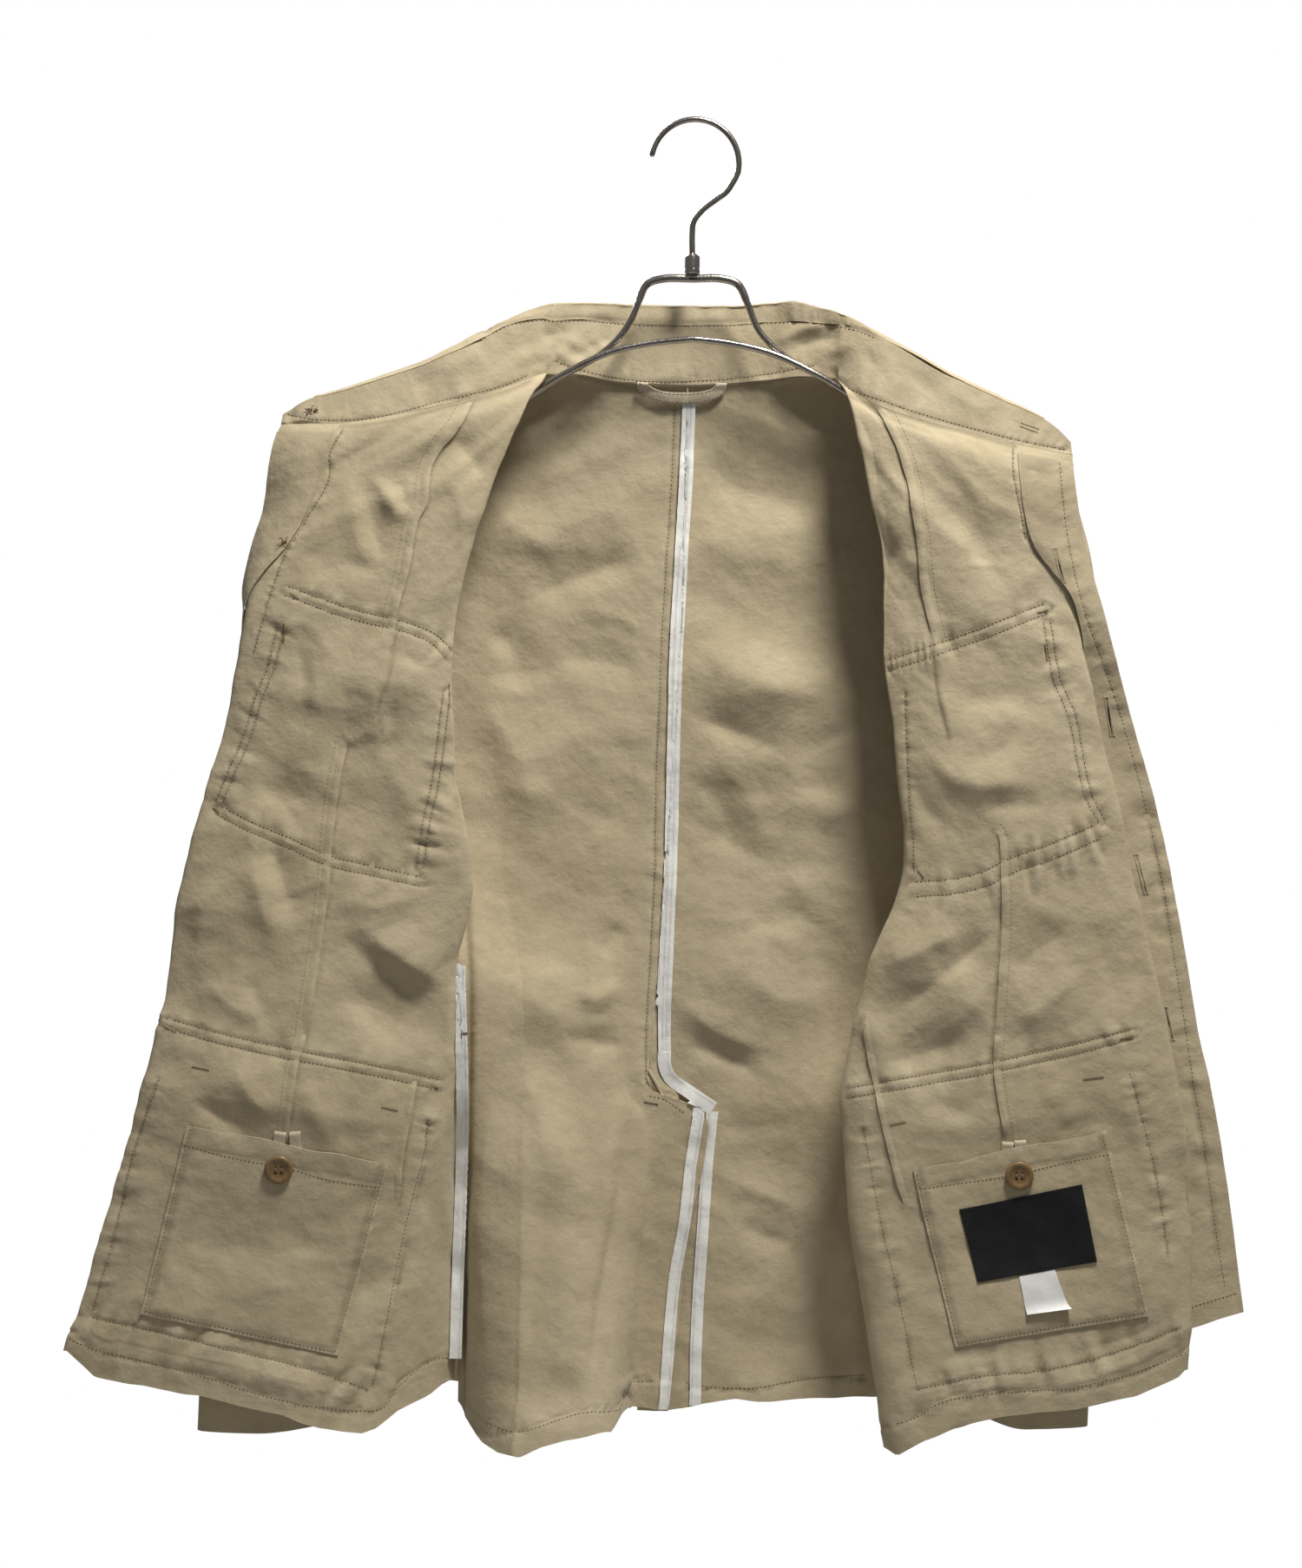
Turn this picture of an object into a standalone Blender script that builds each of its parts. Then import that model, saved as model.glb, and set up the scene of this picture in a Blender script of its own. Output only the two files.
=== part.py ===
"""A safari jacket hanging open on a wire hanger, as solids.

Metres, +X to the viewer's right, +Y away from the viewer, +Z up. The origin is the
highest point inside the hook, where the hanger is held. Tables are in millimetres.
"""

import math

import bmesh
import bpy
import numpy as np
from mathutils import Vector

MM = 0.001

CLOTH = 1.6 * MM
PATCH = 1.3 * MM
TAPE = 1.0 * MM
SEAM_GAP = 0.3 * MM
LAY_GAP = 0.35 * MM

HOOK_WIRE = 2.0 * MM
HOOK_ROUND = 30.8 * MM
HOOK_SIDE = 2.0 * MM
FRAME_WIRE = 2.3 * MM
FERRULE_RADIUS = 5.2 * MM
FERRULE_TOP = -93.0 * MM
FERRULE_LENGTH = 14.0 * MM
WIRE_SIDES = 8

BUTTON_THICK = 2.8 * MM
INNER_BUTTON_RADIUS = 9.8 * MM
FRONT_BUTTON_RADIUS = 9.0 * MM
FLAP_BUTTON_RADIUS = 9.0 * MM
BUTTON_SIDES = 20
LOOP_THICK = 1.0 * MM
LABEL_THICK = 0.7 * MM
TAG_THICK = 0.6 * MM
CURVE_ROOM = 0.5 * MM
FRONT_BUTTON_ROOM = 0.8 * MM

# Sections of the garment from the neck down, with the share of each step that its rows take.
ROW_STEPS = (
    (1.0,),
    (1.0,),
    (0.5, 1.0),
    (0.5, 1.0),
    (0.35, 0.7, 1.0),
    (0.35, 0.7, 1.0),
    (0.35, 0.7, 1.0),
    (0.35, 0.7, 1.0),
    (1.0,),
    (0.44, 0.72, 1.0),
    (0.32, 0.63, 0.76, 1.0),
)
ROW = {
    "neck": 0, "roll": 1, "turn": 2, "across": 4, "chest_flap": 6, "chest_pocket": 9,
    "underarm": 12, "waist": 15, "lower_flap": 18, "vent": 19, "inner_top": 20,
    "lower_pocket": 22, "inner_foot": 24, "pocket_foot": 25, "hem": 26,
}

# Guides across a front, from the armhole or side seam to the front edge.
# Columns: side, hinge (where the front folds back), dart, fold, under, edge; each X, Y, Z.
FRONT_LEFT = (
    ("neck", (-214, 0, -236), (-103, 0, -177), (-150, -28, -197), (-242, -34, -216),
     (-264, -32, -216), (-285, -28, -216)),
    ("roll", (-214, -10, -241), (-107, -13, -185), (-154, -32, -206), (-245, -38, -223),
     (-267, -36, -223), (-287, -30, -222)),
    ("turn", (-214, -13, -262), (-115, -26, -201), (-157, -37, -219), (-250, -41, -236),
     (-272, -38, -235), (-290, -32, -234)),
    ("across", (-217, -14, -305), (-154, -34, -296), (-186, -44, -307), (-268, -45, -289),
     (-284, -40, -283), (-297, -31, -277)),
    ("chest_flap", (-219, -14, -363), (-166, -36, -380), (-207, -46, -358), (-301, -46, -338),
     (-306, -41, -337), (-309, -32, -336)),
    ("chest_pocket", (-219, -13, -433), (-164, -36, -459), (-227, -46, -438), (-317, -42, -410),
     (-303, -26, -407), (-282, -25, -407)),
    ("underarm", (-214, 4, -515), (-153, -34, -540), (-247, -46, -520), (-336, -42, -480),
     (-322, -25, -480), (-299, -23, -485)),
    ("waist", (-169, -6, -588), (-165, -32, -595), (-261, -48, -578), (-354, -42, -560),
     (-340, -24, -562), (-317, -23, -568)),
    ("lower_flap", (-162, 0, -673), (-170, -30, -677), (-270, -50, -655), (-366, -43, -632),
     (-352, -24, -634), (-329, -23, -640)),
    ("vent", (-162, 1, -697), (-174, -31, -700), (-273, -50, -680), (-371, -43, -657),
     (-357, -24, -659), (-334, -23, -665)),
    ("lower_pocket", (-163, 5, -784), (-192, -32, -783), (-293, -50, -764), (-397, -42, -742),
     (-383, -24, -744), (-360, -22, -750)),
    ("hem", (-165, 8, -887), (-215, -38, -907), (-320, -48, -891), (-431, -40, -861),
     (-416, -23, -860), (-393, -21, -866)),
)
FRONT_RIGHT = (
    ("neck", (214, 0, -236), (102, 0, -180), (131, -28, -204), (222, -33, -230),
     (243, -31, -234), (263, -28, -237)),
    ("roll", (214, -10, -241), (107, -13, -190), (136, -32, -213), (222, -37, -237),
     (243, -35, -240), (263, -30, -243)),
    ("turn", (214, -13, -262), (111, -26, -206), (140, -37, -223), (222, -42, -249),
     (244, -38, -251), (263, -32, -253)),
    ("across", (216, -14, -300), (131, -34, -307), (156, -46, -303), (231, -46, -296),
     (251, -42, -297), (270, -33, -299)),
    ("chest_flap", (218, -14, -363), (132, -36, -380), (165, -46, -368), (256, -44, -339),
     (266, -43, -343), (283, -37, -347)),
    ("chest_pocket", (218, -13, -433), (141, -36, -442), (185, -48, -438), (276, -43, -411),
     (271, -31, -414), (303, -24, -416)),
    ("underarm", (214, 4, -515), (147, -34, -523), (212, -50, -524), (294, -44, -493),
     (281, -32, -496), (325, -23, -495)),
    ("waist", (175, -6, -588), (122, -34, -592), (211, -50, -588), (310, -44, -571),
     (294, -32, -573), (340, -22, -573)),
    ("lower_flap", (148, 0, -673), (102, -34, -676), (208, -50, -661), (324, -44, -635),
     (303, -32, -638), (352, -21, -643)),
    ("vent", (148, 1, -697), (103, -34, -700), (211, -50, -684), (328, -44, -659),
     (307, -31, -662), (357, -21, -664)),
    ("lower_pocket", (149, 5, -784), (112, -36, -787), (234, -50, -766), (341, -43, -742),
     (322, -31, -744), (371, -20, -742)),
    ("hem", (146, 8, -887), (136, -42, -922), (215, -48, -900), (339, -42, -869),
     (325, -30, -853), (383, -19, -833)),
)
FRONT_STEPS_LEFT = (
    (0.12, 0.5, 0.84, 1.0),
    (0.12, 0.32, 0.62, 1.0),
    (0.3, 0.54, 0.87, 1.0),
    (0.5, 1.0),
    (0.5, 1.0),
)
FRONT_STEPS_RIGHT = (
    (0.12, 0.5, 0.84, 1.0),
    (0.2, 0.5, 0.75, 1.0),
    (0.3, 0.57, 0.85, 1.0),
    (0.5, 1.0),
    (0.5, 1.0),
)
COL = {
    "side": 0, "hinge": 4, "past_hinge": 5, "inner_near": 6, "dart": 8,
    "inner_far": 10, "near_fold": 11, "fold": 12, "edge": 16,
}

# Guides across a back half, from the centre seam to the side.
# Columns: centre, crease, nape, neck, side; each X, Y, Z.
BACK_LEFT = (
    ("neck", (-3, 20, -182), (-32, 19, -181), (-60, 17, -179), (-103, 0, -177), (-214, 0, -236)),
    ("roll", (-3, 22, -190), (-32, 21, -189), (-61, 20, -187), (-104, 12, -183), (-214, 16, -241)),
    ("turn", (-4, 23, -206), (-33, 23, -206), (-62, 23, -206), (-106, 21, -204), (-214, 21, -262)),
    ("across", (-6, 23, -278), (-35, 23, -280), (-64, 23, -282), (-120, 23, -290),
     (-217, 22, -305)),
    ("chest_flap", (-8, 22, -358), (-37, 22, -359), (-66, 23, -360), (-130, 24, -362),
     (-219, 22, -363)),
    ("chest_pocket", (-13, 22, -438), (-42, 21, -438), (-70, 21, -438), (-135, 24, -436),
     (-219, 21, -433)),
    ("underarm", (-19, 21, -524), (-45, 20, -524), (-72, 18, -524), (-130, 21, -520),
     (-214, 4, -515)),
    ("waist", (-24, 20, -601), (-46, 17, -601), (-68, 12, -600), (-118, 12, -598),
     (-169, -6, -588)),
    ("lower_flap", (-29, 13, -681), (-44, 11, -682), (-62, 4, -682), (-114, -2, -682),
     (-162, 0, -673)),
    ("vent", (8, 14, -697), (-28, 13, -701), (-58, 2, -704), (-114, -8, -706), (-162, 1, -697)),
    ("lower_pocket", (-3, 14, -788), (-34, 14, -794), (-57, -8, -802), (-114, -26, -808),
     (-163, 5, -784)),
    ("hem", (-16, 12, -905), (-44, 14, -909), (-60, -30, -915), (-118, -45, -928),
     (-165, 8, -887)),
)
BACK_RIGHT = (
    ("neck", (-3, 20, -182), (28, 19, -181), (54, 17, -179), (102, 0, -180), (214, 0, -236)),
    ("roll", (-3, 22, -190), (28, 21, -189), (54, 20, -187), (103, 12, -186), (214, 16, -241)),
    ("turn", (-4, 23, -206), (27, 23, -206), (54, 23, -206), (105, 21, -206), (214, 21, -262)),
    ("across", (-6, 23, -278), (26, 23, -280), (52, 23, -282), (112, 23, -288), (216, 22, -300)),
    ("chest_flap", (-8, 22, -358), (24, 22, -359), (50, 22, -360), (120, 24, -362),
     (218, 22, -363)),
    ("chest_pocket", (-13, 22, -438), (18, 20, -438), (45, 18, -438), (118, 22, -436),
     (218, 21, -433)),
    ("underarm", (-19, 21, -524), (12, 21, -524), (40, 21, -524), (112, 16, -521),
     (214, 4, -515)),
    ("waist", (-24, 20, -601), (8, 18, -601), (36, 15, -600), (100, 16, -597), (175, -6, -588)),
    ("lower_flap", (-29, 22, -681), (9, 22, -682), (36, 21, -682), (92, 12, -680),
     (148, 0, -673)),
    ("vent", (-29, 25, -697), (9, 23, -698), (36, 21, -698), (92, 12, -697), (148, 1, -697)),
    ("lower_pocket", (-34, 25, -788), (3, 20, -789), (34, 15, -790), (90, 14, -789),
     (149, 5, -784)),
    ("hem", (-38, 24, -905), (-2, 17, -902), (30, 11, -898), (90, 12, -900), (146, 8, -887)),
)
BACK_STEPS = (
    (0.28, 1.0),
    (0.33, 1.0),
    (0.5, 1.0),
    (0.16, 0.5, 0.88, 1.0),
)
NECK_COL = 6
BUTTON_COLUMNS = (("left", 8.1), ("right", 8.05))
INNER_BUTTON_ROW = 20.6
CHEST_FLAP_BUTTON = (7.4, 8.3)
LOWER_FLAP_BUTTON = (19.5, 8.3)
FRONT_BUTTON_ROWS = (4.9, 9.2, 12.5, 16.2)
FRONT_BUTTON_COLUMN = 15.0
COLLAR_BUTTON = (1.0, 1.0)
COLLAR_BUTTON_RADIUS = 7.2 * MM
LOOP_ROWS = (19.5, 19.75, 19.95)
LOOP_REACH = 0.18
LABEL_ROWS = (21.35, 22.0, 22.8)
LABEL_COLUMNS = (6.6, 7.0, 8.0, 9.0, 9.7)
TAG_ROWS = (22.7, 23.0, 23.55)
TAG_COLUMNS = (8.2, 8.7, 9.15)
TAPE_COLS = {"centre": (0, 1), "vent_facing": (2, 3), "side": (9, 10)}

# Sleeve rings from the armhole to the cuff: inner X and Z, outer X and Z, depth centre, half depth.
SLEEVE_LEFT = (
    ("cap", -219, -522, -243, -241, 5, 17),
    ("crown", -222, -530, -270, -255, 7, 20),
    ("upper", -223, -540, -289, -285, 10, 23),
    ("high_arm", -221, -552, -301, -326, 13, 26),
    ("biceps", -218, -567, -309, -377, 15, 28),
    ("mid_arm", -215, -586, -317, -432, 17, 30),
    ("low_arm", -212, -610, -326, -492, 18, 31),
    ("elbow", -210, -640, -333, -554, 18, 30),
    ("forearm", -210, -676, -338, -621, 17, 28),
    ("fore_mid", -210, -718, -342, -690, 16, 26),
    ("wrist_high", -211, -767, -345, -756, 15, 24),
    ("wrist", -212, -818, -346, -815, 14, 20),
    ("cuff_seam", -213, -870, -347, -869, 13, 16),
)
SLEEVE_RIGHT = (
    ("cap", 219, -522, 243, -241, 5, 17),
    ("crown", 222, -530, 264, -255, 7, 20),
    ("upper", 223, -540, 276, -285, 10, 23),
    ("high_arm", 221, -552, 284, -326, 13, 26),
    ("biceps", 218, -567, 292, -377, 15, 28),
    ("mid_arm", 214, -586, 300, -432, 17, 30),
    ("low_arm", 209, -610, 306, -492, 18, 31),
    ("elbow", 202, -640, 306, -554, 18, 30),
    ("forearm", 193, -676, 302, -621, 17, 28),
    ("fore_mid", 184, -718, 297, -690, 16, 26),
    ("wrist_high", 174, -767, 291, -756, 15, 24),
    ("wrist", 165, -818, 286, -815, 14, 20),
    ("cuff_seam", 157, -870, 281, -869, 13, 16),
)
CUFF_LEFT = (
    ("cuff_mid", -214, -897, -348, -897, 12, 15),
    ("cuff_foot", -216, -921, -349, -921, 12, 14),
)
CUFF_RIGHT = (
    ("cuff_mid", 155, -897, 280, -897, 12, 15),
    ("cuff_foot", 154, -918, 279, -918, 12, 14),
)

# The collar, from the centre back outwards. Columns: share of the way from the centre to the
# shoulder (0 to 1) or from the shoulder to the front edge (1 to 2), then the stand's top,
# the fall's fold and the fall's outer edge, each as X outwards, Y, Z from the neck seam.
COLLAR_LEFT = (
    ("centre", 0.0, (0, 0, 42), (0, 1, 57), (0, 16, 0)),
    ("nape", 0.55, (0, 0, 41), (0, 0, 55), (2, 15, 0)),
    ("side_neck", 0.85, (0, -1, 38), (-1, 0, 50), (20, 14, -4)),
    ("shoulder", 1.0, (-4, -1, 37), (-6, 3, 50), (48, 13, -12)),
    ("lapel_top", 1.12, (2, 0, 44), (0, 6, 50), (50, 11, -13)),
    ("break", 1.25, (2, 5, 39), (2, 11, 45), (46, 13, -16)),
    ("front", 1.45, (0, 4, 33), (0, 10, 37), (30, 9, -24)),
    ("front_mid", 1.65, (0, 5, 27), (0, 11, 30), (16, 11, -34)),
    ("tab_start", 1.8, (0, 5, 22), (0, 10, 24), (6, 12, -40)),
    ("point", 1.92, (-2, 4, 17), (-2, 8, 18), (2, 10, -44)),
    ("end", 2.0, (-1, 1, 7), (-1, 5, 7), (0, 9, -40)),
)
COLLAR_RIGHT = (
    ("centre", 0.0, (0, 0, 42), (0, 1, 57), (0, 16, 0)),
    ("nape", 0.55, (1, 0, 41), (2, 0, 55), (2, 15, 0)),
    ("side_neck", 0.85, (2, 0, 38), (0, 0, 52), (20, 14, -4)),
    ("shoulder", 1.0, (0, 1, 38), (-4, 4, 50), (48, 13, -12)),
    ("lapel_top", 1.12, (6, 6, 48), (0, 10, 54), (50, 11, -13)),
    ("break", 1.25, (4, 10, 49), (2, 14, 52), (46, 13, -16)),
    ("front", 1.45, (4, 5, 38), (3, 11, 41), (30, 9, -20)),
    ("front_mid", 1.65, (2, 5, 30), (2, 11, 33), (16, 11, -28)),
    ("tab_start", 1.8, (1, 4, 26), (1, 9, 28), (6, 12, -34)),
    ("point", 1.92, (0, 3, 20), (0, 7, 21), (2, 10, -38)),
    ("end", 2.0, (-1, 1, 9), (-1, 5, 9), (0, 9, -34)),
)
STAND_ROWS = (0.5, 1.0)
LEAF_SET_BACK = 2

# Wire paths. The hook's stem below its round, and the looped frame's left and right halves.
HOOK_STEM = (
    (30, 0, -40), (24, 0, -49), (16, 0, -55), (7, 0, -62), (1, 0, -70), (0, 0, -78), (0, 0, -93),
)
FRAME_LEG_LEFT = (
    (0, 0, -110), (-20, 0, -110), (-32, 0, -114), (-38, 0, -127), (-43, 0, -139),
    (-52, 0, -152), (-66, 1, -164), (-90, -2, -178), (-112, 2, -191),
)
FRAME_LEG_RIGHT = (
    (0, 0, -110), (20, 0, -110), (32, 0, -114), (39, 0, -128), (46, 0, -145),
    (57, 0, -158), (72, 1, -169), (92, -2, -180), (112, 2, -193),
)
FRAME_ARC_LEFT = (
    (0, -4, -153), (-29, -4, -156), (-59, -6, -163), (-88, -8, -177), (-112, -6, -191),
)
FRAME_ARC_RIGHT = (
    (0, -4, -153), (26, -4, -156), (57, -6, -164), (86, -8, -178), (112, -5, -193),
)
ARM_END = (206, 0, -238)
ARM_TURN = 5.5 * MM

COLOURS = {
    "twill": (0.44, 0.36, 0.225, 0.9, 0.0),
    "tape": (0.74, 0.73, 0.66, 0.9, 0.0),
    "button": (0.22, 0.125, 0.055, 0.45, 0.0),
    "label": (0.02, 0.02, 0.022, 0.85, 0.0),
    "tag": (0.82, 0.81, 0.78, 0.85, 0.0),
    "steel": (0.62, 0.62, 0.60, 0.25, 1.0),
}


def clear_scene():
    for item in list(bpy.data.objects):
        bpy.data.objects.remove(item, do_unlink=True)


def collection(name):
    made = bpy.data.collections.new(name)
    bpy.context.scene.collection.children.link(made)
    return made


def material(name, kind):
    red, green, blue, roughness, metallic = COLOURS[kind]
    made = bpy.data.materials.new(name)
    made.use_nodes = True
    shader = made.node_tree.nodes["Principled BSDF"]
    shader.inputs["Base Color"].default_value = (red, green, blue, 1.0)
    shader.inputs["Roughness"].default_value = roughness
    shader.inputs["Metallic"].default_value = metallic
    return made


def unit(vectors):
    lengths = np.linalg.norm(vectors, axis=-1, keepdims=True)
    return vectors / np.maximum(lengths, 1e-12)


def smooth_point(before, start, end, after, share):
    """A point on the centripetal Catmull-Rom curve from start to end."""
    t1 = np.sqrt(np.linalg.norm(start - before, axis=-1, keepdims=True)) + 1e-9
    t2 = t1 + np.sqrt(np.linalg.norm(end - start, axis=-1, keepdims=True)) + 1e-9
    t3 = t2 + np.sqrt(np.linalg.norm(after - end, axis=-1, keepdims=True)) + 1e-9
    t = t1 + (t2 - t1) * share
    a1 = (t1 - t) / t1 * before + t / t1 * start
    a2 = (t2 - t) / (t2 - t1) * start + (t - t1) / (t2 - t1) * end
    a3 = (t3 - t) / (t3 - t2) * end + (t - t2) / (t3 - t2) * after
    b1 = (t2 - t) / t2 * a1 + t / t2 * a2
    b2 = (t3 - t) / (t3 - t1) * a2 + (t - t1) / (t3 - t1) * a3
    return (t2 - t) / (t2 - t1) * b1 + (t - t1) / (t2 - t1) * b2


def smooth_line(points, steps):
    """Points along a smooth curve through the first axis of points, at each span's shares."""
    points = np.asarray(points, dtype=float)
    first = 2.0 * points[0] - points[1]
    last = 2.0 * points[-1] - points[-2]
    padded = np.concatenate([first[None], points, last[None]])
    line = [points[0]]
    for span, shares in enumerate(steps):
        for share in shares:
            line.append(smooth_point(*padded[span:span + 4], share))
    return np.stack(line)


def guide_grid(table, row_steps, column_steps):
    """Rows down and columns across a cloth surface, from a table of guide points."""
    guides = np.array([row[1:] for row in table], dtype=float) * MM
    rows = smooth_line(guides, row_steps)
    columns = smooth_line(np.swapaxes(rows, 0, 1), column_steps)
    return np.swapaxes(columns, 0, 1)


def grid_normals(mid, side, closed=False):
    """Unit normals of a grid; side is 1 or -1, so that they face the garment's inside."""
    if closed:
        across = np.roll(mid, -1, axis=1) - np.roll(mid, 1, axis=1)
    else:
        across = np.gradient(mid, axis=1)
    down = np.gradient(mid, axis=0)
    return unit(np.cross(across, down)) * side


class Cloth:
    """A cloth surface: mid points and normals in rows and columns."""

    def __init__(self, mid, side, closed=False):
        self.mid = mid
        self.side = side
        self.closed = closed
        self.normal = grid_normals(mid, side, closed)
        self.pull = np.zeros_like(mid)

    def edge(self, rows, columns, step):
        """An edge's indices and those of its neighbours one step inside the cloth."""
        rows, columns = np.broadcast_arrays(np.atleast_1d(rows), np.atleast_1d(columns))
        return self, rows, columns, rows + step[0], columns + step[1]


def sew(first, second):
    """Bring two edges to one line with one normal, then pull each back by half the gap."""
    cloth_a, rows_a, columns_a = first[:3]
    cloth_b, rows_b, columns_b = second[:3]
    line = (cloth_a.mid[rows_a, columns_a] + cloth_b.mid[rows_b, columns_b]) / 2.0
    cloth_a.mid[rows_a, columns_a] = line
    cloth_b.mid[rows_b, columns_b] = line
    normal = unit(cloth_a.normal[rows_a, columns_a] + cloth_b.normal[rows_b, columns_b])
    cloth_a.normal[rows_a, columns_a] = normal
    cloth_b.normal[rows_b, columns_b] = normal


def share_corner(corners):
    """Give the corners of the cloths that meet at one point the same normal."""
    normal = unit(sum(cloth.normal[row, column] for cloth, row, column in corners))
    for cloth, row, column in corners:
        cloth.normal[row, column] = normal


def pull_back(edge):
    """Pull an edge back from its seam line by half the gap, in the cloth's own surface."""
    cloth, rows, columns, inner_rows, inner_columns = edge
    line = cloth.mid[rows, columns]
    inward = cloth.mid[inner_rows, inner_columns] - line
    normal = cloth.normal[rows, columns]
    along = unit(np.gradient(line, axis=0))
    inward -= np.sum(inward * normal, axis=-1, keepdims=True) * normal
    inward -= np.sum(inward * along, axis=-1, keepdims=True) * along
    cloth.pull[rows, columns] += unit(inward) * SEAM_GAP / 2.0


def add_mesh(name, points, faces, kind, home):
    mesh = bpy.data.meshes.new(name)
    mesh.from_pydata([tuple(point) for point in points], [], faces)
    mesh.update()
    work = bmesh.new()
    work.from_mesh(mesh)
    bmesh.ops.recalc_face_normals(work, faces=work.faces)
    work.to_mesh(mesh)
    work.free()
    mesh.materials.append(material(name + "_finish", kind))
    item = bpy.data.objects.new(name, mesh)
    home.objects.link(item)
    return item


def wall(name, mid, normal, thick, kind, home, lift=0.0, closed=False):
    """A closed cloth wall on a grid, its middle lifted along the normals."""
    rows, columns = mid.shape[:2]
    upper = mid + normal * (lift + thick / 2.0)
    lower = mid + normal * (lift - thick / 2.0)
    points = np.concatenate([upper.reshape(-1, 3), lower.reshape(-1, 3)])
    sheet = rows * columns
    faces = []
    spans = columns if closed else columns - 1
    for row in range(rows - 1):
        for column in range(spans):
            beside = (column + 1) % columns
            a = row * columns + column
            b = row * columns + beside
            c = (row + 1) * columns + beside
            d = (row + 1) * columns + column
            faces += [(a, b, c), (a, c, d)]
            faces += [(sheet + c, sheet + b, sheet + a), (sheet + d, sheet + c, sheet + a)]
    for column in range(spans):
        beside = (column + 1) % columns
        foot = (rows - 1) * columns
        faces.append((column, sheet + column, sheet + beside, beside))
        faces.append((foot + column, foot + beside, sheet + foot + beside, sheet + foot + column))
    if not closed:
        for row in range(rows - 1):
            a = row * columns
            b = a + columns
            faces.append((a, b, sheet + b, sheet + a))
            a += columns - 1
            b += columns - 1
            faces.append((a, sheet + a, sheet + b, b))
    return add_mesh(name, points, faces, kind, home)


def patch(name, cloth, rows, columns, side, thick, kind, home, layers=0):
    """A piece laid on a cloth between two of its rows and columns; side 1 is the inside."""
    part = (slice(rows[0], rows[1] + 1), slice(columns[0], columns[1] + 1))
    lift = CLOTH / 2.0 + (LAY_GAP + PATCH) * layers + LAY_GAP + thick / 2.0
    return wall(name, cloth.mid[part], cloth.normal[part], thick, kind, home, side * lift)


def on_cloth(cloth, row, column, lift):
    """A point on a cloth at a fractional row and column, lifted, with the normal there."""
    i = min(int(row), cloth.mid.shape[0] - 2)
    j = min(int(column), cloth.mid.shape[1] - 2)
    down = row - i
    across = column - j
    shares = ((1 - down) * (1 - across), (1 - down) * across, down * (1 - across), down * across)
    corners = ((i, j), (i, j + 1), (i + 1, j), (i + 1, j + 1))
    point = sum(share * cloth.mid[corner] for share, corner in zip(shares, corners))
    normal = unit(sum(share * cloth.normal[corner] for share, corner in zip(shares, corners)))
    return point + normal * lift, normal


def region(name, cloth, rows, columns, lift, thick, kind, home):
    """A piece laid on a cloth over fractional rows and columns, the lift given to its middle."""
    mid = []
    normal = []
    for row in rows:
        places = [on_cloth(cloth, row, column, lift) for column in columns]
        mid.append([point for point, _ in places])
        normal.append([facing for _, facing in places])
    return wall(name, np.array(mid), np.array(normal), thick, kind, home)


def make_front(table, column_steps, side):
    return Cloth(guide_grid(table, ROW_STEPS, column_steps), side)


def make_back(table, side):
    return Cloth(guide_grid(table, ROW_STEPS, BACK_STEPS), side)


def armhole_ring(front, back):
    """The armhole from the shoulder down the front and up the back."""
    down = front.mid[:ROW["underarm"] + 1, COL["side"]]
    up = back.mid[ROW["underarm"] - 1:0:-1, -1]
    return np.concatenate([down, up])


def ring_angles(ring):
    """Where each armhole point lies round an upright oval, 0 at the top, growing to the front."""
    top = ring[0, 2]
    foot = ring[ROW["underarm"], 2]
    share = np.clip((top - ring[:, 2]) / (top - foot), 0.0, 1.0)
    angle = np.arccos(1.0 - 2.0 * share)
    angle[ROW["underarm"] + 1:] = 2.0 * math.pi - angle[ROW["underarm"] + 1:]
    return angle


def tube_ring(row, angles):
    """A flattened oval ring: the front bulges to -Y, the outer end leads."""
    _, inner_x, inner_z, outer_x, outer_z, depth, half = row
    inner = np.array([inner_x, depth, inner_z], dtype=float) * MM
    outer = np.array([outer_x, depth, outer_z], dtype=float) * MM
    centre = (inner + outer) / 2.0
    reach = (outer - inner) / 2.0
    cosine = np.cos(angles)[:, None]
    sine = np.sin(angles)[:, None]
    bulge = np.array([0.0, -half * MM, 0.0])
    flat = np.sign(sine) * np.abs(sine) ** 0.8
    return centre + reach * cosine + bulge * flat


def make_sleeve(front, back, table, side):
    ring = armhole_ring(front, back)
    first = ring_angles(ring)
    even = np.arange(len(ring)) / len(ring) * 2.0 * math.pi
    rings = [ring]
    for number, row in enumerate(table):
        share = min(1.0, (number + 1) / 5.0)
        rings.append(tube_ring(row, first * (1.0 - share) + even * share))
    return Cloth(np.stack(rings), side, closed=True)


def make_cuff(sleeve, table, side):
    count = sleeve.mid.shape[1]
    even = np.arange(count) / count * 2.0 * math.pi
    rings = [sleeve.mid[-1]] + [tube_ring(row, even) for row in table]
    return Cloth(np.stack(rings), side, closed=True)


def collar_offsets(table, shares, side):
    """Offsets of the stand's top, the fold and the outer edge at each share of the way round."""
    stations = [row[1] for row in table]
    offsets = np.array([row[2:] for row in table], dtype=float) * MM
    offsets[:, :, 0] *= side
    found = np.empty((len(shares), 3, 3))
    for place in range(3):
        for axis in range(3):
            found[:, place, axis] = np.interp(shares, stations, offsets[:, place, axis])
    return found


def length_shares(line):
    steps = np.linalg.norm(np.diff(line, axis=0), axis=1)
    total = np.concatenate([[0.0], np.cumsum(steps)])
    return total / total[-1]


def half_collar(back, front, table, side):
    """A half neck line from the centre back to the front edge, with its collar offsets."""
    nape = back.mid[0, :NECK_COL + 1]
    lapel = front.mid[0, COL["hinge"]:]
    line = np.concatenate([nape, lapel[1:]])
    shares = np.concatenate([length_shares(nape), 1.0 + length_shares(lapel)[1:]])
    return line, collar_offsets(table, shares, side)


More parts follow.
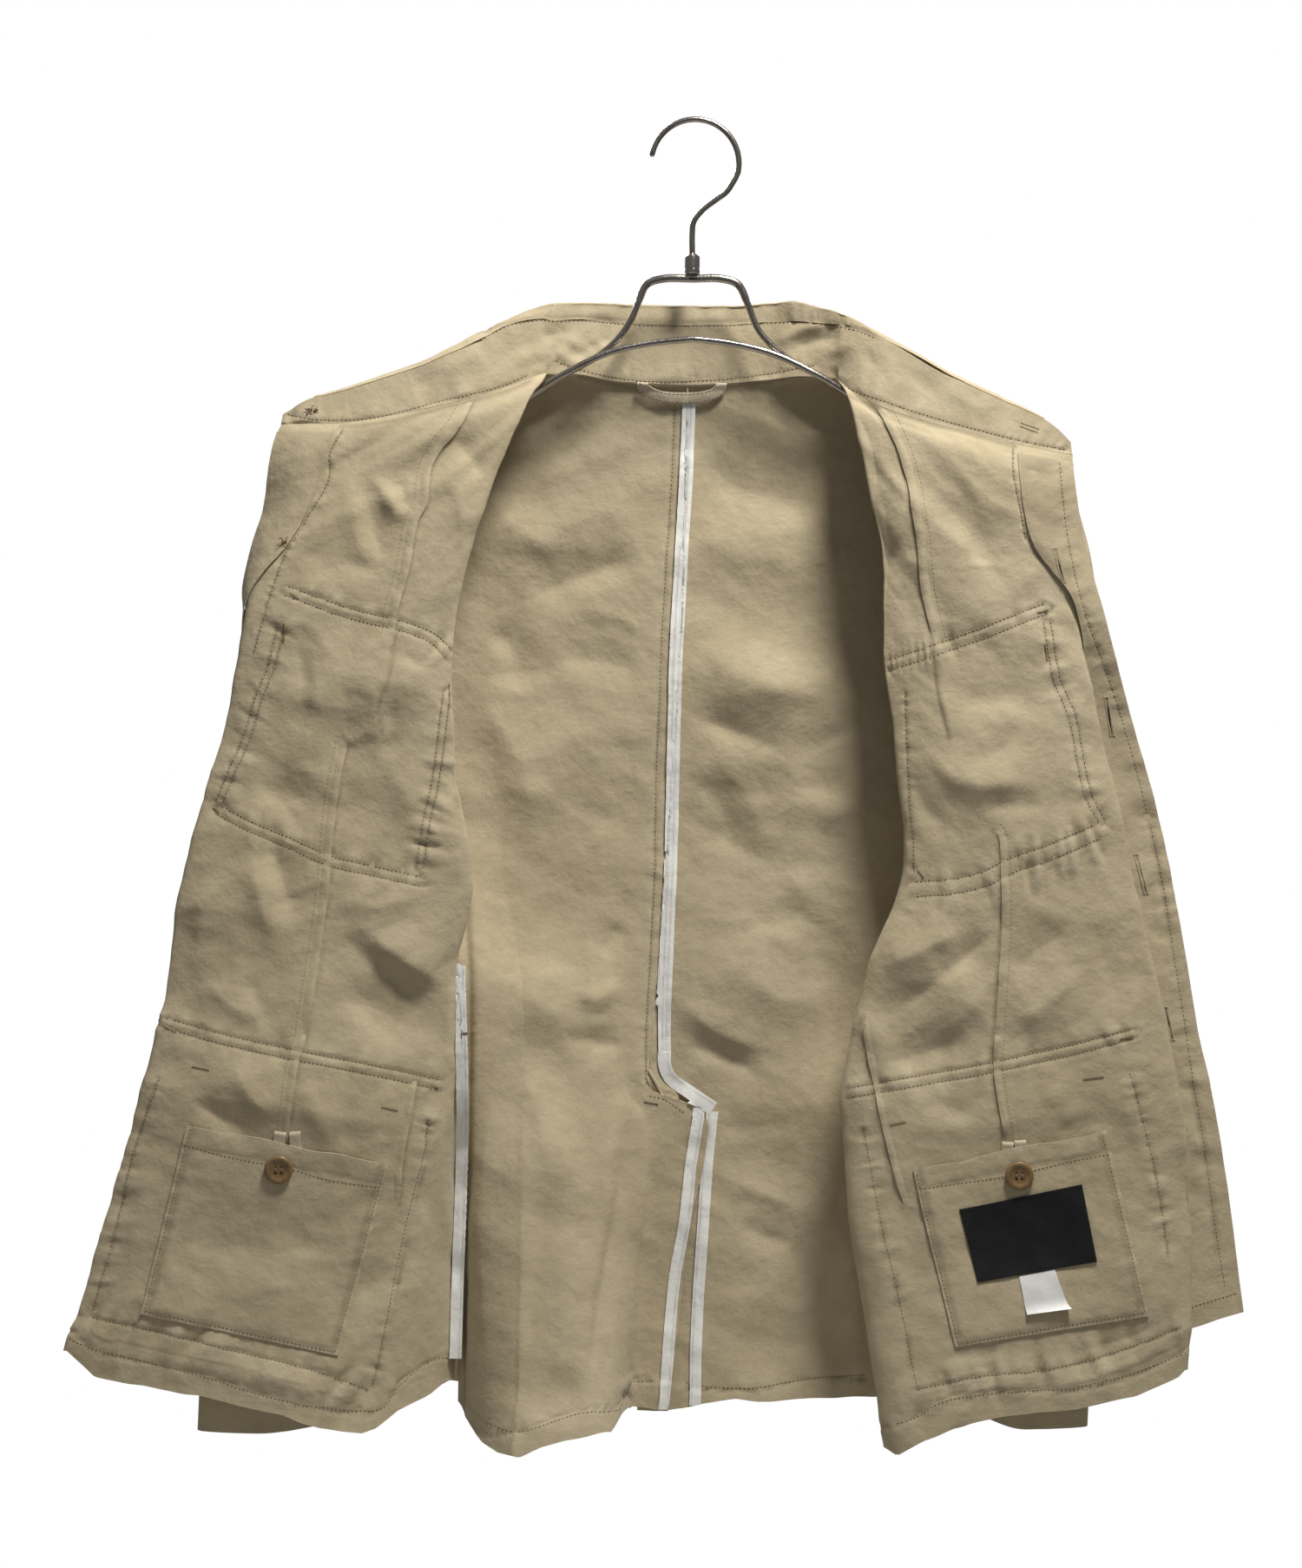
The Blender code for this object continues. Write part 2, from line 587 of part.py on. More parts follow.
def make_collar(back_left, front_left, back_right, front_right):
    left, left_offsets = half_collar(back_left, front_left, COLLAR_LEFT, -1.0)
    right, right_offsets = half_collar(back_right, front_right, COLLAR_RIGHT, 1.0)
    seam = np.concatenate([left[::-1], right[1:]])
    offsets = np.concatenate([left_offsets[::-1], right_offsets[1:]])
    top = seam + offsets[:, 0]
    fold = seam + offsets[:, 1]
    edge = seam + offsets[:, 2]
    stand_rows = [seam]
    for share in STAND_ROWS:
        stand_rows.append(seam + (top - seam) * share)
    stand = Cloth(np.stack(stand_rows), 1.0)
    inside = slice(LEAF_SET_BACK, len(seam) - LEAF_SET_BACK)
    behind = fold + np.array([0.0, 3.0 * MM, -5.0 * MM])
    guides = np.stack([top, fold, behind, (behind + edge) / 2.0, edge])[:, inside]
    leaf_steps = ((0.6, 1.0), (1.0,), (0.5, 1.0), (0.5, 1.0))
    leaf = Cloth(smooth_line(guides, leaf_steps), 1.0)
    return stand, leaf


def sew_all(cloths):
    """Join every seam: shoulders, sides, centre back, armholes, cuffs, neck and collar."""
    fl, fr = cloths["front_left"], cloths["front_right"]
    bl, br = cloths["back_left"], cloths["back_right"]
    rows = np.arange(ROW["hem"] + 1)
    arm = np.arange(ROW["underarm"] + 1)
    low = np.arange(ROW["underarm"], ROW["hem"] + 1)
    hinge = np.arange(COL["hinge"] + 1)
    last = bl.mid.shape[1] - 1
    edges = []
    for front, back in ((fl, bl), (fr, br)):
        shoulder = (front.edge(0, hinge, (1, 0)), back.edge(0, last - hinge, (1, 0)))
        side = (front.edge(low, 0, (0, 1)), back.edge(low, last, (0, -1)))
        for pair in (shoulder, side):
            sew(*pair)
            edges += pair
    centre = np.arange(ROW["lower_flap"])
    pair = (bl.edge(centre, 0, (0, 1)), br.edge(centre, 0, (0, 1)))
    sew(*pair)
    edges += pair
    for name, front, back in (("left", fl, bl), ("right", fr, br)):
        sleeve = cloths["sleeve_" + name]
        hole = front.edge(arm, 0, (0, 1))
        back_hole = back.edge(arm[::-1], last, (0, -1))
        ring = sleeve.edge(0, arm, (1, 0))
        back_ring = sleeve.edge(0, (np.arange(len(arm)) + ROW["underarm"]) % sleeve.mid.shape[1],
                                (1, 0))
        sew(hole, ring)
        sew(back_hole, back_ring)
        whole = sleeve.edge(0, np.arange(sleeve.mid.shape[1]), (1, 0))
        edges += [hole, back_hole, whole]
        cuff = cloths["cuff_" + name]
        around = np.arange(sleeve.mid.shape[1])
        wrist = (sleeve.edge(sleeve.mid.shape[0] - 1, around, (-1, 0)), cuff.edge(0, around, (1, 0)))
        sew(*wrist)
        edges += wrist
    stand, leaf = cloths["collar_stand"], cloths["collar_leaf"]
    count = stand.mid.shape[1]
    lapel = np.arange(COL["edge"] - COL["hinge"] + 1)
    nape = np.arange(NECK_COL + 1)
    stretches = (
        (fl, COL["edge"] - lapel, lapel),
        (bl, NECK_COL - nape, lapel[-1] + nape),
        (br, nape, lapel[-1] + NECK_COL + nape),
        (fr, COL["hinge"] + lapel, count - 1 - lapel[::-1]),
    )
    for cloth, columns, places in stretches:
        neck = cloth.edge(0, columns, (1, 0))
        sew(neck, stand.edge(0, places, (1, 0)))
        edges.append(neck)
    edges.append(stand.edge(0, np.arange(count), (1, 0)))
    inside = np.arange(leaf.mid.shape[1])
    join = (stand.edge(stand.mid.shape[0] - 1, inside + LEAF_SET_BACK, (-1, 0)),
            leaf.edge(0, inside, (1, 0)))
    sew(*join)
    edges += join
    places = (lapel[-1], lapel[-1] + 2 * NECK_COL)
    for name, front, back, place in (("left", fl, bl, places[0]), ("right", fr, br, places[1])):
        sleeve = cloths["sleeve_" + name]
        share_corner(((front, 0, COL["hinge"]), (back, 0, NECK_COL), (stand, 0, place)))
        share_corner(((front, 0, 0), (back, 0, last), (sleeve, 0, 0)))
    share_corner(((bl, 0, 0), (br, 0, 0), (stand, 0, lapel[-1] + NECK_COL)))
    for edge in edges:
        pull_back(edge)
    for cloth in cloths.values():
        cloth.mid += cloth.pull


def make_cloths():
    cloths = {
        "front_left": make_front(FRONT_LEFT, FRONT_STEPS_LEFT, 1.0),
        "front_right": make_front(FRONT_RIGHT, FRONT_STEPS_RIGHT, -1.0),
        "back_left": make_back(BACK_LEFT, 1.0),
        "back_right": make_back(BACK_RIGHT, -1.0),
    }
    for name, side, sleeve, cuff in (
        ("left", 1.0, SLEEVE_LEFT, CUFF_LEFT), ("right", -1.0, SLEEVE_RIGHT, CUFF_RIGHT),
    ):
        front = cloths["front_" + name]
        back = cloths["back_" + name]
        cloths["sleeve_" + name] = make_sleeve(front, back, sleeve, side)
        cloths["cuff_" + name] = make_cuff(cloths["sleeve_" + name], cuff, side)
    stand, leaf = make_collar(
        cloths["back_left"], cloths["front_left"], cloths["back_right"], cloths["front_right"])
    cloths["collar_stand"] = stand
    cloths["collar_leaf"] = leaf
    sew_all(cloths)
    return cloths


def build_cloths(cloths, home):
    for name, cloth in cloths.items():
        wall(name, cloth.mid, cloth.normal, CLOTH, "twill", home, closed=cloth.closed)


def build_pockets(cloths, home):
    for name in ("left", "right"):
        front = cloths["front_" + name]
        across = (COL["past_hinge"], COL["near_fold"])
        pocket_rows = (ROW["chest_flap"] + 1, ROW["underarm"])
        patch("chest_pocket_" + name, front, pocket_rows, across, -1, PATCH, "twill", home)
        flap_rows = (ROW["chest_flap"], ROW["chest_flap"] + 2)
        patch("chest_flap_" + name, front, flap_rows, across, -1, PATCH, "twill", home, layers=1)
        pocket_rows = (ROW["vent"], ROW["pocket_foot"])
        patch("lower_pocket_" + name, front, pocket_rows, across, -1, PATCH, "twill", home)
        flap_rows = (ROW["lower_flap"], ROW["lower_flap"] + 2)
        patch("lower_flap_" + name, front, flap_rows, across, -1, PATCH, "twill", home, layers=1)
        inner_rows = (ROW["inner_top"], ROW["inner_foot"])
        inner_columns = (COL["inner_near"], COL["inner_far"])
        patch("inner_pocket_" + name, front, inner_rows, inner_columns, 1, PATCH, "twill", home)
        strip = (COL["fold"] + 1, COL["edge"])
        patch("placket_" + name, front, (ROW["neck"] + 1, ROW["hem"]), strip, 1, PATCH, "twill", home)


def button(name, cloth, place, side, under, radius, home):
    """A flat round button with a soft rim, seated on what lies on the cloth there."""
    lift = side * (CLOTH / 2.0 + under + LAY_GAP + BUTTON_THICK / 2.0)
    point, normal = on_cloth(cloth, *place, lift)
    work = bmesh.new()
    bmesh.ops.create_cone(work, cap_ends=True, segments=BUTTON_SIDES, radius1=radius,
                          radius2=radius, depth=BUTTON_THICK)
    rims = [edge for edge in work.edges if abs(edge.verts[0].co.z - edge.verts[1].co.z) < 1e-6]
    bmesh.ops.bevel(work, geom=rims, offset=BUTTON_THICK * 0.25, segments=1, affect="EDGES")
    mesh = bpy.data.meshes.new(name)
    work.to_mesh(mesh)
    work.free()
    mesh.materials.append(material(name + "_finish", "button"))
    item = bpy.data.objects.new(name, mesh)
    item.location = Vector(point)
    item.rotation_mode = "QUATERNION"
    item.rotation_quaternion = Vector(normal * side).to_track_quat("Z", "Y")
    home.objects.link(item)
    return item


def build_buttons(cloths, home):
    on_patch = LAY_GAP + PATCH
    for name, column in BUTTON_COLUMNS:
        front = cloths["front_" + name]
        button("inner_button_" + name, front, (INNER_BUTTON_ROW, column), 1, on_patch,
               INNER_BUTTON_RADIUS, home)
        button("chest_flap_button_" + name, front, CHEST_FLAP_BUTTON, -1, 2 * on_patch,
               FLAP_BUTTON_RADIUS, home)
        button("lower_flap_button_" + name, front, LOWER_FLAP_BUTTON, -1, 2 * on_patch,
               FLAP_BUTTON_RADIUS, home)
    front = cloths["front_left"]
    for number, row in enumerate(FRONT_BUTTON_ROWS):
        button("front_button_%d" % (number + 1), front, (row, FRONT_BUTTON_COLUMN), -1,
               FRONT_BUTTON_ROOM, FRONT_BUTTON_RADIUS, home)
    button("collar_button", cloths["collar_stand"], COLLAR_BUTTON, -1, 0.0,
           COLLAR_BUTTON_RADIUS, home)


def build_trims(cloths, home):
    bl, br = cloths["back_left"], cloths["back_right"]
    seam_rows = (ROW["neck"], ROW["lower_flap"] - 1)
    vent_rows = (ROW["vent"], ROW["hem"])
    side_rows = (ROW["waist"] - 2, ROW["hem"] - 1)
    patch("tape_centre_back", br, seam_rows, TAPE_COLS["centre"], 1, TAPE, "tape", home)
    patch("tape_vent_left", bl, vent_rows, TAPE_COLS["centre"], 1, TAPE, "tape", home)
    patch("tape_vent_right", br, vent_rows, TAPE_COLS["vent_facing"], 1, TAPE, "tape", home)
    patch("tape_side_left", bl, side_rows, TAPE_COLS["side"], 1, TAPE, "tape", home)


def hanger_loop(cloths, home):
    """A flat strip across the neck seam, sagging a little, its ends against the neck."""
    bl = cloths["back_left"]
    centre = bl.mid[0, 0]
    places = ((-36, 0, 1), (-34, -3, -7), (-18, -4, -11), (-8, -4, -13), (4, -4, -12), (17, -3, -8),
              (19, 0, 1))
    mid = np.array([centre + np.array(place) * MM for place in places])
    mid[:, 1] -= CLOTH + 1.0 * MM
    half = np.array([0.0, 0.0, 3.4 * MM])
    grid = np.stack([mid + half, mid - half])
    facing = np.broadcast_to(np.array([0.0, -1.0, 0.0]), grid.shape)
    wall("hanger_loop", grid, facing, 1.2 * MM, "twill", home)


def button_loops(cloths, home):
    """A folded loop for each inner button, lying on the front above the pocket."""
    lift = CLOTH / 2.0 + LAY_GAP + LOOP_THICK / 2.0 + CURVE_ROOM
    for name, column in BUTTON_COLUMNS:
        front = cloths["front_" + name]
        columns = (column - LOOP_REACH, column, column + LOOP_REACH)
        region("button_loop_" + name, front, LOOP_ROWS, columns, lift,
               LOOP_THICK, "twill", home)


def labels(cloths, home):
    """The blank dark patch on the right inner pocket, and the small tag below it."""
    front = cloths["front_right"]
    lift = CLOTH / 2.0 + 2.0 * LAY_GAP + PATCH + CURVE_ROOM
    region("label_patch", front, LABEL_ROWS, LABEL_COLUMNS,
           lift + LABEL_THICK / 2.0, LABEL_THICK, "label", home)
    tag_lift = lift + LABEL_THICK + LAY_GAP + TAG_THICK / 2.0
    region("care_tag", front, TAG_ROWS, TAG_COLUMNS, tag_lift, TAG_THICK, "tag", home)


def wire(name, points, radius, home, closed=False):
    """A round wire along a smooth line of points."""
    points = np.asarray(points, dtype=float)
    curve = bpy.data.curves.new(name, "CURVE")
    curve.dimensions = "3D"
    curve.bevel_depth = radius
    curve.bevel_resolution = WIRE_SIDES // 4
    curve.use_fill_caps = True
    spline = curve.splines.new("POLY")
    spline.points.add(len(points) - 1)
    for slot, point in zip(spline.points, points):
        slot.co = (*point, 1.0)
    spline.use_cyclic_u = closed
    item = bpy.data.objects.new(name + "_path", curve)
    bpy.context.scene.collection.objects.link(item)
    bpy.context.view_layer.update()
    mesh = bpy.data.meshes.new_from_object(item.evaluated_get(bpy.context.evaluated_depsgraph_get()))
    bpy.data.objects.remove(item, do_unlink=True)
    mesh.name = name
    work = bmesh.new()
    work.from_mesh(mesh)
    bmesh.ops.remove_doubles(work, verts=work.verts, dist=1e-7)
    bmesh.ops.recalc_face_normals(work, faces=work.faces)
    work.to_mesh(mesh)
    work.free()
    mesh.materials.clear()
    mesh.materials.append(material(name + "_finish", "steel"))
    made = bpy.data.objects.new(name, mesh)
    home.objects.link(made)
    return made


def build_hook(home):
    centre = np.array([HOOK_SIDE, 0.0, HOOK_WIRE - HOOK_ROUND])
    round_points = []
    for step in range(17):
        angle = math.radians(172.0 - 184.0 * step / 16.0)
        round_points.append(centre + HOOK_ROUND * np.array([math.cos(angle), 0.0, math.sin(angle)]))
    stem = np.array(HOOK_STEM, dtype=float) * MM
    stem[-1, 2] = FERRULE_TOP + SEAM_GAP
    path = np.concatenate([round_points, smooth_line(stem, [(0.5, 1.0)] * (len(stem) - 1))])
    wire("hanger_hook", path, HOOK_WIRE, home)


def build_ferrule(home):
    work = bmesh.new()
    bmesh.ops.create_cone(work, cap_ends=True, segments=24, radius1=FERRULE_RADIUS,
                          radius2=FERRULE_RADIUS, depth=FERRULE_LENGTH)
    rims = [edge for edge in work.edges if abs(edge.verts[0].co.z - edge.verts[1].co.z) < 1e-6]
    bmesh.ops.bevel(work, geom=rims, offset=1.0 * MM, segments=2, affect="EDGES")
    mesh = bpy.data.meshes.new("hanger_ferrule")
    work.to_mesh(mesh)
    work.free()
    mesh.materials.append(material("hanger_ferrule_finish", "steel"))
    item = bpy.data.objects.new("hanger_ferrule", mesh)
    item.location = (0.0, 0.0, FERRULE_TOP - FERRULE_LENGTH / 2.0)
    home.objects.link(item)


def arm_turn(side):
    """The round end of an arm, from the leg's side at the back to the arc's at the front."""
    end = np.array(ARM_END, dtype=float) * MM
    points = []
    for step in range(5):
        angle = math.radians(90.0 - 45.0 * step)
        points.append([side * (end[0] - ARM_TURN + ARM_TURN * math.cos(angle)),
                       ARM_TURN * math.sin(angle), end[2]])
    return np.array(points)


def build_frame(home):
    """One closed loop: over the arch, out along the back, round the end and in along the front."""
    left_leg = smooth_line(np.array(FRAME_LEG_LEFT) * MM, [(0.5, 1.0)] * (len(FRAME_LEG_LEFT) - 1))
    right_leg = smooth_line(np.array(FRAME_LEG_RIGHT) * MM, [(0.5, 1.0)] * (len(FRAME_LEG_RIGHT) - 1))
    left_arc = smooth_line(np.array(FRAME_ARC_LEFT) * MM, [(0.5, 1.0)] * (len(FRAME_ARC_LEFT) - 1))
    right_arc = smooth_line(np.array(FRAME_ARC_RIGHT) * MM, [(0.5, 1.0)] * (len(FRAME_ARC_RIGHT) - 1))
    path = [left_leg, arm_turn(-1.0), left_arc[::-1], right_arc[1:], arm_turn(1.0)[::-1],
            right_leg[:0:-1]]
    wire("hanger_frame", np.concatenate(path), FRAME_WIRE, home, closed=True)


def build():
    clear_scene()
    home = collection("safari_jacket_on_hanger")
    cloths = make_cloths()
    build_cloths(cloths, home)
    build_pockets(cloths, home)
    build_buttons(cloths, home)
    build_trims(cloths, home)
    hanger_loop(cloths, home)
    button_loops(cloths, home)
    labels(cloths, home)
    build_hook(home)
    build_ferrule(home)
    build_frame(home)


build()
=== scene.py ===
"""The looks of a safari jacket that hangs open on a wire hanger, seen from its inside.

Metres, +X to the viewer's right, +Y away from the viewer, +Z up; the origin is the highest
point inside the hook. Places given in picture points are those of the 1500 by 1806 view, and
each is moved onto the cloth that carries it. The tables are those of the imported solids.
"""

import math

import bmesh
import bpy
import numpy as np
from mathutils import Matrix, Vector
from mathutils.kdtree import KDTree


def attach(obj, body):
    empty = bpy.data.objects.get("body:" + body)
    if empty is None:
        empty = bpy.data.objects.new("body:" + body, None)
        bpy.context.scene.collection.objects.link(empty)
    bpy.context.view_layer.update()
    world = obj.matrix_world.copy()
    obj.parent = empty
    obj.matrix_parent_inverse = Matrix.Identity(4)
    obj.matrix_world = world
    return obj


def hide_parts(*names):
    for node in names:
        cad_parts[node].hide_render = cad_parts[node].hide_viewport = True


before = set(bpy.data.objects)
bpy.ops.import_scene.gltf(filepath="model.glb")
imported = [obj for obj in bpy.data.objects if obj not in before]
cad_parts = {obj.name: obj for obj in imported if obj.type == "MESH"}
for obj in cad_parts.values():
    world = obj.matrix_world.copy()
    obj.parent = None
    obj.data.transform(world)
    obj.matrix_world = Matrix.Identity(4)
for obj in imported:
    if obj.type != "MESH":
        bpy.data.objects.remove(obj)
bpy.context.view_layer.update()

MM = 0.001
SEAM_GAP = 0.3 * MM
# The collar's fall starts this many columns in from the stand's ends.
LEAF_SET_BACK = 2
STAND_ROWS = (0.5, 1.0)

# Thickness of the cloths, and how far a laid piece and one on top of it stand off their cloth.
CLOTH = 1.0 * MM
PATCH = 0.8 * MM
TAPE = 0.7 * MM
LABEL = 0.6 * MM
TAG = 0.4 * MM
LOOP = 0.9 * MM
LAID_LIFT = 1.9 * MM
NEXT_LIFT = 1.5 * MM

# The camera, level and looking along +Y, and the size of a picture point at Y = 0.
CAMERA = (-0.029, -2.0, -0.465)
POINT_MM = 0.61
POINT = POINT_MM * MM
IMAGE = (1500, 1806)
SENSOR = 36.0

# How strongly the listed reliefs stand out, as shares of their tabled heights.
CREASE_GAIN = 1.75
TUCK_GAIN = 1.2
PUCKER_GAIN = 2.0
RIPPLE_GAIN = 1.5
CRUMPLE = 1.5 * MM

# The groove along a stitch line, and the small ticks across it with their period in points.
GROOVE = 0.55 * MM
TICK = 0.42 * MM
TICK_PERIOD = 8.0

# A doubled hem: its depth in picture points and how far it stands up.
HEM_DEPTH = 40.0
HEM_RISE = 0.5 * MM

# Sections of the garment from the neck down, with the share of each step that its rows take.
ROW_STEPS = (
    (1.0,),
    (1.0,),
    (0.5, 1.0),
    (0.5, 1.0),
    (0.35, 0.7, 1.0),
    (0.35, 0.7, 1.0),
    (0.35, 0.7, 1.0),
    (0.35, 0.7, 1.0),
    (1.0,),
    (0.44, 0.72, 1.0),
    (0.32, 0.63, 0.76, 1.0),
)
UNDERARM, SEAM_FOOT, HEM = 12, 18, 26

# Guides across a front, from the armhole or side seam to the front edge.
# Columns: side, hinge (where the front folds back), dart, fold, under, edge; each X, Y, Z.
FRONT_LEFT = (
    ("neck", (-214, 0, -236), (-103, 0, -177), (-150, -28, -197), (-242, -34, -216),
     (-264, -32, -216), (-285, -28, -216)),
    ("roll", (-214, -10, -241), (-107, -13, -185), (-154, -32, -206), (-245, -38, -223),
     (-267, -36, -223), (-287, -30, -222)),
    ("turn", (-214, -13, -262), (-115, -26, -201), (-157, -37, -219), (-250, -41, -236),
     (-272, -38, -235), (-290, -32, -234)),
    ("across", (-217, -14, -305), (-154, -34, -296), (-186, -44, -307), (-268, -45, -289),
     (-284, -40, -283), (-297, -31, -277)),
    ("chest_flap", (-219, -14, -363), (-166, -36, -380), (-207, -46, -358), (-301, -46, -338),
     (-306, -41, -337), (-309, -32, -336)),
    ("chest_pocket", (-219, -13, -433), (-164, -36, -459), (-227, -46, -438), (-317, -42, -410),
     (-303, -26, -407), (-282, -25, -407)),
    ("underarm", (-214, 4, -515), (-153, -34, -540), (-247, -46, -520), (-336, -42, -480),
     (-322, -25, -480), (-299, -23, -485)),
    ("waist", (-169, -6, -588), (-165, -32, -595), (-261, -48, -578), (-354, -42, -560),
     (-340, -24, -562), (-317, -23, -568)),
    ("lower_flap", (-162, 0, -673), (-170, -30, -677), (-270, -50, -655), (-366, -43, -632),
     (-352, -24, -634), (-329, -23, -640)),
    ("vent", (-162, 1, -697), (-174, -31, -700), (-273, -50, -680), (-371, -43, -657),
     (-357, -24, -659), (-334, -23, -665)),
    ("lower_pocket", (-163, 5, -784), (-192, -32, -783), (-293, -50, -764), (-397, -42, -742),
     (-383, -24, -744), (-360, -22, -750)),
    ("hem", (-165, 8, -887), (-215, -38, -907), (-320, -48, -891), (-431, -40, -861),
     (-416, -23, -860), (-393, -21, -866)),
)
FRONT_RIGHT = (
    ("neck", (214, 0, -236), (102, 0, -180), (131, -28, -204), (222, -33, -230),
     (243, -31, -234), (263, -28, -237)),
    ("roll", (214, -10, -241), (107, -13, -190), (136, -32, -213), (222, -37, -237),
     (243, -35, -240), (263, -30, -243)),
    ("turn", (214, -13, -262), (111, -26, -206), (140, -37, -223), (222, -42, -249),
     (244, -38, -251), (263, -32, -253)),
    ("across", (216, -14, -300), (131, -34, -307), (156, -46, -303), (231, -46, -296),
     (251, -42, -297), (270, -33, -299)),
    ("chest_flap", (218, -14, -363), (132, -36, -380), (165, -46, -368), (256, -44, -339),
     (266, -43, -343), (283, -37, -347)),
    ("chest_pocket", (218, -13, -433), (141, -36, -442), (185, -48, -438), (276, -43, -411),
     (271, -31, -414), (303, -24, -416)),
    ("underarm", (214, 4, -515), (147, -34, -523), (212, -50, -524), (294, -44, -493),
     (281, -32, -496), (325, -23, -495)),
    ("waist", (175, -6, -588), (122, -34, -592), (211, -50, -588), (310, -44, -571),
     (294, -32, -573), (340, -22, -573)),
    ("lower_flap", (148, 0, -673), (102, -34, -676), (208, -50, -661), (324, -44, -635),
     (303, -32, -638), (352, -21, -643)),
    ("vent", (148, 1, -697), (103, -34, -700), (211, -50, -684), (328, -44, -659),
     (307, -31, -662), (357, -21, -664)),
    ("lower_pocket", (149, 5, -784), (112, -36, -787), (234, -50, -766), (341, -43, -742),
     (322, -31, -744), (371, -20, -742)),
    ("hem", (146, 8, -887), (136, -42, -922), (215, -48, -900), (339, -42, -869),
     (325, -30, -853), (383, -19, -833)),
)
FRONT_STEPS_LEFT = (
    (0.12, 0.5, 0.84, 1.0),
    (0.12, 0.32, 0.62, 1.0),
    (0.3, 0.54, 0.87, 1.0),
    (0.5, 1.0),
    (0.5, 1.0),
)
FRONT_STEPS_RIGHT = (
    (0.12, 0.5, 0.84, 1.0),
    (0.2, 0.5, 0.75, 1.0),
    (0.3, 0.57, 0.85, 1.0),
    (0.5, 1.0),
    (0.5, 1.0),
)
HINGE, EDGE = 4, 16

# Guides across a back half, from the centre seam to the side.
# Columns: centre, crease, nape, neck, side; each X, Y, Z.
BACK_LEFT = (
    ("neck", (-3, 20, -182), (-32, 19, -181), (-60, 17, -179), (-103, 0, -177), (-214, 0, -236)),
    ("roll", (-3, 22, -190), (-32, 21, -189), (-61, 20, -187), (-104, 12, -183), (-214, 16, -241)),
    ("turn", (-4, 23, -206), (-33, 23, -206), (-62, 23, -206), (-106, 21, -204), (-214, 21, -262)),
    ("across", (-6, 23, -278), (-35, 23, -280), (-64, 23, -282), (-120, 23, -290),
     (-217, 22, -305)),
    ("chest_flap", (-8, 22, -358), (-37, 22, -359), (-66, 23, -360), (-130, 24, -362),
     (-219, 22, -363)),
    ("chest_pocket", (-13, 22, -438), (-42, 21, -438), (-70, 21, -438), (-135, 24, -436),
     (-219, 21, -433)),
    ("underarm", (-19, 21, -524), (-45, 20, -524), (-72, 18, -524), (-130, 21, -520),
     (-214, 4, -515)),
    ("waist", (-24, 20, -601), (-46, 17, -601), (-68, 12, -600), (-118, 12, -598),
     (-169, -6, -588)),
    ("lower_flap", (-29, 13, -681), (-44, 11, -682), (-62, 4, -682), (-114, -2, -682),
     (-162, 0, -673)),
    ("vent", (8, 14, -697), (-28, 13, -701), (-58, 2, -704), (-114, -8, -706), (-162, 1, -697)),
    ("lower_pocket", (-3, 14, -788), (-34, 14, -794), (-57, -8, -802), (-114, -26, -808),
     (-163, 5, -784)),
    ("hem", (-16, 12, -905), (-44, 14, -909), (-60, -30, -915), (-118, -45, -928),
     (-165, 8, -887)),
)
BACK_RIGHT = (
    ("neck", (-3, 20, -182), (28, 19, -181), (54, 17, -179), (102, 0, -180), (214, 0, -236)),
    ("roll", (-3, 22, -190), (28, 21, -189), (54, 20, -187), (103, 12, -186), (214, 16, -241)),
    ("turn", (-4, 23, -206), (27, 23, -206), (54, 23, -206), (105, 21, -206), (214, 21, -262)),
    ("across", (-6, 23, -278), (26, 23, -280), (52, 23, -282), (112, 23, -288), (216, 22, -300)),
    ("chest_flap", (-8, 22, -358), (24, 22, -359), (50, 22, -360), (120, 24, -362),
     (218, 22, -363)),
    ("chest_pocket", (-13, 22, -438), (18, 20, -438), (45, 18, -438), (118, 22, -436),
     (218, 21, -433)),
    ("underarm", (-19, 21, -524), (12, 21, -524), (40, 21, -524), (112, 16, -521),
     (214, 4, -515)),
    ("waist", (-24, 20, -601), (8, 18, -601), (36, 15, -600), (100, 16, -597), (175, -6, -588)),
    ("lower_flap", (-29, 22, -681), (9, 22, -682), (36, 21, -682), (92, 12, -680),
     (148, 0, -673)),
    ("vent", (-29, 25, -697), (9, 23, -698), (36, 21, -698), (92, 12, -697), (148, 1, -697)),
    ("lower_pocket", (-34, 25, -788), (3, 20, -789), (34, 15, -790), (90, 14, -789),
     (149, 5, -784)),
    ("hem", (-38, 24, -905), (-2, 17, -902), (30, 11, -898), (90, 12, -900), (146, 8, -887)),
)
BACK_STEPS = (
    (0.28, 1.0),
    (0.33, 1.0),
    (0.5, 1.0),
    (0.16, 0.5, 0.88, 1.0),
)
NECK_COL = 6
# Buttons on the solids' rows and columns.
CHEST_FLAP_BUTTON = (7.4, 8.3)
LOWER_FLAP_BUTTON = (19.5, 8.3)
FRONT_BUTTON_ROWS = (4.9, 9.2, 12.5, 16.2)
FRONT_BUTTON_COLUMN = 15.0
COLLAR_BUTTON = (1.0, 1.0)

# Sleeve rings from the armhole to the cuff: inner X and Z, outer X and Z, depth centre, half depth.
SLEEVE_LEFT = (
    ("cap", -219, -522, -243, -241, 5, 17),
    ("crown", -222, -530, -270, -255, 7, 20),
    ("upper", -223, -540, -289, -285, 10, 23),
    ("high_arm", -221, -552, -301, -326, 13, 26),
    ("biceps", -218, -567, -309, -377, 15, 28),
    ("mid_arm", -215, -586, -317, -432, 17, 30),
    ("low_arm", -212, -610, -326, -492, 18, 31),
    ("elbow", -210, -640, -333, -554, 18, 30),
    ("forearm", -210, -676, -338, -621, 17, 28),
    ("fore_mid", -210, -718, -342, -690, 16, 26),
    ("wrist_high", -211, -767, -345, -756, 15, 24),
    ("wrist", -212, -818, -346, -815, 14, 20),
    ("cuff_seam", -213, -870, -347, -869, 13, 16),
)
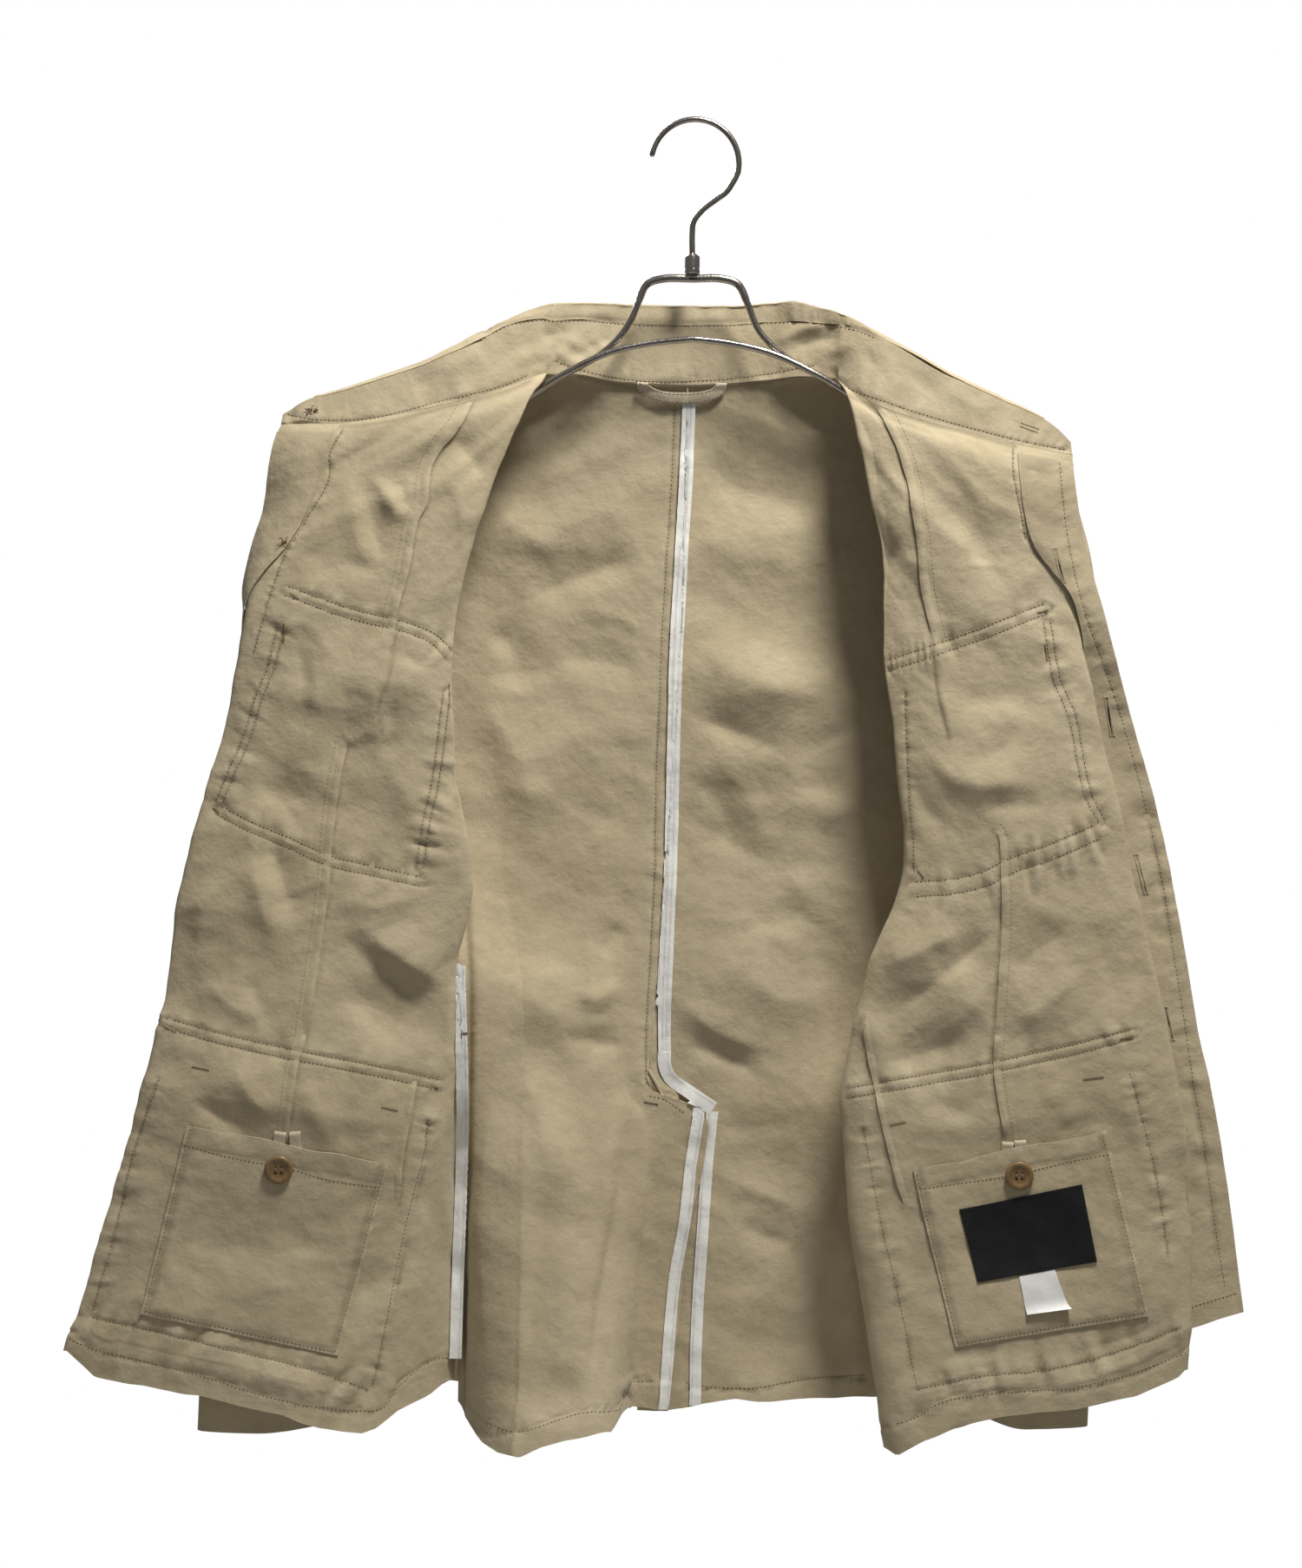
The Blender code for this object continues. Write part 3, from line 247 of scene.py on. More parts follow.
SLEEVE_RIGHT = (
    ("cap", 219, -522, 243, -241, 5, 17),
    ("crown", 222, -530, 264, -255, 7, 20),
    ("upper", 223, -540, 276, -285, 10, 23),
    ("high_arm", 221, -552, 284, -326, 13, 26),
    ("biceps", 218, -567, 292, -377, 15, 28),
    ("mid_arm", 214, -586, 300, -432, 17, 30),
    ("low_arm", 209, -610, 306, -492, 18, 31),
    ("elbow", 202, -640, 306, -554, 18, 30),
    ("forearm", 193, -676, 302, -621, 17, 28),
    ("fore_mid", 184, -718, 297, -690, 16, 26),
    ("wrist_high", 174, -767, 291, -756, 15, 24),
    ("wrist", 165, -818, 286, -815, 14, 20),
    ("cuff_seam", 157, -870, 281, -869, 13, 16),
)
CUFF_LEFT = (
    ("cuff_mid", -214, -897, -348, -897, 12, 15),
    ("cuff_foot", -216, -921, -349, -921, 12, 14),
)
CUFF_RIGHT = (
    ("cuff_mid", 155, -897, 280, -897, 12, 15),
    ("cuff_foot", 154, -918, 279, -918, 12, 14),
)

# The collar, from the centre back outwards. Columns: share of the way from the centre to the
# shoulder (0 to 1) or from the shoulder to the front edge (1 to 2), then the stand's top,
# the fall's fold and the fall's outer edge, each as X outwards, Y, Z from the neck seam.
COLLAR_LEFT = (
    ("centre", 0.0, (0, 0, 42), (0, 1, 57), (0, 16, 0)),
    ("nape", 0.55, (0, 0, 41), (0, 0, 55), (2, 15, 0)),
    ("side_neck", 0.85, (0, -1, 38), (-1, 0, 50), (20, 14, -4)),
    ("shoulder", 1.0, (-4, -1, 37), (-6, 3, 50), (48, 13, -12)),
    ("lapel_top", 1.12, (2, 0, 44), (0, 6, 50), (50, 11, -13)),
    ("break", 1.25, (2, 5, 39), (2, 11, 45), (46, 13, -16)),
    ("front", 1.45, (0, 4, 33), (0, 10, 37), (30, 9, -24)),
    ("front_mid", 1.65, (0, 5, 27), (0, 11, 30), (16, 11, -34)),
    ("tab_start", 1.8, (0, 5, 22), (0, 10, 24), (6, 12, -40)),
    ("point", 1.92, (-2, 4, 17), (-2, 8, 18), (2, 10, -44)),
    ("end", 2.0, (-1, 1, 7), (-1, 5, 7), (0, 9, -40)),
)
COLLAR_RIGHT = (
    ("centre", 0.0, (0, 0, 42), (0, 1, 57), (0, 16, 0)),
    ("nape", 0.55, (1, 0, 41), (2, 0, 55), (2, 15, 0)),
    ("side_neck", 0.85, (2, 0, 38), (0, 0, 52), (20, 14, -4)),
    ("shoulder", 1.0, (0, 1, 38), (-4, 4, 50), (48, 13, -12)),
    ("lapel_top", 1.12, (6, 6, 48), (0, 10, 54), (50, 11, -13)),
    ("break", 1.25, (4, 10, 49), (2, 14, 52), (46, 13, -16)),
    ("front", 1.45, (4, 5, 38), (3, 11, 41), (30, 9, -20)),
    ("front_mid", 1.65, (2, 5, 30), (2, 11, 33), (16, 11, -28)),
    ("tab_start", 1.8, (1, 4, 26), (1, 9, 28), (6, 12, -34)),
    ("point", 1.92, (0, 3, 20), (0, 7, 21), (2, 10, -38)),
    ("end", 2.0, (-1, 1, 9), (-1, 5, 9), (0, 9, -34)),
)

# Wire paths. The hook's stem below its round, and the looped frame's left and right halves.
HOOK_STEM = (
    (30, 0, -40), (24, 0, -49), (16, 0, -55), (7, 0, -62), (1, 0, -70), (0, 0, -78), (0, 0, -93),
)
FRAME_LEG_LEFT = (
    (0, 0, -110), (-20, 0, -110), (-32, 0, -114), (-38, 0, -127), (-43, 0, -139),
    (-52, 0, -152), (-66, 1, -164), (-90, -2, -178), (-112, 2, -191),
)
FRAME_LEG_RIGHT = (
    (0, 0, -110), (20, 0, -110), (32, 0, -114), (39, 0, -128), (46, 0, -145),
    (57, 0, -158), (72, 1, -169), (92, -2, -180), (112, 2, -193),
)
FRAME_ARC_LEFT = (
    (0, -4, -153), (-29, -4, -156), (-59, -6, -163), (-88, -8, -177), (-112, -6, -191),
)
FRAME_ARC_RIGHT = (
    (0, -4, -153), (26, -4, -156), (57, -6, -164), (86, -8, -178), (112, -5, -193),
)
ARM_END = (206, 0, -238)
ARM_TURN = 5.5 * MM


def unit(vectors):
    lengths = np.linalg.norm(vectors, axis=-1, keepdims=True)
    return vectors / np.maximum(lengths, 1e-12)


def smooth_point(before, start, end, after, share):
    """A point on the centripetal Catmull-Rom curve from start to end."""
    t1 = np.sqrt(np.linalg.norm(start - before, axis=-1, keepdims=True)) + 1e-9
    t2 = t1 + np.sqrt(np.linalg.norm(end - start, axis=-1, keepdims=True)) + 1e-9
    t3 = t2 + np.sqrt(np.linalg.norm(after - end, axis=-1, keepdims=True)) + 1e-9
    t = t1 + (t2 - t1) * share
    a1 = (t1 - t) / t1 * before + t / t1 * start
    a2 = (t2 - t) / (t2 - t1) * start + (t - t1) / (t2 - t1) * end
    a3 = (t3 - t) / (t3 - t2) * end + (t - t2) / (t3 - t2) * after
    b1 = (t2 - t) / t2 * a1 + t / t2 * a2
    b2 = (t3 - t) / (t3 - t1) * a2 + (t - t1) / (t3 - t1) * a3
    return (t2 - t) / (t2 - t1) * b1 + (t - t1) / (t2 - t1) * b2


def smooth_line(points, steps):
    """Points along a smooth curve through the first axis of points, at each span's shares."""
    points = np.asarray(points, dtype=float)
    first = 2.0 * points[0] - points[1]
    last = 2.0 * points[-1] - points[-2]
    padded = np.concatenate([first[None], points, last[None]])
    line = [points[0]]
    for span, shares in enumerate(steps):
        for share in shares:
            line.append(smooth_point(*padded[span:span + 4], share))
    return np.stack(line)


def guide_grid(table, row_steps, column_steps):
    """Rows down and columns across a cloth surface, from a table of guide points."""
    guides = np.array([row[1:] for row in table], dtype=float) * MM
    rows = smooth_line(guides, row_steps)
    columns = smooth_line(np.swapaxes(rows, 0, 1), column_steps)
    return np.swapaxes(columns, 0, 1)


def grid_normals(mid, side, closed=False):
    """Unit normals of a grid; side is 1 or -1, so that they face the garment's inside."""
    if closed:
        across = np.roll(mid, -1, axis=1) - np.roll(mid, 1, axis=1)
    else:
        across = np.gradient(mid, axis=1)
    down = np.gradient(mid, axis=0)
    return unit(np.cross(across, down)) * side


class Cloth:
    """A cloth surface: mid points and normals in rows and columns."""

    def __init__(self, mid, side, closed=False):
        self.mid = mid
        self.side = side
        self.closed = closed
        self.normal = grid_normals(mid, side, closed)
        self.pull = np.zeros_like(mid)

    def edge(self, rows, columns, step):
        """An edge's indices and those of its neighbours one step inside the cloth."""
        rows, columns = np.broadcast_arrays(np.atleast_1d(rows), np.atleast_1d(columns))
        return self, rows, columns, rows + step[0], columns + step[1]


def sew(first, second):
    """Bring two edges to one line with one normal, then pull each back by half the gap."""
    cloth_a, rows_a, columns_a = first[:3]
    cloth_b, rows_b, columns_b = second[:3]
    line = (cloth_a.mid[rows_a, columns_a] + cloth_b.mid[rows_b, columns_b]) / 2.0
    cloth_a.mid[rows_a, columns_a] = line
    cloth_b.mid[rows_b, columns_b] = line
    normal = unit(cloth_a.normal[rows_a, columns_a] + cloth_b.normal[rows_b, columns_b])
    cloth_a.normal[rows_a, columns_a] = normal
    cloth_b.normal[rows_b, columns_b] = normal


def share_corner(corners):
    """Give the corners of the cloths that meet at one point the same normal."""
    normal = unit(sum(cloth.normal[row, column] for cloth, row, column in corners))
    for cloth, row, column in corners:
        cloth.normal[row, column] = normal


def pull_back(edge):
    """Pull an edge back from its seam line by half the gap, in the cloth's own surface."""
    cloth, rows, columns, inner_rows, inner_columns = edge
    line = cloth.mid[rows, columns]
    inward = cloth.mid[inner_rows, inner_columns] - line
    normal = cloth.normal[rows, columns]
    along = unit(np.gradient(line, axis=0))
    inward -= np.sum(inward * normal, axis=-1, keepdims=True) * normal
    inward -= np.sum(inward * along, axis=-1, keepdims=True) * along
    cloth.pull[rows, columns] += unit(inward) * SEAM_GAP / 2.0


def make_front(table, column_steps, side):
    return Cloth(guide_grid(table, ROW_STEPS, column_steps), side)


def make_back(table, side):
    return Cloth(guide_grid(table, ROW_STEPS, BACK_STEPS), side)


def armhole_ring(front, back):
    """The armhole from the shoulder down the front and up the back."""
    down = front.mid[:UNDERARM + 1, 0]
    up = back.mid[UNDERARM - 1:0:-1, -1]
    return np.concatenate([down, up])


def ring_angles(ring):
    """Where each armhole point lies round an upright oval, 0 at the top, growing to the front."""
    top = ring[0, 2]
    foot = ring[UNDERARM, 2]
    share = np.clip((top - ring[:, 2]) / (top - foot), 0.0, 1.0)
    angle = np.arccos(1.0 - 2.0 * share)
    angle[UNDERARM + 1:] = 2.0 * math.pi - angle[UNDERARM + 1:]
    return angle


def tube_ring(row, angles):
    """A flattened oval ring: the front bulges to -Y, the outer end leads."""
    _, inner_x, inner_z, outer_x, outer_z, depth, half = row
    inner = np.array([inner_x, depth, inner_z], dtype=float) * MM
    outer = np.array([outer_x, depth, outer_z], dtype=float) * MM
    centre = (inner + outer) / 2.0
    reach = (outer - inner) / 2.0
    cosine = np.cos(angles)[:, None]
    sine = np.sin(angles)[:, None]
    bulge = np.array([0.0, -half * MM, 0.0])
    flat = np.sign(sine) * np.abs(sine) ** 0.8
    return centre + reach * cosine + bulge * flat


def make_sleeve(front, back, table, side):
    ring = armhole_ring(front, back)
    first = ring_angles(ring)
    even = np.arange(len(ring)) / len(ring) * 2.0 * math.pi
    rings = [ring]
    for number, row in enumerate(table):
        share = min(1.0, (number + 1) / 5.0)
        rings.append(tube_ring(row, first * (1.0 - share) + even * share))
    return Cloth(np.stack(rings), side, closed=True)


def make_cuff(sleeve, table, side):
    count = sleeve.mid.shape[1]
    even = np.arange(count) / count * 2.0 * math.pi
    rings = [sleeve.mid[-1]] + [tube_ring(row, even) for row in table]
    return Cloth(np.stack(rings), side, closed=True)


def collar_offsets(table, shares, side):
    """Offsets of the stand's top, the fold and the outer edge at each share of the way round."""
    stations = [row[1] for row in table]
    offsets = np.array([row[2:] for row in table], dtype=float) * MM
    offsets[:, :, 0] *= side
    found = np.empty((len(shares), 3, 3))
    for place in range(3):
        for axis in range(3):
            found[:, place, axis] = np.interp(shares, stations, offsets[:, place, axis])
    return found


def length_shares(line):
    steps = np.linalg.norm(np.diff(line, axis=0), axis=1)
    total = np.concatenate([[0.0], np.cumsum(steps)])
    return total / total[-1]


def half_collar(back, front, table, side):
    """A half neck line from the centre back to the front edge, with its collar offsets."""
    nape = back.mid[0, :NECK_COL + 1]
    lapel = front.mid[0, HINGE:]
    line = np.concatenate([nape, lapel[1:]])
    shares = np.concatenate([length_shares(nape), 1.0 + length_shares(lapel)[1:]])
    return line, collar_offsets(table, shares, side)


def make_collar(back_left, front_left, back_right, front_right):
    left, left_offsets = half_collar(back_left, front_left, COLLAR_LEFT, -1.0)
    right, right_offsets = half_collar(back_right, front_right, COLLAR_RIGHT, 1.0)
    seam = np.concatenate([left[::-1], right[1:]])
    offsets = np.concatenate([left_offsets[::-1], right_offsets[1:]])
    top = seam + offsets[:, 0]
    fold = seam + offsets[:, 1]
    edge = seam + offsets[:, 2]
    stand_rows = [seam]
    for share in STAND_ROWS:
        stand_rows.append(seam + (top - seam) * share)
    stand = Cloth(np.stack(stand_rows), 1.0)
    inside = slice(LEAF_SET_BACK, len(seam) - LEAF_SET_BACK)
    behind = fold + np.array([0.0, 3.0 * MM, -5.0 * MM])
    guides = np.stack([top, fold, behind, (behind + edge) / 2.0, edge])[:, inside]
    leaf_steps = ((0.6, 1.0), (1.0,), (0.5, 1.0), (0.5, 1.0))
    leaf = Cloth(smooth_line(guides, leaf_steps), 1.0)
    return stand, leaf


def sew_all(cloths):
    """Join every seam: shoulders, sides, centre back, armholes, cuffs, neck and collar."""
    fl, fr = cloths["front_left"], cloths["front_right"]
    bl, br = cloths["back_left"], cloths["back_right"]
    arm = np.arange(UNDERARM + 1)
    low = np.arange(UNDERARM, HEM + 1)
    hinge = np.arange(HINGE + 1)
    last = bl.mid.shape[1] - 1
    edges = []
    for front, back in ((fl, bl), (fr, br)):
        shoulder = (front.edge(0, hinge, (1, 0)), back.edge(0, last - hinge, (1, 0)))
        side = (front.edge(low, 0, (0, 1)), back.edge(low, last, (0, -1)))
        for pair in (shoulder, side):
            sew(*pair)
            edges += pair
    centre = np.arange(SEAM_FOOT)
    pair = (bl.edge(centre, 0, (0, 1)), br.edge(centre, 0, (0, 1)))
    sew(*pair)
    edges += pair
    for name, front, back in (("left", fl, bl), ("right", fr, br)):
        sleeve = cloths["sleeve_" + name]
        hole = front.edge(arm, 0, (0, 1))
        back_hole = back.edge(arm[::-1], last, (0, -1))
        ring = sleeve.edge(0, arm, (1, 0))
        back_ring = sleeve.edge(0, (np.arange(len(arm)) + UNDERARM) % sleeve.mid.shape[1],
                                (1, 0))
        sew(hole, ring)
        sew(back_hole, back_ring)
        whole = sleeve.edge(0, np.arange(sleeve.mid.shape[1]), (1, 0))
        edges += [hole, back_hole, whole]
        cuff = cloths["cuff_" + name]
        around = np.arange(sleeve.mid.shape[1])
        wrist = (sleeve.edge(sleeve.mid.shape[0] - 1, around, (-1, 0)), cuff.edge(0, around, (1, 0)))
        sew(*wrist)
        edges += wrist
    stand, leaf = cloths["collar_stand"], cloths["collar_leaf"]
    count = stand.mid.shape[1]
    lapel = np.arange(EDGE - HINGE + 1)
    nape = np.arange(NECK_COL + 1)
    stretches = (
        (fl, EDGE - lapel, lapel),
        (bl, NECK_COL - nape, lapel[-1] + nape),
        (br, nape, lapel[-1] + NECK_COL + nape),
        (fr, HINGE + lapel, count - 1 - lapel[::-1]),
    )
    for cloth, columns, places in stretches:
        neck = cloth.edge(0, columns, (1, 0))
        sew(neck, stand.edge(0, places, (1, 0)))
        edges.append(neck)
    edges.append(stand.edge(0, np.arange(count), (1, 0)))
    inside = np.arange(leaf.mid.shape[1])
    join = (stand.edge(stand.mid.shape[0] - 1, inside + LEAF_SET_BACK, (-1, 0)),
            leaf.edge(0, inside, (1, 0)))
    sew(*join)
    edges += join
    places = (lapel[-1], lapel[-1] + 2 * NECK_COL)
    for name, front, back, place in (("left", fl, bl, places[0]), ("right", fr, br, places[1])):
        sleeve = cloths["sleeve_" + name]
        share_corner(((front, 0, HINGE), (back, 0, NECK_COL), (stand, 0, place)))
        share_corner(((front, 0, 0), (back, 0, last), (sleeve, 0, 0)))
    share_corner(((bl, 0, 0), (br, 0, 0), (stand, 0, lapel[-1] + NECK_COL)))
    for edge in edges:
        pull_back(edge)
    for cloth in cloths.values():
        cloth.mid += cloth.pull


def make_cloths():
    cloths = {
        "front_left": make_front(FRONT_LEFT, FRONT_STEPS_LEFT, 1.0),
        "front_right": make_front(FRONT_RIGHT, FRONT_STEPS_RIGHT, -1.0),
        "back_left": make_back(BACK_LEFT, 1.0),
        "back_right": make_back(BACK_RIGHT, -1.0),
    }
    for name, side, sleeve, cuff in (
        ("left", 1.0, SLEEVE_LEFT, CUFF_LEFT), ("right", -1.0, SLEEVE_RIGHT, CUFF_RIGHT),
    ):
        front = cloths["front_" + name]
        back = cloths["back_" + name]
        cloths["sleeve_" + name] = make_sleeve(front, back, sleeve, side)
        cloths["cuff_" + name] = make_cuff(cloths["sleeve_" + name], cuff, side)
    stand, leaf = make_collar(
        cloths["back_left"], cloths["front_left"], cloths["back_right"], cloths["front_right"])
    cloths["collar_stand"] = stand
    cloths["collar_leaf"] = leaf
    sew_all(cloths)
    return cloths


def heading(vector):
    """One vector's direction."""
    return vector / max(np.linalg.norm(vector), 1e-12)


def eased(share):
    """A share from 0 to 1 that starts and ends level."""
    return share * share * (3 - 2 * share)


def seen(points):
    """Where points of the frame lie in the picture."""
    scale = -CAMERA[1] / (points[..., 1] - CAMERA[1]) / POINT
    across = IMAGE[0] / 2 + (points[..., 0] - CAMERA[0]) * scale
    down = IMAGE[1] / 2 + (CAMERA[2] - points[..., 2]) * scale
    return np.stack([across, down], axis=-1)


def spline_weights(count, places, closed=False):
    """A matrix that takes values at whole places to smooth values at any places."""
    weights = np.zeros((len(places), count))
    for line, place in enumerate(places):
        span = int(math.floor(place))
        if not closed:
            span = min(max(span, 0), count - 2)
        t = place - span
        four = (
            (-t + 2 * t * t - t ** 3) / 2,
            (2 - 5 * t * t + 3 * t ** 3) / 2,
            (t + 4 * t * t - 3 * t ** 3) / 2,
            (-t * t + t ** 3) / 2,
        )
        for step, weight in zip((-1, 0, 1, 2), four):
            at = span + step
            if closed:
                weights[line, at % count] += weight
            elif at < 0:
                weights[line, 0] += 2 * weight
                weights[line, 1] -= weight
            elif at >= count:
                weights[line, count - 1] += 2 * weight
                weights[line, count - 2] -= weight
            else:
                weights[line, at] += weight
    return weights


def places(spans, counts):
    """Fractional places: each span of the coarse grid cut into its count of equal steps."""
    found = [np.arange(count) / count + span for span, count in zip(range(spans), counts)]
    return np.concatenate(found + [[spans]])


class Fine:
    """A cloth surface in fine rows and columns, with a height to be added along its normal."""

    def __init__(self, cloth, row_counts, column_counts):
        rows, columns = cloth.mid.shape[:2]
        self.closed = cloth.closed
        self.side = cloth.side
        self.rows = places(rows - 1, row_counts)
        if self.closed:
            self.columns = places(columns, column_counts)[:-1]
        else:
            self.columns = places(columns - 1, column_counts)
        down = spline_weights(rows, self.rows)
        across = spline_weights(columns, self.columns, self.closed)
        self.mid = np.einsum("ij,jkx,lk->ilx", down, cloth.mid, across)
        self.lift_way = unit(np.einsum("ij,jkx,lk->ilx", down, cloth.normal, across))
        self.height = np.zeros(self.mid.shape[:2])
        self.wear = np.zeros(self.mid.shape[:2])
        self.shade = np.zeros(self.mid.shape[:2])
        self.picture = seen(self.mid)
        step_across = np.linalg.norm(np.diff(self.mid, axis=1), axis=2)
        step_down = np.linalg.norm(np.diff(self.mid, axis=0), axis=2)
        self.flat = np.zeros(self.mid.shape[:2] + (2,))
        self.flat[:, 1:, 0] = np.cumsum(step_across, axis=1)
        self.flat[1:, :, 1] = np.cumsum(step_down, axis=0)
        self.trees = {}

    def settle(self):
        """Adds the heights to the surface and works out its normals."""
        self.mid = self.mid + self.lift_way * self.height[..., None]
        self.normal = grid_normals(self.mid, self.side, self.closed)
        self.picture = seen(self.mid)

    def tree(self, low, high):
        """A search tree in the picture over the columns from low to high."""
        key = (low, high)
        if key not in self.trees:
            inside = np.nonzero((self.columns >= low) & (self.columns <= high))[0]
            picks = [(i, j) for i in range(len(self.rows)) for j in inside]
            found = KDTree(len(picks))
            for number, (i, j) in enumerate(picks):
                x, y = self.picture[i, j]
                found.insert((x, y, 0.0), number)
            found.balance()
            self.trees[key] = (found, picks, inside[0], inside[-1])
        return self.trees[key]

    def find(self, spot, low, high):
        """The fine row and column that a picture point falls on, and how far off it is."""
        tree, picks, first, last = self.tree(low, high)
        _, number, away = tree.find((spot[0], spot[1], 0.0))
        i, j = picks[number]
        i0, i1 = max(i - 1, 0), min(i + 1, len(self.rows) - 1)
        j0, j1 = max(j - 1, first), min(j + 1, last)
        down = (self.picture[i1, j] - self.picture[i0, j]) / (i1 - i0)
        across = (self.picture[i, j1] - self.picture[i, j0]) / (j1 - j0)
        matrix = np.array([down, across]).T
        if abs(np.linalg.det(matrix)) > 1e-3:
            step = np.linalg.solve(matrix, np.asarray(spot, dtype=float) - self.picture[i, j])
            step = np.clip(step, -1.5, 1.5)
        else:
            step = np.zeros(2)
        row = min(max(i + step[0], 0.0), len(self.rows) - 1.0)
        column = min(max(j + step[1], first), last)
        return row, column, away

    def at(self, row, column, field="mid"):
        """A value of the surface between its rows and columns."""
        values = getattr(self, field)
        i = min(int(row), values.shape[0] - 2)
        j = int(column)
        k = (j + 1) % values.shape[1] if self.closed else min(j + 1, values.shape[1] - 1)
        j = j % values.shape[1]
        down = row - i
        across = column - int(column)
        return ((values[i, j] * (1 - across) + values[i, k] * across) * (1 - down)
                + (values[i + 1, j] * (1 - across) + values[i + 1, k] * across) * down)

    def nearest(self, value, field):
        """The fine index of a coarse row or column."""
        return float(np.interp(value, getattr(self, field), np.arange(len(getattr(self, field)))))


def smooth_path(points, step):
    """Points about a step apart along a smooth line through the given ones."""
    points = np.asarray(points, dtype=float)
    if len(points) > 2:
        points = smooth_line(points, [(0.25, 0.5, 0.75, 1.0)] * (len(points) - 1))
    lengths = np.linalg.norm(np.diff(points, axis=0), axis=1)
    along = np.concatenate([[0.0], np.cumsum(lengths)])
    count = max(2, int(round(along[-1] / step)) + 1)
    at = np.linspace(0.0, along[-1], count)
    return np.stack([np.interp(at, along, points[:, axis]) for axis in range(points.shape[1])], axis=1)


def shifted(path, offset):
    """A path moved sideways, to the right of its direction as the picture shows it."""
    along = np.gradient(path, axis=0)
    along /= np.maximum(np.linalg.norm(along, axis=1, keepdims=True), 1e-9)
    return path + offset * np.stack([-along[:, 1], along[:, 0]], axis=1)


def measure(field, path, reach):
    """For the spots of a field near a path: which they are, how far along and how far aside."""
    flat = field.reshape(-1, 2)
    low = path.min(axis=0) - reach
    high = path.max(axis=0) + reach
    near = np.nonzero(((flat >= low) & (flat <= high)).all(axis=1))[0]
    spots = flat[near]
    best = np.full(len(near), np.inf)
    along = np.zeros(len(near))
    aside = np.zeros(len(near))
    start = 0.0
    for a, b in zip(path[:-1], path[1:]):
        edge = b - a
        length = np.linalg.norm(edge)
        if length < 1e-9:
            continue
        way = edge / length
        offset = spots - a
        share = np.clip(offset @ way, 0.0, length)
        away = offset - share[:, None] * way
        distance = np.linalg.norm(away, axis=1)
        closer = distance < best
        best[closer] = distance[closer]
        along[closer] = start + share[closer]
        aside[closer] = (way[0] * offset[:, 1] - way[1] * offset[:, 0])[closer]
        start += length
    close = best <= reach
    signs = np.where(aside >= 0.0, 1.0, -1.0)
    return near[close], along[close], (signs * best)[close], start


def noise_line(values, size, seed):
    """Smooth noise from about -1 to 1 along a line."""
    random = np.random.default_rng(seed)
    places_in = values / size
    low = np.floor(places_in).astype(int)
    knots = random.uniform(-1.0, 1.0, int(low.max(initial=0) - low.min(initial=0)) + 3)
    low0 = low - low.min(initial=0)
    t = places_in - low
    t = eased(t)
    return knots[low0] * (1 - t) + knots[low0 + 1] * t


def noise_sheet(flat, size, seed, turn=0.0, stretch=1.0):
    """Smooth noise from about -1 to 1 over a flat cloth, turned and drawn out in one way."""
    random = np.random.default_rng(seed)
    cosine, sine = math.cos(turn), math.sin(turn)
    x = (flat[..., 0] * cosine + flat[..., 1] * sine) / (size * stretch)
    y = (-flat[..., 0] * sine + flat[..., 1] * cosine) / size
    knots = random.uniform(-1.0, 1.0, (64, 64))
    low_y, low_x = np.floor(y), np.floor(x)
    u = x - low_x
    v = y - low_y
    u = eased(u)
    v = eased(v)
    i, j = low_y.astype(int) % 64, low_x.astype(int) % 64
    n, m = (i + 1) % 64, (j + 1) % 64
    return ((knots[i, j] * (1 - u) + knots[i, m] * u) * (1 - v)
            + (knots[n, j] * (1 - u) + knots[n, m] * u) * v)


def crumple(flat, size, seed, turn=0.0, stretch=1.0):
    """Uneven noise with narrow ridges, as washed cotton has between its softer waves."""
    warp = flat + 0.35 * size * np.stack([noise_sheet(flat, size * 1.3, seed + 50),
                                          noise_sheet(flat, size * 1.3, seed + 51)], axis=-1)
    wave = noise_sheet(warp, size, seed, turn, stretch)
    strength = 0.6 + 0.4 * noise_sheet(flat, size * 4, seed + 52)
    return 0.6 - 2.0 * np.sqrt(wave * wave + 0.004) * strength


def spread_in(fine, low, high):
    """1 in the columns from low to high, 0 elsewhere."""
    inside = (fine.columns >= low) & (fine.columns <= high)
    return np.broadcast_to(inside.astype(float), fine.height.shape).reshape(-1)


def crease(fine, points, width, height, columns, skew=0.0):
    """A soft ridge, or a trough where height is below 0, that fades out at both ends.

    Width is in picture points; skew steepens one side.
    """
    path = smooth_path(points, width / 2.0)
    near, along, aside, length = measure(fine.picture, path, 3.0 * width)
    ends = np.minimum(along, length - along) / max(length * 0.5, 1e-9)
    taper = np.clip(ends * 1.6, 0.0, 1.0)
    taper = 0.15 + 0.85 * taper * taper * (3 - 2 * taper)
    share = aside / width
    lean = np.where(share > 0, 1.0 - skew, 1.0 + skew)
    form = np.exp(-(np.abs(share) / np.clip(lean, 0.25, 2.0)) ** 1.45)
    mask = spread_in(fine, *columns)[near]
    gain = CREASE_GAIN * min(0.2 + width / 36.0, 1.0)
    fine.height.reshape(-1)[near] += gain * height * taper * form * mask


def tuck(fine, points, height, sharp, fade, columns):
    """A folded edge: the cloth to the right of the path's direction stands up and fades away."""
    path = smooth_path(points, sharp * 2.0)
    near, along, aside, length = measure(fine.picture, path, 3.0 * fade)
    taper = np.clip(np.minimum(along, length - along) / (length * 0.12), 0.0, 1.0)
    rise = 1.0 / (1.0 + np.exp(-np.clip(aside / sharp, -30.0, 30.0)))
    form = rise * np.exp(-np.maximum(aside, 0.0) / fade)
    mask = spread_in(fine, *columns)[near]
    fine.height.reshape(-1)[near] += TUCK_GAIN * height * (0.2 + 0.8 * taper) * form * mask


def mark(field, near, values):
    """Raises a field of the cloth, its shade or its wear, to the values at the near spots."""
    flat = field.reshape(-1)
    flat[near] = np.maximum(flat[near], values)


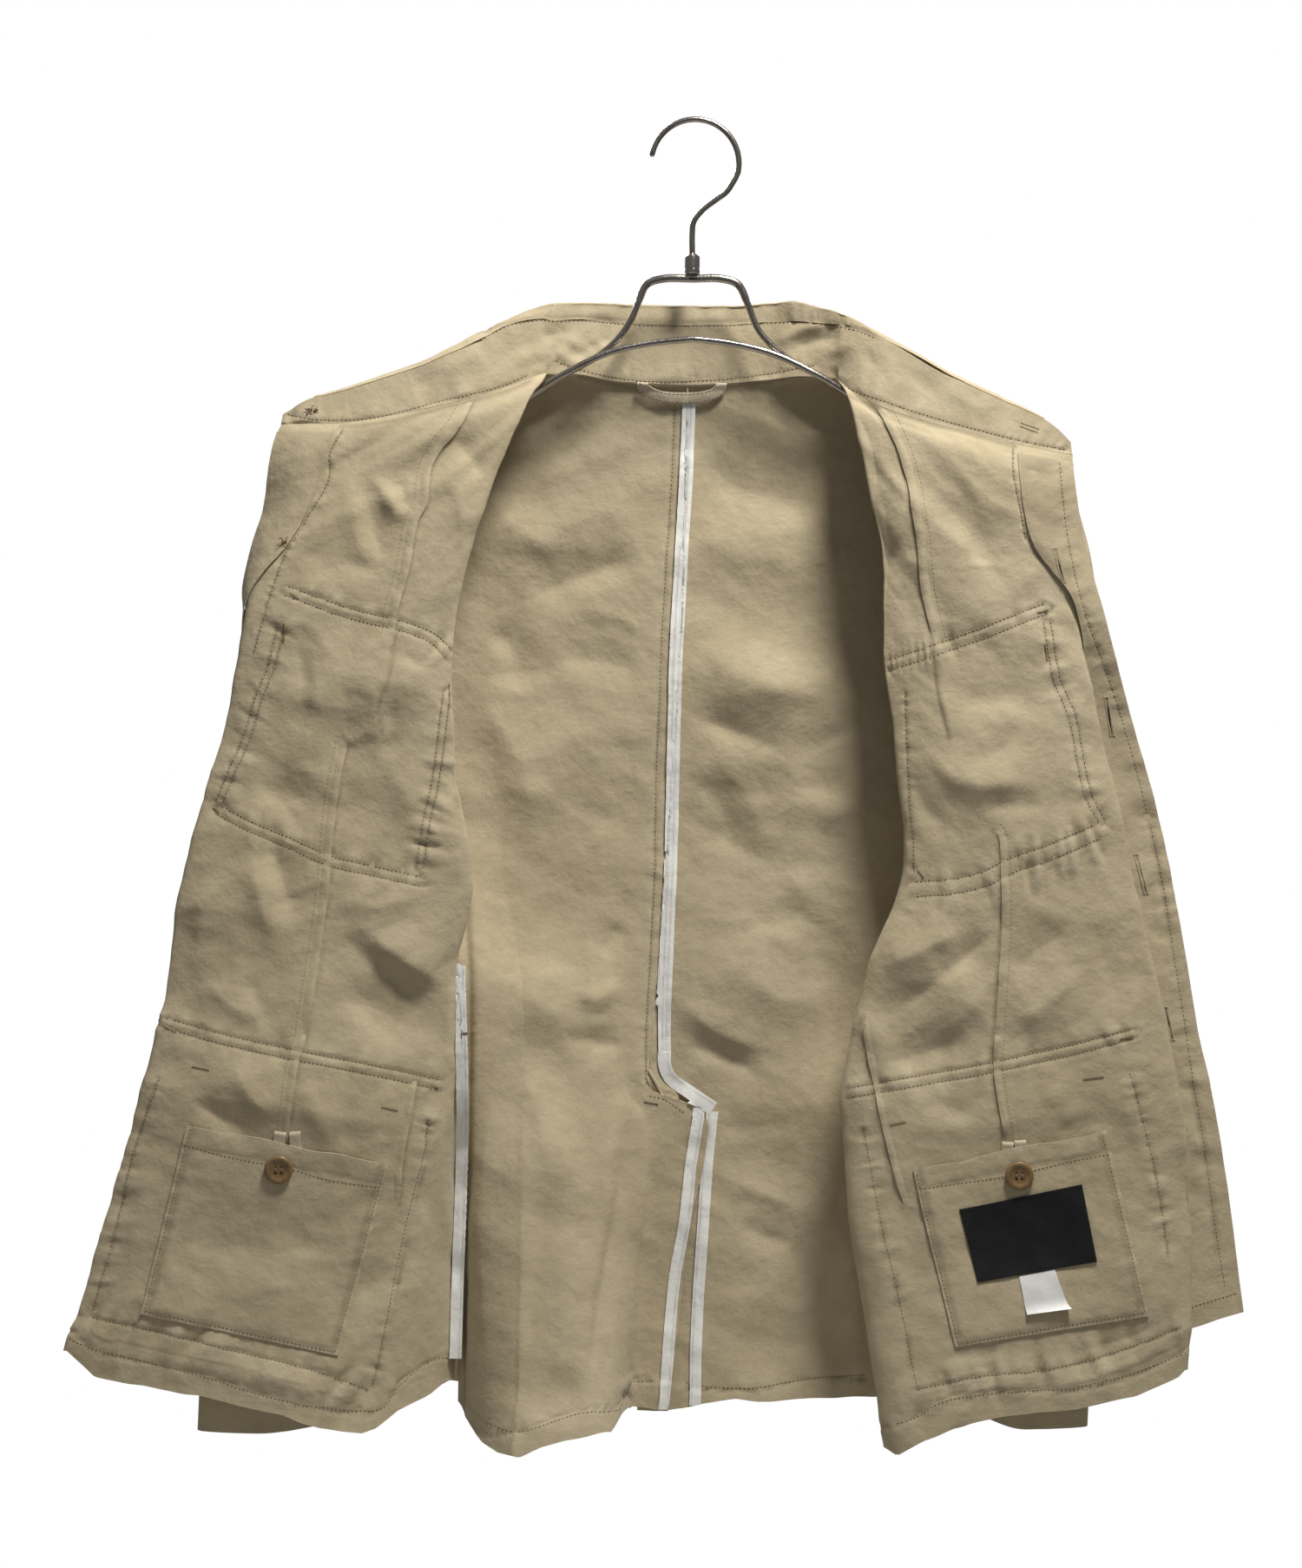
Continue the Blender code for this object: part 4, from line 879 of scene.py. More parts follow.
def pucker(fine, points, offsets, height, reach, seed, columns, size=11.0, groove=GROOVE):
    """The small waves that stitching draws into cloth, across its line, the line's groove, and painted
    shade along its rows.
    """
    path = smooth_path(points, 6.0)
    widest = max(abs(offset) for offset in offsets)
    near, along, aside, _ = measure(fine.picture, path, widest + 2.6 * reach)
    away = np.maximum(np.abs(aside) - widest, 0.0)
    fade = np.exp(-(away / reach) ** 1.5)
    lean = along + 0.35 * aside * noise_line(along, 60.0, seed + 7)
    wave = noise_line(lean, size, seed) + 0.5 * noise_line(lean, size * 0.55, seed + 1)
    strength = 0.75 + 0.5 * noise_line(along, 70.0, seed + 2)
    rise = PUCKER_GAIN * height * wave * strength * fade
    # The dark marks are painted shade of the needle holes and the groove along each row.
    dark = np.zeros(len(near))
    for offset in offsets:
        line = np.exp(-((aside - offset) / 2.2) ** 2)
        rise = rise - groove * line
        dark = np.maximum(dark, np.exp(-((aside - offset) / 1.5) ** 2))
    if groove > 0:
        ticks = np.sin(2 * math.pi * (along / TICK_PERIOD + 0.7 * noise_line(along, 23.0, seed + 3)
                                      + 0.035 * aside))
        uneven = np.clip(0.55 + 0.9 * noise_line(along, 24.0, seed + 4), 0.1, 1.2)
        rise = rise + TICK * uneven * ticks * np.exp(-(np.maximum(away - 1.0, 0.0) / 3.4) ** 2)
    mask = spread_in(fine, *columns)[near]
    fine.height.reshape(-1)[near] += rise * mask
    mark(fine.shade, near, dark * mask)
    mark(fine.wear, near, np.clip(wave, 0.0, 1.0) * fade * mask * 0.8)


def darken(fine, points, width, columns, amount=1.0):
    """Paints shade along a narrow line, such as the foot of a fold, for the material to darken."""
    path = smooth_path(points, width)
    near, _, aside, _ = measure(fine.picture, path, 4.0 * width)
    mask = spread_in(fine, *columns)[near]
    mark(fine.shade, near, amount * np.exp(-(aside / width) ** 2) * mask)


def level_hem(fine, points, columns, low=24.6, limit=22.0):
    """Moves a hem to the line the picture shows, fading out upwards; limit is in picture points."""
    foot = fine.picture[-1]
    points = np.array(points, dtype=float)
    order = np.argsort(points[:, 0])
    target = np.interp(foot[:, 0], points[order, 0], points[order, 1])
    inside = (fine.columns >= columns[0]) & (fine.columns <= columns[1])
    shift = np.where(inside, np.clip(target - foot[:, 1], -limit, limit), 0.0)
    beyond = fine.columns > columns[1]
    if beyond.any():
        shift[beyond] = shift[np.nonzero(~beyond)[0][-1]]
    scale = POINT * (fine.mid[-1, :, 1] - CAMERA[1]) / -CAMERA[1]
    fine.mid[..., 2] -= ramp(fine.rows, low, 26.0)[:, None] * (shift * scale)[None, :]
    fine.picture = seen(fine.mid)


def band(fine, points, columns):
    """Raises the cloth to the right of a path's direction, as a doubled hem is."""
    path = smooth_path(points, 8.0)
    near, _, aside, _ = measure(fine.picture, path, HEM_DEPTH)
    rise = 1.0 / (1.0 + np.exp(-np.clip(aside, -30.0, 30.0)))
    mask = spread_in(fine, *columns)[near]
    fine.height.reshape(-1)[near] += HEM_RISE * rise * mask


def ripple(fine, parts, flat=None):
    """Uneven waves all over a cloth: each part is its size, height, seed, turn and stretch."""
    for size, height, seed, turn, stretch in parts:
        field = fine.flat if flat is None else flat
        fine.height += RIPPLE_GAIN * height * noise_sheet(field, size, seed, turn, stretch)


def crumples(fine, parts, flat=None):
    """Crumpled patches all over a cloth: each part is its share, size, seed, turn and stretch."""
    for share, size, seed, turn, stretch in parts:
        field = fine.flat if flat is None else flat
        fine.height += share * CRUMPLE * crumple(field, size, seed, turn, stretch)


def upright_plane(fine):
    """A cloth's places as the camera's level sees them, in metres."""
    return np.stack([fine.mid[..., 0], fine.mid[..., 2]], axis=-1)


def linked(name, data):
    """A new object of the scene for a mesh, light or camera."""
    item = bpy.data.objects.new(name, data)
    bpy.context.scene.collection.objects.link(item)
    return item


def worked_mesh(name, work):
    """A mesh made from a bmesh, which is then freed."""
    mesh = bpy.data.meshes.new(name)
    work.to_mesh(mesh)
    work.free()
    return mesh


def turn_faces_out(mesh, join=None):
    """Turns a mesh's faces outwards, after joining points closer than the given distance."""
    work = bmesh.new()
    work.from_mesh(mesh)
    if join is not None:
        bmesh.ops.remove_doubles(work, verts=work.verts, dist=join)
    bmesh.ops.recalc_face_normals(work, faces=work.faces)
    work.to_mesh(mesh)
    work.free()


def mesh_piece(name, points, faces, attributes=None, flat=None, sharp=None):
    """A mesh object from point and face arrays; faces is a list of arrays of one width each."""
    mesh = bpy.data.meshes.new(name)
    mesh.vertices.add(len(points))
    mesh.vertices.foreach_set("co", np.asarray(points, dtype=np.float32).ravel())
    corners = np.concatenate([part.ravel() for part in faces]).astype(np.int32)
    sizes = np.concatenate([np.full(len(part), part.shape[1]) for part in faces])
    starts = np.concatenate([[0], np.cumsum(sizes)[:-1]]).astype(np.int32)
    mesh.loops.add(len(corners))
    mesh.loops.foreach_set("vertex_index", corners)
    mesh.polygons.add(len(sizes))
    mesh.polygons.foreach_set("loop_start", starts)
    mesh.update(calc_edges=True)
    if flat is not None:
        layer = mesh.uv_layers.new(name="cloth")
        layer.data.foreach_set("uv", flat[corners].astype(np.float32).ravel())
    for key, values in (attributes or {}).items():
        made = mesh.attributes.new(key, "FLOAT", "POINT")
        made.data.foreach_set("value", values.astype(np.float32))
    mesh.polygons.foreach_set("use_smooth", np.ones(len(sizes), dtype=bool))
    if sharp is not None:
        ends = np.zeros(len(mesh.edges) * 2, dtype=np.int32)
        mesh.edges.foreach_get("vertices", ends)
        ends = ends.reshape(-1, 2)
        hard = (sharp[ends[:, 0]] == sharp[ends[:, 1]]) & (sharp[ends[:, 0]] > 0)
        made = mesh.attributes.new("sharp_edge", "BOOLEAN", "EDGE")
        made.data.foreach_set("value", hard)
    return linked(name, mesh)


def shell(name, mid, normal, flip, thick, flat, attributes, closed=False, coarse=2):
    """A thin closed cloth: a fine layer on the side that shows and a plainer one behind it."""
    rows, columns = mid.shape[:2]
    down = np.arange(0, rows, coarse)
    across = np.arange(0, columns, coarse)
    near = mid + normal * thick / 2.0
    far = (mid - normal * thick / 2.0)[np.ix_(down, across)]
    points = np.concatenate([near.reshape(-1, 3), far.reshape(-1, 3)])
    uv = np.concatenate([flat.reshape(-1, 2), flat[np.ix_(down, across)].reshape(-1, 2)])
    values = {key: np.concatenate([part.ravel(), part[np.ix_(down, across)].ravel()])
              for key, part in attributes.items()}
    base = rows * columns

    def fine(i, j):
        return i * columns + j % columns

    def plain(i, j):
        return base + i * len(across) + j % len(across)

    def grid(make, height, width):
        i, j = np.meshgrid(np.arange(height), np.arange(width), indexing="ij")
        i, j = i.ravel(), j.ravel()
        return np.stack([make(i, j), make(i, j + 1), make(i + 1, j + 1), make(i + 1, j)], axis=1)

    wide = columns if closed else columns - 1
    wide_plain = len(across) if closed else len(across) - 1
    front = grid(fine, rows - 1, wide)
    back = grid(plain, len(down) - 1, wide_plain)[:, ::-1]
    rims = []
    j = np.arange(wide_plain)
    last = rows - 1
    foot = len(down) - 1
    steps = [fine(0 * j, coarse * j + k) for k in range(coarse, -1, -1)]
    rims.append(np.stack(steps + [plain(0 * j, j), plain(0 * j, j + 1)], axis=1))
    steps = [fine(0 * j + last, coarse * j + k) for k in range(coarse + 1)]
    rims.append(np.stack(steps + [plain(0 * j + foot, j + 1), plain(0 * j + foot, j)], axis=1))
    if not closed:
        i = np.arange(foot)
        end = columns - 1
        end_plain = len(across) - 1
        steps = [fine(coarse * i + k, 0 * i) for k in range(coarse + 1)]
        rims.append(np.stack(steps + [plain(i + 1, 0 * i), plain(i, 0 * i)], axis=1))
        steps = [fine(coarse * i + k, 0 * i + end) for k in range(coarse, -1, -1)]
        rims.append(np.stack(steps + [plain(i, 0 * i + end_plain), plain(i + 1, 0 * i + end_plain)],
                             axis=1))
    faces = [front, back] + rims
    if flip:
        faces = [part[:, ::-1] for part in faces]
    border = np.zeros((rows, columns), dtype=int)
    border[0] = border[-1] = 1
    border_plain = np.zeros((len(down), len(across)), dtype=int)
    border_plain[0] = border_plain[-1] = 2
    if not closed:
        border[:, 0] = border[:, -1] = 1
        border_plain[:, 0] = border_plain[:, -1] = 2
    sharp = np.concatenate([border.ravel(), border_plain.ravel()])
    return mesh_piece(name, points, faces, values, uv, sharp)


def dress(item, finish, nodes=()):
    """Gives a piece its finish and body, and hides the solids that it stands for."""
    item.data.materials.append(finish)
    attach(item, "root")
    if nodes:
        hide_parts(*nodes)
    return item


def cloth_piece(name, fine, show, thick, finish, nodes, coarse=2):
    """The shell of a whole cloth; show is 1 where its inside is the side to be seen, else -1."""
    flip = fine.side * show < 0
    fields = {"wear": fine.wear, "shade": fine.shade}
    item = shell(name, fine.mid, fine.normal * show, flip, thick, fine.flat, fields,
                 fine.closed, coarse)
    return dress(item, finish, nodes)


def resampled(fine, rows, columns):
    """Points, normals and flat places of a part of a cloth, between coarse rows and columns."""
    down = np.interp(np.linspace(rows[0], rows[1], rows[2]), fine.rows, np.arange(len(fine.rows)))
    across = np.interp(np.linspace(columns[0], columns[1], columns[2]), fine.columns,
                       np.arange(len(fine.columns)))
    low_i = np.minimum(down.astype(int), len(fine.rows) - 2)
    low_j = np.minimum(across.astype(int), len(fine.columns) - 2)
    u = (down - low_i)[:, None, None]
    v = (across - low_j)[None, :, None]
    found = []
    for values in (fine.mid, fine.normal, fine.flat):
        a = values[np.ix_(low_i, low_j)]
        b = values[np.ix_(low_i, low_j + 1)]
        c = values[np.ix_(low_i + 1, low_j)]
        d = values[np.ix_(low_i + 1, low_j + 1)]
        found.append((a * (1 - v) + b * v) * (1 - u) + (c * (1 - v) + d * v) * u)
    return found


def picture_grid(surfaces, spots):
    """Points and normals on the nearest of some surfaces, for a grid of picture points.

    Surfaces are (fine, low column, high column); where two share a spot, the nearer one counts.
    """
    mid = np.zeros(spots.shape[:2] + (3,))
    normal = np.zeros_like(mid)
    for i in range(spots.shape[0]):
        for j in range(spots.shape[1]):
            best = None
            for fine, low, high in surfaces:
                row, column, away = fine.find(spots[i, j], low, high)
                point = fine.at(row, column)
                rank = (max(0.0, away - 4.0), point[1])
                if best is None or rank < best[0]:
                    best = (rank, point, fine.at(row, column, "normal"))
            mid[i, j] = best[1]
            normal[i, j] = best[2]
    return mid, unit(normal)


def corner_grid(corners, rows, columns):
    """A grid of picture points between four corners: top left, top right, foot right, foot left."""
    a, b, c, d = (np.array(corner, dtype=float) for corner in corners)
    v = np.linspace(0.0, 1.0, rows)[:, None, None]
    u = np.linspace(0.0, 1.0, columns)[None, :, None]
    return (a * (1 - u) + b * u) * (1 - v) + (d * (1 - u) + c * u) * v


def grid_flat(mid):
    """Distances across and down a grid, in metres, for the weave."""
    flat = np.zeros(mid.shape[:2] + (2,))
    flat[:, 1:, 0] = np.cumsum(np.linalg.norm(np.diff(mid, axis=1), axis=2), axis=1)
    flat[1:, :, 1] = np.cumsum(np.linalg.norm(np.diff(mid, axis=0), axis=2), axis=0)
    return flat


def laid_piece(name, mid, way, thick, finish, nodes, wear=None, coarse=1, shade=None):
    """A thin piece on a grid, the side towards its way being the one that shows."""
    normal = grid_normals(mid, 1.0)
    flip = False
    if np.sum(normal * way) < 0:
        normal = -normal
        flip = True
    flat = grid_flat(mid)
    worn = np.zeros(mid.shape[:2]) if wear is None else wear
    fields = {"wear": worn, "shade": np.zeros(mid.shape[:2]) if shade is None else shade}
    item = shell(name, mid, normal, flip, thick, flat, fields, coarse=coarse)
    return dress(item, finish, nodes)


# The share of a stitch's pitch that its thread covers.
STITCH_FILL = 0.72


class Threads:
    """Stitches gathered into one mesh: short low bars laid along cloth."""

    def __init__(self, name):
        self.name = name
        self.points = []
        self.count = 0

    def bar(self, start, end, up, width, height):
        """One stitch from start to end, standing up from the cloth in its middle."""
        way = heading(end - start)
        side = heading(np.cross(up, way))
        middle = (start + end) / 2.0 + up * height
        rings = (
            (start - up * height * 0.4, width * 0.55),
            (middle, width),
            (end - up * height * 0.4, width * 0.55),
        )
        for centre, wide in rings:
            self.points.append(centre + side * wide / 2.0)
            self.points.append(centre + up * wide / 2.0)
            self.points.append(centre - side * wide / 2.0)
        self.count += 1

    def row(self, fine, path, limits, lift, pitch=2.9, width=0.7, height=0.22):
        """Stitches along a path of picture points; pitch in mm, thread sizes in mm."""
        path = smooth_path(path, pitch / POINT_MM)
        ends = path[:-1] + np.diff(path, axis=0) * STITCH_FILL
        for a, b in zip(path[:-1], ends):
            row_a, column_a, away_a = fine.find(a, *limits)
            row_b, column_b, away_b = fine.find(b, *limits)
            if max(away_a, away_b) > 9.0:
                continue
            up = heading(fine.at((row_a + row_b) / 2, (column_a + column_b) / 2, "normal"))
            start = fine.at(row_a, column_a) + up * lift
            end = fine.at(row_b, column_b) + up * lift
            if 0.0005 < np.linalg.norm(end - start) < 0.006:
                self.bar(start, end, up, width * MM, height * MM)

    def hidden_row(self, fine, spots, lift, pitch=2.9, width=0.55, height=0.22):
        """Stitches along a line of coarse rows and columns, on the side that the picture hides."""
        places_in = np.array([(fine.nearest(row, "rows"), fine.nearest(column, "columns"))
                              for row, column in spots])
        dense = smooth_path(places_in, 0.5)
        line = np.array([fine.at(row, column) for row, column in dense])
        lengths = np.concatenate([[0.0], np.cumsum(np.linalg.norm(np.diff(line, axis=0), axis=1))])
        count = max(2, int(lengths[-1] / (pitch * MM)))
        starts = np.linspace(0.0, lengths[-1] - pitch * MM * STITCH_FILL, count)
        for start in starts:
            ends = []
            for at in (start, start + pitch * MM * STITCH_FILL):
                row = np.interp(at, lengths, dense[:, 0])
                column = np.interp(at, lengths, dense[:, 1])
                up = -heading(fine.at(row, column, "normal"))
                ends.append(fine.at(row, column) + up * lift)
            self.bar(ends[0], ends[1], up, width * MM, height * MM)

    def tack(self, fine, a, b, limits, lift, width):
        """A bar tack: close cross stitches from a to b, both picture points."""
        a = np.array(a, dtype=float)
        b = np.array(b, dtype=float)
        length = np.linalg.norm(b - a)
        turns = max(5, int(length / 1.15))
        across = np.array([-(b - a)[1], (b - a)[0]]) / length * width / POINT_MM / 2.0
        for k in range(turns):
            centre = a + (b - a) * k / (turns - 1)
            lean = (b - a) / length * 0.5
            spots = (centre - across - lean, centre + across + lean)
            found = []
            for spot in spots:
                row, column, _ = fine.find(spot, *limits)
                up = heading(fine.at(row, column, "normal"))
                found.append(fine.at(row, column) + up * lift)
            self.bar(found[0], found[1], up, 0.6 * MM, 0.45 * MM)

    def make(self, finish, slot="twill"):
        if not self.count:
            return None
        start = np.arange(self.count)[:, None] * 9
        ring = []
        for k in (0, 3):
            for a, b in ((0, 1), (1, 2), (2, 0)):
                ring.append([k + a, k + b, k + 3 + b, k + 3 + a])
        sides = (start[:, :, None] + np.array(ring)[None]).reshape(-1, 4)[:, ::-1]
        caps = (start[:, :, None] + np.array([[0, 2, 1], [6, 7, 8]])[None]).reshape(-1, 3)[:, ::-1]
        item = mesh_piece(self.name, np.array(self.points), [sides, caps])
        return dress(item, finish)


# Steps of the fine surfaces within each span of the solids' rows and columns.
FRONT_ROW_COUNTS = (4, 8, 14, 14, 18, 18, 14, 12, 10, 14, 12, 12, 12, 12, 12, 14, 14, 14, 12, 18, 12,
                    12, 18, 18, 10, 16)
FRONT_COLUMN_COUNTS = (4, 4, 4, 4, 4, 10, 12, 12, 14, 14, 14, 14, 5, 5, 6, 6)
BACK_ROW_COUNTS = (4, 6, 12, 12, 14, 14, 10, 10, 8, 10, 10, 10, 10, 10, 10, 12, 12, 10, 8, 14, 10, 10,
                   14, 14, 6, 12)
BACK_COLUMN_COUNTS = (6, 10, 6, 8, 12, 12, 8, 14, 14, 6)
# Spans of columns: a front's relief, its face past the hinge, all of its open part, its edge strip
# and a back.
FACING = (4.6, 12.0)
FACE = (4.8, 12.0)
OPEN_FRONT = (0.0, 12.0)
STRIP = (13.0, 16.0)
ALL_BACK = (0.0, 10.0)

# Seams stitched through the left front: points, rows beside the line, height in mm, reach.
LEFT_SEAMS = (
    ("chest_flap", ((330, 680), (393, 703), (429, 713), (457, 719), (499, 735), (518, 755)),
     (-5.5, 5.5), 0.75, 13),
    ("chest_near", ((325, 716), (314, 764), (298, 806), (282, 857), (269, 885), (253, 924)),
     (-4, 4), 0.75, 12),
    ("chest_foot", ((253, 933), (288, 952), (327, 968), (378, 991), (429, 1003), (486, 1016)),
     (-6, 5), 0.8, 13),
    ("chest_far", ((518, 800), (505, 904), (496, 943), (488, 1000)), (0, 8), 0.6, 11),
    ("lower_flap", ((190, 1177), (248, 1194), (331, 1213), (429, 1232), (519, 1252)),
     (-5.5, 5.5), 0.75, 13),
    ("lower_near", ((184, 1243), (154, 1329), (135, 1412), (107, 1510)), (0,), 0.6, 12),
    ("lower_foot", ((107, 1517), (192, 1536), (267, 1555), (361, 1578), (425, 1600)),
     (0,), 1.1, 20),
    ("lower_far", ((493, 1288), (485, 1363), (470, 1431), (451, 1506), (429, 1596)), (0,), 0.6, 11),
    ("facing", ((394, 498), (380, 523), (379, 553), (333, 630), (315, 676), (302, 719), (293, 752)),
     (0,), 0.3, 8),
    ("hem", ((80, 1540), (94, 1548), (210, 1578), (323, 1612), (380, 1621), (440, 1622), (459, 1596),
             (500, 1566), (532, 1562)), (0,), 0.5, 14),
)
LEFT_TUCKS = (
    (((546, 459), (529, 491), (505, 521), (495, 544), (491, 579), (480, 601), (470, 656), (457, 703),
      (454, 732)), 1.7, 30),
    (((454, 732), (445, 783), (435, 812), (438, 844)), 1.3, 16),
    (((400, 857), (390, 904), (382, 968), (378, 1022), (367, 1101), (353, 1190)), 1.5, 26),
    (((353, 1190), (342, 1228), (330, 1318)), 1.0, 20),
    (((480, 1243), (464, 1333), (459, 1388)), 1.0, 16),
)
# Creases of the left front: points, width in picture points, height in mm.
LEFT_CREASES = (
    (((400, 1050), (440, 1090), (510, 1130)), 34, 2.4),
    (((395, 1125), (440, 1165), (505, 1200)), 36, -2.6),
    (((190, 1255), (330, 1275), (490, 1300)), 42, 2.6),
    (((170, 1425), (290, 1440), (430, 1450)), 60, -2.6),
    (((150, 1560), (290, 1590), (400, 1610)), 26, 1.6),
    (((300, 800), (380, 812), (480, 820)), 40, 2.2),
    (((200, 1040), (270, 1050), (330, 1040)), 34, 1.6),
    (((340, 765), (420, 780), (505, 800)), 38, 2.0),
    (((290, 900), (390, 930), (480, 950)), 50, -2.6),
    (((436, 560), (455, 590), (480, 596)), 10, 2.6),
    (((425, 548), (446, 572), (458, 596)), 9, 2.4),
    (((462, 548), (464, 572), (474, 590)), 8, -2.2),
    (((424, 570), (430, 600), (441, 650)), 13, -2.6),
    (((404, 560), (410, 610), (424, 660)), 16, 1.6),
    (((520, 500), (545, 528), (560, 556)), 15, -3.0),
    (((505, 545), (528, 575), (530, 620)), 16, 1.8),
    (((500, 512), (478, 540), (462, 556)), 11, -2.0),
    (((395, 500), (440, 492), (500, 470)), 14, 1.4),
    (((350, 640), (390, 590), (420, 540)), 20, 1.8),
    (((360, 665), (400, 650), (440, 660)), 14, -1.4),
    (((345, 735), (352, 790), (345, 850)), 14, -2.0),
    (((368, 760), (362, 815), (340, 880)), 14, 2.2),
    (((395, 860), (425, 845), (440, 850)), 9, 2.2),
    (((402, 770), (396, 830), (372, 900)), 18, -1.6),
    (((450, 800), (452, 840), (444, 880)), 12, -2.0),
    (((460, 748), (480, 766), (510, 770)), 9, -1.4),
    (((440, 880), (470, 920), (480, 970)), 16, 1.4),
    (((300, 900), (330, 930), (350, 968)), 14, -1.2),
    (((306, 965), (325, 1010), (337, 1065)), 16, -3.0),
    (((290, 985), (302, 1040), (318, 1090)), 17, 2.6),
    (((240, 1010), (232, 1060), (226, 1130)), 22, 1.6),
    (((395, 1035), (425, 1045), (490, 1030)), 18, 2.0),
    (((392, 1075), (440, 1120), (500, 1180)), 22, -2.6),
    (((420, 1070), (470, 1110), (515, 1140)), 20, 2.2),
    (((400, 1140), (430, 1175), (480, 1215)), 18, -1.6),
    (((235, 1130), (262, 1155), (300, 1175)), 15, 1.8),
    (((285, 1120), (300, 1160), (318, 1195)), 14, -1.6),
    (((222, 1262), (250, 1285), (292, 1305)), 16, -3.0),
    (((268, 1222), (290, 1262), (318, 1290)), 14, 2.4),
    (((345, 1240), (362, 1280), (382, 1320)), 16, 2.0),
    (((400, 1255), (398, 1295), (410, 1330)), 14, -1.8),
    (((495, 1218), (500, 1236), (497, 1262)), 9, 2.0),
    (((450, 1290), (445, 1320), (436, 1346)), 12, -1.4),
    (((170, 1330), (160, 1400), (148, 1470)), 16, 1.4),
    (((440, 1390), (428, 1450), (415, 1520)), 14, -1.4),
    (((490, 1300), (482, 1400), (450, 1560), (434, 1640)), 20, 1.4),
    (((120, 1535), (170, 1556), (230, 1575)), 12, 0.7),
    (((260, 1570), (320, 1590), (380, 1604)), 9, 1.3),
    (((300, 1560), (350, 1574), (400, 1590)), 8, -1.3),
)
LEFT_TACKS = (
    ((328, 718), (327, 738)), ((518, 788), (519, 806)), ((222, 1228), (241, 1232)),
    ((440, 1275), (458, 1279)), ((335, 683), (345, 690)), ((190, 1182), (203, 1189)),
    ((501, 1252), (519, 1256)), ((246, 930), (253, 936)),
)
RIGHT_SEAMS = (
    ("chest_flap", ((1023, 766), (1072, 750), (1139, 726), (1206, 700)), (-6, 6), 0.75, 13),
    ("chest_far", ((1206, 716), (1218, 783), (1235, 825), (1245, 879), (1254, 917), (1269, 946)),
     (-4, 4), 0.7, 11),
    ("chest_foot", ((1056, 1032), (1098, 1029), (1139, 1019), (1171, 1003), (1210, 990), (1267, 965)),
     (-17, 0), 0.8, 11),
    ("chest_near", ((1043, 800), (1047, 900), (1054, 1006)), (0,), 0.35, 9),
    ("lower_flap", ((970, 1260), (1015, 1252), (1090, 1239), (1166, 1224), (1241, 1207), (1305, 1190)),
     (-5.5, 5.5), 0.75, 13),
    ("lower_near", ((995, 1297), (1015, 1408), (1034, 1487), (1057, 1600)), (0,), 0.5, 11),
    ("lower_foot", ((1057, 1600), (1128, 1585), (1203, 1578), (1279, 1559), (1358, 1529)),
     (0,), 1.1, 20),
    ("lower_far", ((1301, 1235), (1316, 1288), (1335, 1371), (1346, 1450)), (0,), 0.5, 11),
    ("facing", ((1167, 517), (1167, 545), (1176, 588), (1182, 621)), (0,), 0.2, 8),
    ("hem", ((1015, 1642), (1053, 1634), (1083, 1615), (1151, 1604), (1241, 1597), (1305, 1581),
             (1363, 1559)), (0,), 0.5, 14),
)
RIGHT_TUCKS = (
    (((1095, 850), (1092, 837), (1082, 796), (1076, 739)), 1.3, 20),
    (((1076, 739), (1063, 681), (1057, 617), (1052, 590), (1047, 558), (1033, 512), (1010, 468)),
     1.8, 34),
    (((1147, 1190), (1151, 1130), (1155, 1060), (1154, 1006), (1151, 963), (1144, 955)), 1.6, 24),
    (((1158, 1310), (1151, 1273), (1145, 1224), (1147, 1190)), 1.2, 18),
    (((1043, 1390), (1034, 1363), (1015, 1288), (1004, 1235), (989, 1153)), 1.3, 20),
)
